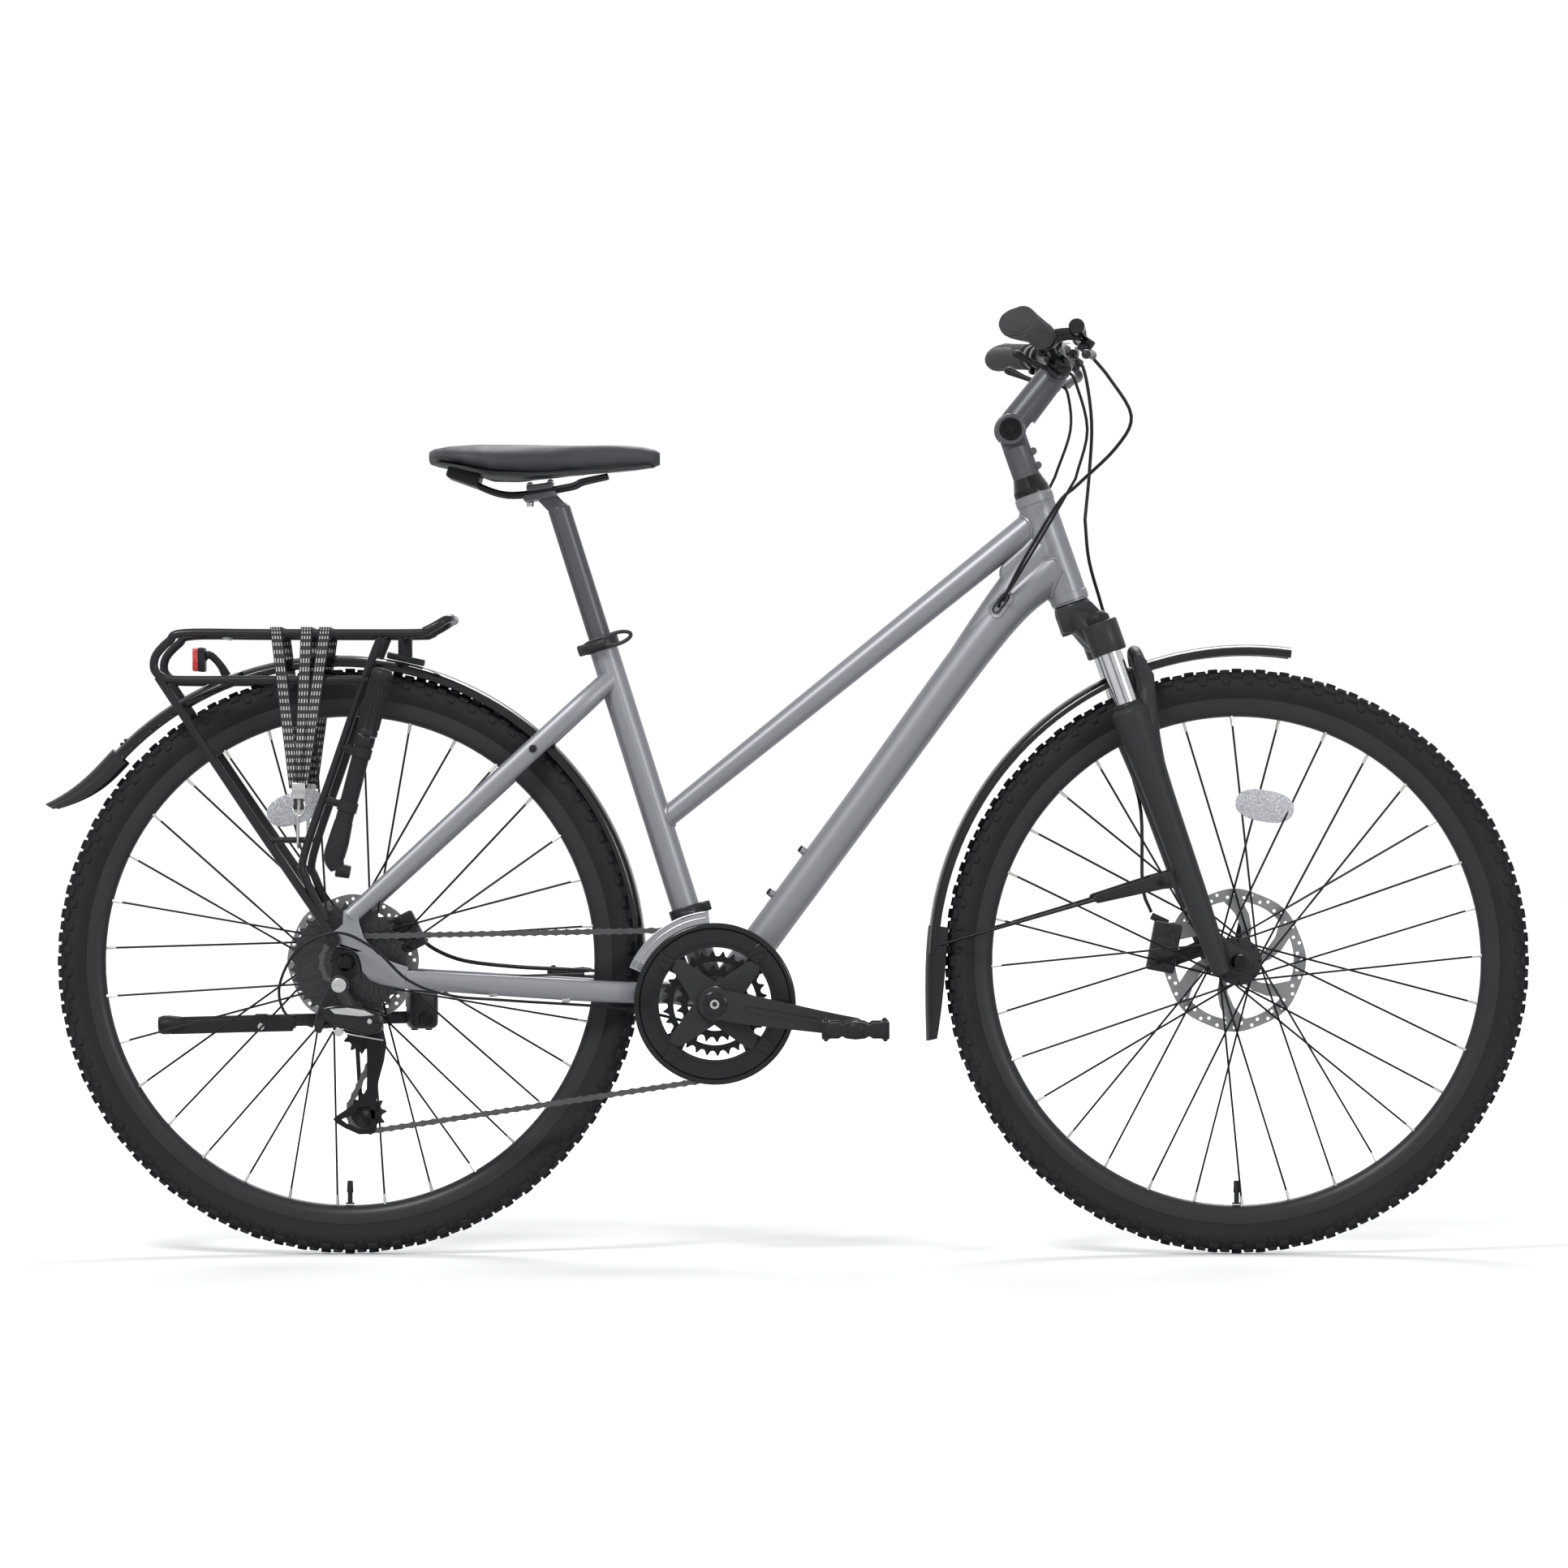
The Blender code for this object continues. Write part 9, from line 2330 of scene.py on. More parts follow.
def make_right_crank():
    """The right crank: arm, four-armed spider, hub, and the pedal's spindle."""
    bb = BOTTOM_BRACKET
    eye = bb + crank_direction() * CRANK_LENGTH
    face = -CRANK_FACE_Y
    spider_back = CHAIN_Y - 0.0013
    outline = []
    angle = -math.degrees(CRANK_DROP_ANGLE)
    outline += arc(bb, 0.0175, angle + 80, angle + 280, 20)
    halves = ((0.12, 0.0182), (0.25, 0.0176), (0.5, 0.0156), (0.75, 0.0132), (0.9, 0.0122))
    for share, half in halves:
        outline += flat_points(bb + crank_direction() * CRANK_LENGTH * share, [(half, angle - 90)])
    outline += arc(eye, 0.0118, angle - 90, angle + 90, 18)
    for share, half in reversed(halves):
        outline += flat_points(bb + crank_direction() * CRANK_LENGTH * share, [(half, angle + 90)])
    pieces = [
        plate([outline], face, face - CRANK_THICKNESS, 0.003, 3),
        crossbar(bb, -BB_SHELL_WIDTH / 2 - 0.002, face - CRANK_THICKNESS + 0.001, 0.0165, 48,
            soft=0.001),
        crossbar(bb, spider_back - 0.0004, face - 0.004, 0.024, 48, 0.02, 0.0008),
        crossbar(eye, face, -PEDAL_INNER_Y - PEDAL_WIDTH + 0.012, PEDAL_SPINDLE_RADIUS, 28),
    ]
    for x, z in ring_bolt_places():
        place = Vector((x, 0, z))
        reach = (place - bb).normalized()
        arm = capsule(bb + reach * 0.012, place + reach * 0.008, 0.019, 0.0098, 12)
        pieces.append(plate([arm], spider_back, spider_back - 0.0068, 0.0026, 3))
    groove = capsule(bb + crank_direction() * 0.04, eye - crank_direction() * 0.03, 0.0045, 0.0036, 10)
    cutters = [
        crossbar(bb, -BB_SHELL_WIDTH / 2 + 0.01, -0.066, BB_BORE_RADIUS, 32),
        plate([groove], face - CRANK_THICKNESS - 0.001, face - CRANK_THICKNESS + 0.0012, 0),
    ]
    dressed(cut(joined(pieces), cutters), "right_crank", "satin")
    outer = face - CRANK_THICKNESS
    collar = turned([(0.0066, 0.002), (0.0066, -0.0012), (0.0074, -0.0018), (0.0138, -0.0016),
                     (0.015, -0.0008), (0.015, 0.002)], across(outer, bb), LEFT, 56)
    dressed(collar, "crank_cap", "gloss", "right_crank")
    bolt = turned([(0, 0.002), (0.0064, 0.002), (0.0064, -0.0004), (0.0056, -0.0012), (0.003, -0.0012),
                   (0.0026, 0.0006), (0, 0.0006)], across(outer, bb), LEFT, 40)
    dressed(bolt, "crank_bolt", "silver", "right_crank")


def make_left_crank():
    bb = BOTTOM_BRACKET
    eye = bb - crank_direction() * CRANK_LENGTH
    inner = BB_SHELL_WIDTH / 2 + 0.002
    arm = tube([
        across(0.059, bb + crank_direction() * 0.006), across(0.064, bb - crank_direction() * 0.05),
        across(0.076, bb - crank_direction() * 0.115), across(0.083, eye + crank_direction() * 0.004),
        across(0.0835, eye - crank_direction() * 0.006),
    ], 0.013, 9, radii=[0.0135, 0.0125, 0.0118, 0.0115, 0.01], flat=0.55, steps=8)
    pieces = [
        arm,
        crossbar(bb, inner, 0.066, 0.016, 48, soft=0.0012),
        crossbar(bb, -0.0645, inner + 0.005, CRANK_AXLE_RADIUS, 36),
        crossbar(eye, 0.0765, 0.09, 0.0115, 36, soft=0.0012),
        crossbar(eye, 0.078, PEDAL_INNER_Y + PEDAL_WIDTH - 0.012, PEDAL_SPINDLE_RADIUS, 28),
    ]
    dressed(joined(pieces), "left_crank", "satin")
    bolt = crossbar(bb, 0.065, 0.0675, 0.0082, 40, soft=0.0008)
    dressed(bolt, "left_crank_bolt", "silver", "left_crank")


def make_pedals():
    """Both platform pedals: core, toothed side rails, end plates and cap."""
    eye = BOTTOM_BRACKET + crank_direction() * CRANK_LENGTH
    start, end = PEDAL_INNER_Y, PEDAL_INNER_Y + PEDAL_WIDTH
    middle = (start + end) / 2
    length, width, height = PEDAL_LENGTH, PEDAL_WIDTH, PEDAL_HEIGHT
    for side, name, place in ((-1, "right_pedal", eye), (1, "left_pedal", BOTTOM_BRACKET * 2 - eye)):
        core = rod(across(side * start, place), across(side * (end - 0.004), place), 0.0095, 40, 0.008,
                   0.0008)
        pieces = [core]
        x, z = length / 2 - 0.004, height / 2 - 0.0035
        shape = [(-x, 0.45 * z), (-x * 0.86, z), (-x * 0.55, z), (-x * 0.45, z * 0.7), (-x * 0.3, z),
                 (0, z * 1.12)]
        shape += [(-a, b) for a, b in reversed(shape[:-1])]
        shape += [(a, -b) for a, b in reversed(shape)]
        for y in (start + 0.004, end - 0.004):
            outline = [(place.x + a, place.z + b) for a, b in shape]
            pieces.append(plate([outline], side * (y - 0.004), side * (y + 0.004), 0.0012, 2))
        pieces.append(block(across(side * middle, place), (length - 0.012, 0.006, height * 0.4), soft=0.0014))
        bored = cut(joined(pieces),
                    [rod(across(side * (start - 0.01), place), across(side * (end - 0.0117), place), 0.0053,
                         28)])
        toothed_rails = []
        for lean in (-1, 1):
            rail = across(side * middle, place + Vector((lean * (length - 0.01) / 2, 0, 0)))
            toothed_rails.append(block(rail, (0.01, width - 0.006, height - 0.005), soft=0.0016))
            count = 9
            for index in range(count):
                y = side * (start + 0.008 + (width - 0.016) * index / (count - 1))
                for up in (-1, 1):
                    foot = across(y, rail + UP * up * (height / 2 - 0.003))
                    toothed_rails.append(rod(foot, foot + UP * up * 0.003, 0.0036, 4, 0.0016))
        cap = turned([(0, 0.0006), (0.0098, 0.0006), (0.0096, 0.002), (0.007, 0.0036), (0, 0.0042)],
                     across(side * (end - 0.0006), place), LEFT * side, 40)
        dressed([bored, cap, *toothed_rails], name, "plastic")
        reflectors = []
        for lean in (-1, 1):
            at = across(side * middle, place + Vector((lean * (length / 2 - 0.0004), 0, 0)))
            reflectors.append(block(at, (0.0008, 0.04, 0.01), soft=0.0002, segments=1))
        dressed(reflectors, f"{name}_reflectors", "amber", name)


def make_chainrings():
    """Three toothed rings, held together by their bolts."""
    pieces = []
    openings = zip(RING_TEETH, (0.0675, 0.05, 0.033), (0.047, 0.0385, 0.029))
    for index, (teeth, hole, tab) in enumerate(openings):
        y = CHAIN_Y + index * RING_SPACING
        phase = seat_angle(BOTTOM_BRACKET, pitch_radius(teeth)) if index == 0 else 3
        opening = []
        for arm in SPIDER_ARM_ANGLES:
            angle = arm - CRANK_DROP * (index == 0)
            opening += [(tab, angle - 7), (tab, angle + 7), (hole, angle + 11)]
            opening += [(hole, angle + 11 + 68 * step / 12) for step in range(1, 13)]
        pieces.append(plate([toothed(BOTTOM_BRACKET, teeth, phase), flat_points(BOTTOM_BRACKET, opening)],
                            y - 0.001, y + 0.001, 0))
    inner_y = CHAIN_Y + 2 * RING_SPACING
    for x, z in flat_points(BOTTOM_BRACKET, [(INNER_BOLT_RADIUS, angle) for angle in SPIDER_ARM_ANGLES]):
        place = Vector((x, 0, z))
        pieces.append(crossbar(place, CHAIN_Y, inner_y, 0.003, 16))
    dressed(pieces, "chainrings", "black_steel")


def make_chain_guard():
    """The guard disc outside the large ring, clipped to it in four places."""
    outer_y = CHAIN_Y - 0.011
    inside = GUARD_APERTURE + 0.005
    profile = [
        (GUARD_RADIUS, outer_y + 0.006), (GUARD_RADIUS, outer_y + 0.0014),
        (GUARD_RADIUS - 0.001, outer_y + 0.0002), (GUARD_RADIUS - 0.003, outer_y - 0.0006),
        (GUARD_RADIUS - 0.0058, outer_y + 0.0002), (GUARD_RADIUS - 0.0078, outer_y + 0.003),
        (inside + 0.006, outer_y + 0.0052), (inside, outer_y + 0.0048), (inside, outer_y + 0.0064),
        (inside + 0.008, outer_y + 0.007), (GUARD_RADIUS - 0.006, outer_y + 0.005),
        (GUARD_RADIUS - 0.003, outer_y + 0.003), (GUARD_RADIUS - 0.0016, outer_y + 0.006),
    ]
    pieces = [turned(profile, BOTTOM_BRACKET, LEFT, 144)]
    face = CHAIN_Y - 0.0013
    for angle in SPIDER_ARM_ANGLES:
        x, z = flat_points(BOTTOM_BRACKET, [(0.0735, angle - 3)])[0]
        place = Vector((x, 0, z))
        pieces.append(crossbar(place, outer_y + 0.0025, face, 0.0055, 28))
        wedge = [(0.07, angle - 10), (0.07, angle + 4), (0.09, angle + 1), (0.09, angle - 7)]
        pieces.append(plate([flat_points(BOTTOM_BRACKET, wedge)], outer_y - 0.0006, outer_y + 0.003, 0.0008,
                            2))
    dressed(pieces, "chain_guard", "gloss")


# Derailleurs

def make_front_derailleur():
    """The front derailleur: band clamp, arm and the bright cage round the chain."""
    bb = BOTTOM_BRACKET
    along = FRONT_DERAILLEUR_HEIGHT / math.sin(SEAT_ANGLE)
    inner = SEAT_TUBE_RADIUS + GAP
    band = turned([(inner + 0.0035, along + 0.0065), (inner + 0.004, along + 0.0055),
                   (inner + 0.004, along - 0.0055), (inner + 0.0035, along - 0.0065), (inner, along - 0.007),
                   (inner, along + 0.007)], bb,
                   SEAT_UP)
    clamp = seat_line(along, 0, -inner - 0.001)
    outer_y, inner_y = CHAIN_Y - 0.006, CHAIN_Y + 0.0072
    arm = block(Vector((clamp.x + 0.002, (clamp.y + inner_y) / 2, bb.z + 0.1035)),
                (0.018, abs(inner_y - clamp.y) + 0.003, 0.014), soft=0.0022, segments=3)
    ear = block(seat_line(along, 0.024), (0.012, 0.014, 0.012), rotation_for(SEAT_FORWARD, SEAT_UP), 0.002, 3)
    dressed([band, arm, ear], "front_derailleur_clamp", "satin", "front_derailleur")
    outline = arc(bb, 0.1115, 94, 157, 24) + arc(bb, 0.0945, 157, 94, 24)
    tail = arc(bb, 0.1105, 151, 156, 3) + arc(bb, 0.096, 156, 151, 3)
    head = arc(bb, 0.1108, 96, 112, 6) + arc(bb, 0.1085, 112, 96, 6)
    cage = [
        plate([outline], outer_y, outer_y + 0.0012, 0.0003),
        plate([outline], inner_y, inner_y - 0.0012, 0.0003),
        plate([tail], outer_y, inner_y, 0.0003), plate([head], outer_y, inner_y, 0.0003),
    ]
    for radius in (0.1105, 0.1035, 0.0955):
        rib = [Vector((x, outer_y - 0.0002, z)) for x, z in arc(bb, radius, 96, 155, 20)]
        cage.append(tube(rib, 0.0009, 2, steps=1))
    dressed(cage, "front_derailleur_cage", "cage_steel", "front_derailleur")


def make_rear_derailleur():
    """The rear derailleur's two knuckles, the parallelogram between them and its adjuster."""
    hanger, pivot = from_rear_axle(-0.007, 0, -0.027), cage_pivot()
    outer = -(REAR_HUB_WIDTH / 2 + GAP + DROPOUT_THICKNESS) - GAP
    middle = (hanger + pivot) / 2 + Vector((-0.006, 0, -0.002))
    link = [across(-0.088, hanger), across(-0.09, middle), across(-0.078, pivot)]
    adjuster = across(-0.085, hanger + Vector((-0.02, 0, -0.03)))
    stop = from_rear_axle(-0.037, -0.0858, -0.0758)
    pieces = [
        crossbar(hanger, outer, outer - 0.018, 0.012, 48, soft=0.0018),
        crossbar(pivot, -0.0645, -0.084, 0.013, 48, soft=0.0018),
        tube(link, 0.01, 8, radii=[0.0085, 0.009, 0.0085], steps=8),
        rod(adjuster, across(-0.087, hanger), 0.0048, 24, soft=0.0006),
        rod(stop, across(-0.082, pivot - FORWARD * 0.008), 0.004, 24, soft=0.0006),
    ]
    socket = crossbar(pivot, -0.06, -0.079, 0.0043, 24)
    dressed(cut(joined(pieces), [socket]), "rear_derailleur_body", "satin", "rear_derailleur")
    bracket = [(-0.014, -0.02), (-0.024, -0.036), (-0.034, -0.06), (-0.037, -0.082), (-0.029, -0.085),
               (-0.021, -0.064), (-0.002, -0.05), (0.003, -0.034)]
    cover = [(-0.028, -0.053), (-0.01, -0.049), (0.022, -0.052), (0.042, -0.06), (0.047, -0.071),
             (0.043, -0.083), (0.03, -0.087), (0.012, -0.083), (-0.008, -0.077), (-0.026, -0.068)]
    panel = [(-0.018, -0.055), (0.004, -0.0535), (0.024, -0.0565), (0.036, -0.0625), (0.018, -0.064),
             (-0.012, -0.061)]
    shells = []
    for outline, y_from, y_to, soft in ((bracket, -0.08, -0.093, 0.0022), (cover, -0.085, -0.1, 0.0042)):
        shells.append(plate([about_rear_axle(outline)], y_from, y_to, soft, 4))
    dressed(shells, "rear_derailleur_link", "gloss", "rear_derailleur")
    bright = [
        crossbar(hanger, outer - 0.015, outer - 0.0238, 0.009, 40, soft=0.0012),
        plate([about_rear_axle(panel)], -0.099, -0.1006, 0.0007, 2),
        tube([from_rear_axle(-0.024, -0.0935, -0.079), from_rear_axle(0.01, -0.099, -0.086),
              from_rear_axle(0.046, -0.096, -0.0925)], 0.0009, 3, steps=5),
        rod(from_rear_axle(-0.007, -0.093, -0.0825), from_rear_axle(-0.007, -0.101, -0.0825), 0.0052, 28,
            soft=0.0008),
        rod(from_rear_axle(0.03, -0.099, -0.07), from_rear_axle(0.03, -0.1012, -0.07), 0.003, 24,
            soft=0.0005),
    ]
    dressed(bright, "rear_derailleur_bolts", "silver", "rear_derailleur")


def make_derailleur_cage():
    """The sprung cage: two open plates, both pulley bolts and the pivot pin."""
    guide, tension, pivot = guide_pulley_centre(), tension_pulley_centre(), cage_pivot()
    inner_y, outer_y = CHAIN_Y + CAGE_HALF, CHAIN_Y - CAGE_HALF
    pieces = []
    run = tension - guide
    window = capsule(guide + run * 0.24, guide + run * 0.76, 0.0052, 0.0046, 10)
    pieces.append(plate([capsule(guide, tension, 0.0105, 0.0095, 14), window], inner_y, inner_y + CAGE_PLATE,
                        0.0005))
    blade = [
        (0.012, -0.08), (0.024, -0.098), (0.0245, -0.125), (0.024, -0.152), (0.016, -0.165), (0.0, -0.176),
        (-0.012, -0.184), (-0.0165, -0.188), (-0.012, -0.193), (-0.002, -0.199), (0.015, -0.2065),
        (0.03, -0.206), (0.0345, -0.203), (0.035, -0.176), (0.0385, -0.142), (0.045, -0.118), (0.048, -0.098),
        (0.044, -0.08), (0.03, -0.07),
    ]
    opening = [(-0.006, -0.1885), (0.01, -0.182), (0.015, -0.174), (0.027, -0.1735), (0.029, -0.186),
               (0.0275, -0.1985), (0.014, -0.199), (0.0, -0.193)]
    pieces.append(plate([about_rear_axle(blade), about_rear_axle(opening)], outer_y, outer_y - CAGE_PLATE,
                        0.0008, 2))
    arm = capsule(tension, tension + Vector((0.0105, 0, -0.002)), 0.0068, 0.0052, 10)
    pieces.append(plate([arm], outer_y, outer_y - CAGE_PLATE, 0.0005))
    head_y = outer_y - CAGE_PLATE - 0.0002
    pieces.append(plate([capsule(pivot, guide, 0.011, 0.01, 14)], outer_y - 0.0001, head_y, 0.0004))
    pieces.append(crossbar(pivot, outer_y - 0.001, -0.0775, 0.004, 24))
    dressed(pieces, "derailleur_cage", "black_steel")
    bolts = [crossbar(centre, inner_y + CAGE_PLATE + 0.0015, outer_y - CAGE_PLATE - 0.0012, 0.003, 24,
                 soft=0.0003) for centre in (guide, tension)]
    dressed(bolts, "pulley_bolts", "dark", "derailleur_cage")


def make_pulleys():
    for name, centre in (("guide_pulley", guide_pulley_centre()),
                         ("tension_pulley", tension_pulley_centre())):
        phase = seat_angle(centre, pitch_radius(PULLEY_TEETH))
        teeth = plate([toothed(centre, PULLEY_TEETH, phase, 0.0018), ring(centre, 0.0033, 24)],
                      CHAIN_Y - 0.001, CHAIN_Y + 0.001, 0)
        reach = CAGE_HALF - 0.0005
        hub = turned([(0.0033, -reach), (0.0072, -reach), (0.0078, -0.0012), (0.0078, 0.0012),
                      (0.0072, reach), (0.0033, reach)], centre, LEFT, 40)
        dressed([teeth, hub], name, "plastic")


# Stage

# The photograph's view: level and square to the bicycle's right side
CAMERA_PLACE = Vector((0.0171, -8.0, 0.5333))
VIEW_WIDTH = 1.893
SENSOR_WIDTH = 36.0
LAMP_AIM_HEIGHT = 0.45
FLOOR_SIZE = 60
WORLD_GREY = (0.31, 0.313, 0.32, 1)
LAMPS = (
    ("key_lamp", (-2.2, -3.8, 4.8), 1.5, 260.0),
    ("fill_lamp", (3.8, -4.2, 2.0), 1.2, 80.0),
    ("rim_lamp", (0.6, 3.4, 4.2), 2.2, 160.0),
)


def make_stage():
    """A pale floor, a white surround that metal also sees, soft lamps and the camera."""
    colours = bpy.context.scene.bicycle_colours
    bpy.ops.object.select_all(action="DESELECT")
    bpy.ops.mesh.primitive_plane_add(size=FLOOR_SIZE, location=(0, 0, -0.0006))
    floor = placed(bpy.context.object)
    floor.name = "studio_floor"
    look = Finish("studio_floor", 0.85)
    paper = look.noise(3.0)
    shade = tuple(colours.floor)
    look.set("Base Color", look.colour(paper, tint(shade, 0.985), tint(shade, 1.01)))
    path = look.node("ShaderNodeLightPath", {})
    x, y, _ = look.axes(look.place())
    far = ((x * x + y * y).then("SQRT") - 1.2).then("MULTIPLY", 0.5)
    lift = look.colour(far, (0.14, 0.14, 0.14), (1.0, 1.0, 1.0))
    look.shader.inputs["Emission Strength"].default_value = 1.0
    look.set("Emission Color", look.colour(Value(look, path.outputs["Is Camera Ray"]), (0.0, 0.0, 0.0), lift))
    floor.data.materials.append(look.material)
    world = bpy.data.worlds.new("studio_surround")
    bpy.context.scene.world = world
    world.use_nodes = True
    tree = world.node_tree
    background = tree.nodes["Background"]
    background.inputs["Strength"].default_value = 1.0
    rays = tree.nodes.new("ShaderNodeLightPath")
    seen = None
    for name in ("Is Camera Ray", "Is Glossy Ray", "Is Transmission Ray"):
        if seen is None:
            seen = rays.outputs[name]
            continue
        larger = tree.nodes.new("ShaderNodeMath")
        larger.operation = "MAXIMUM"
        tree.links.new(seen, larger.inputs[0])
        tree.links.new(rays.outputs[name], larger.inputs[1])
        seen = larger.outputs[0]
    mix = tree.nodes.new("ShaderNodeMix")
    mix.data_type = "RGBA"
    mix.inputs[6].default_value = WORLD_GREY
    mix.inputs[7].default_value = (1, 1, 1, 1)
    tree.links.new(seen, mix.inputs[0])
    tree.links.new(mix.outputs[2], background.inputs[0])
    for name, place, size, power in LAMPS:
        bpy.ops.object.light_add(type="AREA", location=place)
        lamp = bpy.context.object
        lamp.name = name
        lamp.data.size = size
        lamp.data.energy = power
        aim = UP * LAMP_AIM_HEIGHT - Vector(place)
        lamp.rotation_euler = aim.to_track_quat("-Z", "Y").to_euler()
    bpy.ops.object.camera_add(location=CAMERA_PLACE, rotation=(math.radians(90), 0, 0))
    camera = bpy.context.object
    camera.name = "photo_camera"
    camera.data.sensor_width = SENSOR_WIDTH
    camera.data.lens = SENSOR_WIDTH * -CAMERA_PLACE.y / VIEW_WIDTH
    camera.data.shift_x, camera.data.shift_y = -0.015, 0.0176
    camera.data.clip_end = 200.0
    bpy.context.scene.camera = camera
    bpy.context.scene.view_settings.view_transform = "Standard"


# Add-on

class BicycleColours(bpy.types.PropertyGroup):
    """The colours that a user would change."""

    frame: bpy.props.FloatVectorProperty(
        name="Frame paint", description="Satin metallic paint of the frame", subtype="COLOR",
        default=(0.225, 0.225, 0.248), min=0, max=1)
    black: bpy.props.FloatVectorProperty(
        name="Black parts", description="Anodised, painted and moulded black parts", subtype="COLOR",
        default=(0.03, 0.03, 0.034), min=0, max=1)
    tyre: bpy.props.FloatVectorProperty(
        name="Tyres", description="Tyre rubber", subtype="COLOR", default=(0.023, 0.023, 0.026), min=0, max=1)
    grip: bpy.props.FloatVectorProperty(
        name="Grips", description="Grip rubber", subtype="COLOR", default=(0.036, 0.036, 0.04), min=0, max=1)
    saddle: bpy.props.FloatVectorProperty(
        name="Saddle", description="Saddle cover", subtype="COLOR", default=(0.042, 0.043, 0.049), min=0,
        max=1)
    lamp: bpy.props.FloatVectorProperty(
        name="Rear lamp", description="Lens of the rear lamp", subtype="COLOR", default=(0.62, 0.015, 0.015),
        min=0, max=1)
    floor: bpy.props.FloatVectorProperty(
        name="Floor", description="Studio floor", subtype="COLOR", default=(0.8, 0.8, 0.8), min=0, max=1)


class BicycleSizes(bpy.types.PropertyGroup):
    """The sizes that a user would change."""

    tread_blocks: bpy.props.IntProperty(
        name="Tread blocks", description="Blocks in each row round a tyre", default=76, min=24, max=120)
    spoke_radius: bpy.props.FloatProperty(
        name="Spoke radius", description="Radius of each spoke", default=0.0013, unit="LENGTH", precision=5)
    hose_radius: bpy.props.FloatProperty(
        name="Hose radius", description="Radius of both brake hoses", default=0.0021, unit="LENGTH",
        precision=4)
    cable_radius: bpy.props.FloatProperty(
        name="Cable radius", description="Radius of the shift cables", default=0.0018, unit="LENGTH",
        precision=4)
    grip_ribs: bpy.props.IntProperty(
        name="Grip ribs", description="Ribs round each grip", default=26, min=8, max=40)


class MakeFinishes(bpy.types.Operator):
    """Make every procedural finish"""

    bl_idname = "bicycle.finishes"
    bl_label = "Finishes"

    def execute(self, context):
        LOOKS.update(make_looks())
        return {"FINISHED"}


class MakeFrame(bpy.types.Operator):
    """Make the welded frame with its screws, grommets and cable stops"""

    bl_idname = "bicycle.frame"
    bl_label = "Frame"

    def execute(self, context):
        make_frame()
        return {"FINISHED"}


class MakeWheels(bpy.types.Operator):
    """Make both wheels: tyres, rims, hubs, spokes, reflectors and rotors"""

    bl_idname = "bicycle.wheels"
    bl_label = "Wheels"

    def execute(self, context):
        make_wheels()
        return {"FINISHED"}


class MakeQuickReleases(bpy.types.Operator):
    """Make both wheel skewers and their levers"""

    bl_idname = "bicycle.quick_releases"
    bl_label = "Quick releases"

    def execute(self, context):
        make_quick_releases()
        return {"FINISHED"}


class MakeFork(bpy.types.Operator):
    """Make the crown, stanchions, preload knob and lower legs"""

    bl_idname = "bicycle.fork"
    bl_label = "Suspension fork"

    def execute(self, context):
        make_fork_upper()
        make_suspension_knob()
        make_fork_lowers()
        return {"FINISHED"}


class MakeCockpit(bpy.types.Operator):
    """Make the hinged stem, the handlebar and both grips"""

    bl_idname = "bicycle.cockpit"
    bl_label = "Stem and bar"

    def execute(self, context):
        make_stem()
        make_handlebar()
        make_grips()
        return {"FINISHED"}


class MakeControls(bpy.types.Operator):
    """Make the brake bodies, the brake levers and the shift levers"""

    bl_idname = "bicycle.controls"
    bl_label = "Brake and shift levers"

    def execute(self, context):
        make_brake_mounts()
        make_brake_levers()
        make_shift_levers()
        return {"FINISHED"}


class MakeHoses(bpy.types.Operator):
    """Make the brake hoses and the shift cables"""

    bl_idname = "bicycle.hoses"
    bl_label = "Hoses and cables"

    def execute(self, context):
        make_hoses()
        return {"FINISHED"}


class MakeSaddle(bpy.types.Operator):
    """Make the saddle's shell, rails and padded cover"""

    bl_idname = "bicycle.saddle"
    bl_label = "Saddle"

    def execute(self, context):
        make_saddle_base()
        make_saddle_cover()
        return {"FINISHED"}


class MakeSeatpost(bpy.types.Operator):
    """Make the seatpost, its clamp, the seat collar and its lever"""

    bl_idname = "bicycle.seatpost"
    bl_label = "Seatpost"

    def execute(self, context):
        make_seatpost()
        make_seat_collar()
        return {"FINISHED"}


class MakeMudguards(bpy.types.Operator):
    """Make both mudguards with their flaps and stays"""

    bl_idname = "bicycle.mudguards"
    bl_label = "Mudguards"

    def execute(self, context):
        make_rear_mudguard()
        make_front_mudguard()
        return {"FINISHED"}


class MakeRack(bpy.types.Operator):
    """Make the tube rack and its elastic straps"""

    bl_idname = "bicycle.rack"
    bl_label = "Rack and straps"

    def execute(self, context):
        make_rack()
        make_straps()
        return {"FINISHED"}


class MakeRearLamp(bpy.types.Operator):
    """Make the red rear lamp on its arm"""

    bl_idname = "bicycle.rear_lamp"
    bl_label = "Rear lamp"

    def execute(self, context):
        make_rear_lamp()
        return {"FINISHED"}


class MakePump(bpy.types.Operator):
    """Make the pump's barrel and handle"""

    bl_idname = "bicycle.pump"
    bl_label = "Pump"

    def execute(self, context):
        make_pump()
        return {"FINISHED"}


class MakeKickstand(bpy.types.Operator):
    """Make the kickstand's bracket and folded leg"""

    bl_idname = "bicycle.kickstand"
    bl_label = "Kickstand"

    def execute(self, context):
        make_kickstand()
        return {"FINISHED"}


class MakeCalipers(bpy.types.Operator):
    """Make both disc brake calipers"""

    bl_idname = "bicycle.calipers"
    bl_label = "Brake calipers"

    def execute(self, context):
        make_rear_caliper()
        make_front_caliper()
        return {"FINISHED"}


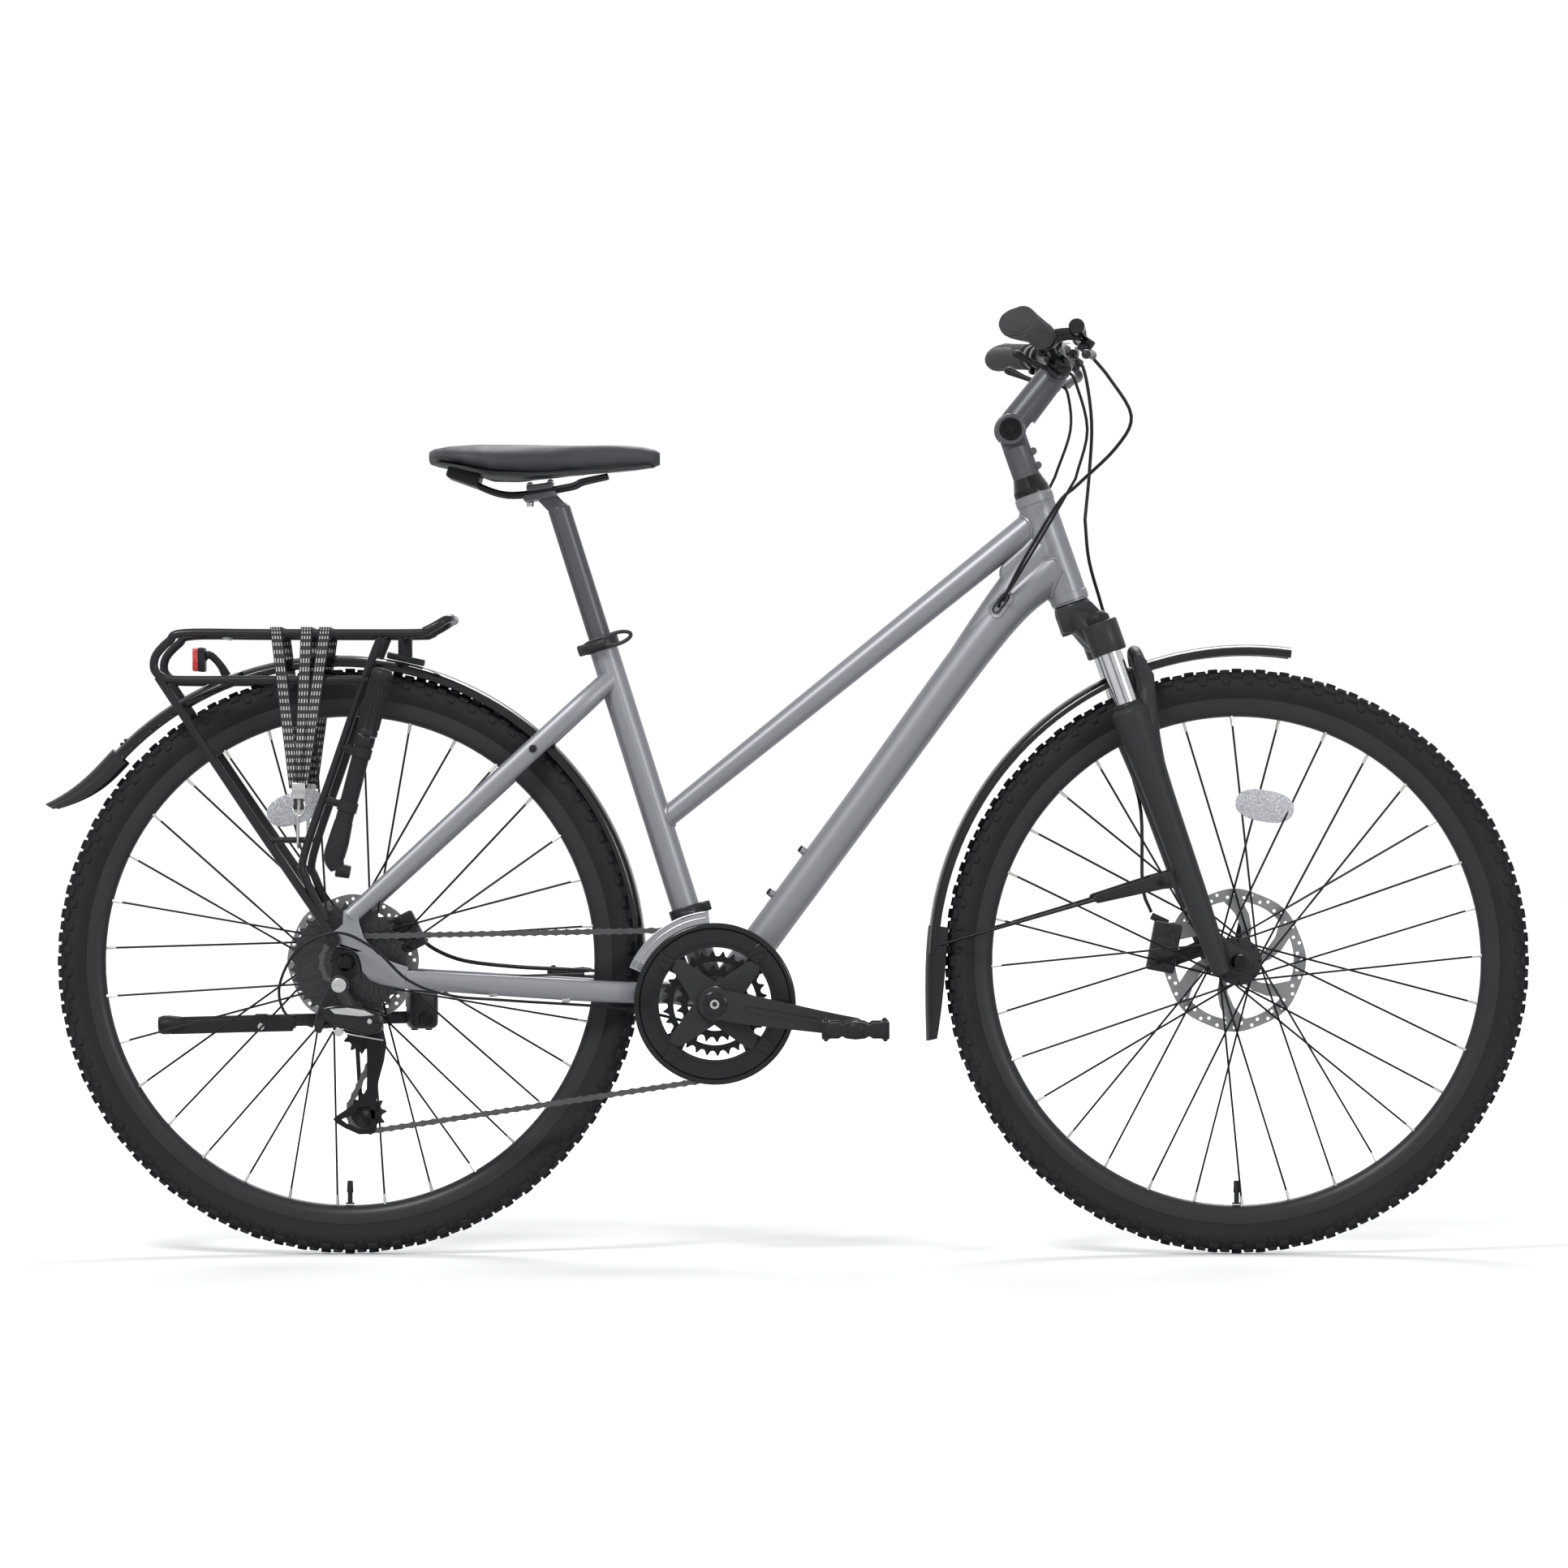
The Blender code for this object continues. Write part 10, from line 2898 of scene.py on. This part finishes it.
class MakeCrankset(bpy.types.Operator):
    """Make the cranks, the chainrings and the chain guard"""

    bl_idname = "bicycle.crankset"
    bl_label = "Crankset"

    def execute(self, context):
        make_right_crank()
        make_left_crank()
        make_chainrings()
        make_chain_guard()
        return {"FINISHED"}


class MakePedals(bpy.types.Operator):
    """Make both toothed platform pedals"""

    bl_idname = "bicycle.pedals"
    bl_label = "Pedals"

    def execute(self, context):
        make_pedals()
        return {"FINISHED"}


class MakeChain(bpy.types.Operator):
    """Make the sprockets and every link of the chain"""

    bl_idname = "bicycle.chain"
    bl_label = "Sprockets and chain"

    def execute(self, context):
        make_cassette()
        make_chain()
        return {"FINISHED"}


class MakeDerailleurs(bpy.types.Operator):
    """Make both derailleurs, the sprung cage and its pulleys"""

    bl_idname = "bicycle.derailleurs"
    bl_label = "Derailleurs"

    def execute(self, context):
        make_front_derailleur()
        make_rear_derailleur()
        make_derailleur_cage()
        make_pulleys()
        return {"FINISHED"}


class MakeStage(bpy.types.Operator):
    """Make the floor, the surround, the lamps and the camera"""

    bl_idname = "bicycle.stage"
    bl_label = "Studio"

    def execute(self, context):
        make_stage()
        return {"FINISHED"}


OPERATORS = (
    MakeFinishes, MakeFrame, MakeWheels, MakeQuickReleases, MakeFork, MakeCockpit,
    MakeControls, MakeHoses, MakeSaddle, MakeSeatpost, MakeMudguards, MakeRack, MakeRearLamp,
    MakePump, MakeKickstand, MakeCalipers, MakeCrankset, MakePedals, MakeChain,
    MakeDerailleurs, MakeStage,
)


class BicyclePanel(bpy.types.Panel):
    """The bicycle's sizes, colours and pieces"""

    bl_idname = "VIEW3D_PT_bicycle"
    bl_label = "Cross hybrid bicycle"
    bl_space_type = "VIEW_3D"
    bl_region_type = "UI"
    bl_category = "Bicycle"

    def draw(self, context):
        for group in (context.scene.bicycle_sizes, context.scene.bicycle_colours):
            for name in group.bl_rna.properties.keys():
                if name not in ("name", "rna_type"):
                    self.layout.prop(group, name)
        for operator in OPERATORS:
            self.layout.operator(operator.bl_idname)


CLASSES = (BicycleSizes, BicycleColours, *OPERATORS, BicyclePanel)


def register():
    for kind in CLASSES:
        bpy.utils.register_class(kind)
    bpy.types.Scene.bicycle_sizes = bpy.props.PointerProperty(type=BicycleSizes)
    bpy.types.Scene.bicycle_colours = bpy.props.PointerProperty(type=BicycleColours)


def unregister():
    del bpy.types.Scene.bicycle_colours
    del bpy.types.Scene.bicycle_sizes
    for kind in reversed(CLASSES):
        bpy.utils.unregister_class(kind)


def main():
    """Makes every piece in order."""
    register()
    for operator in OPERATORS:
        name = operator.bl_idname.split(".")[1]
        getattr(bpy.ops.bicycle, name)()


if __name__ == "__main__":
    main()
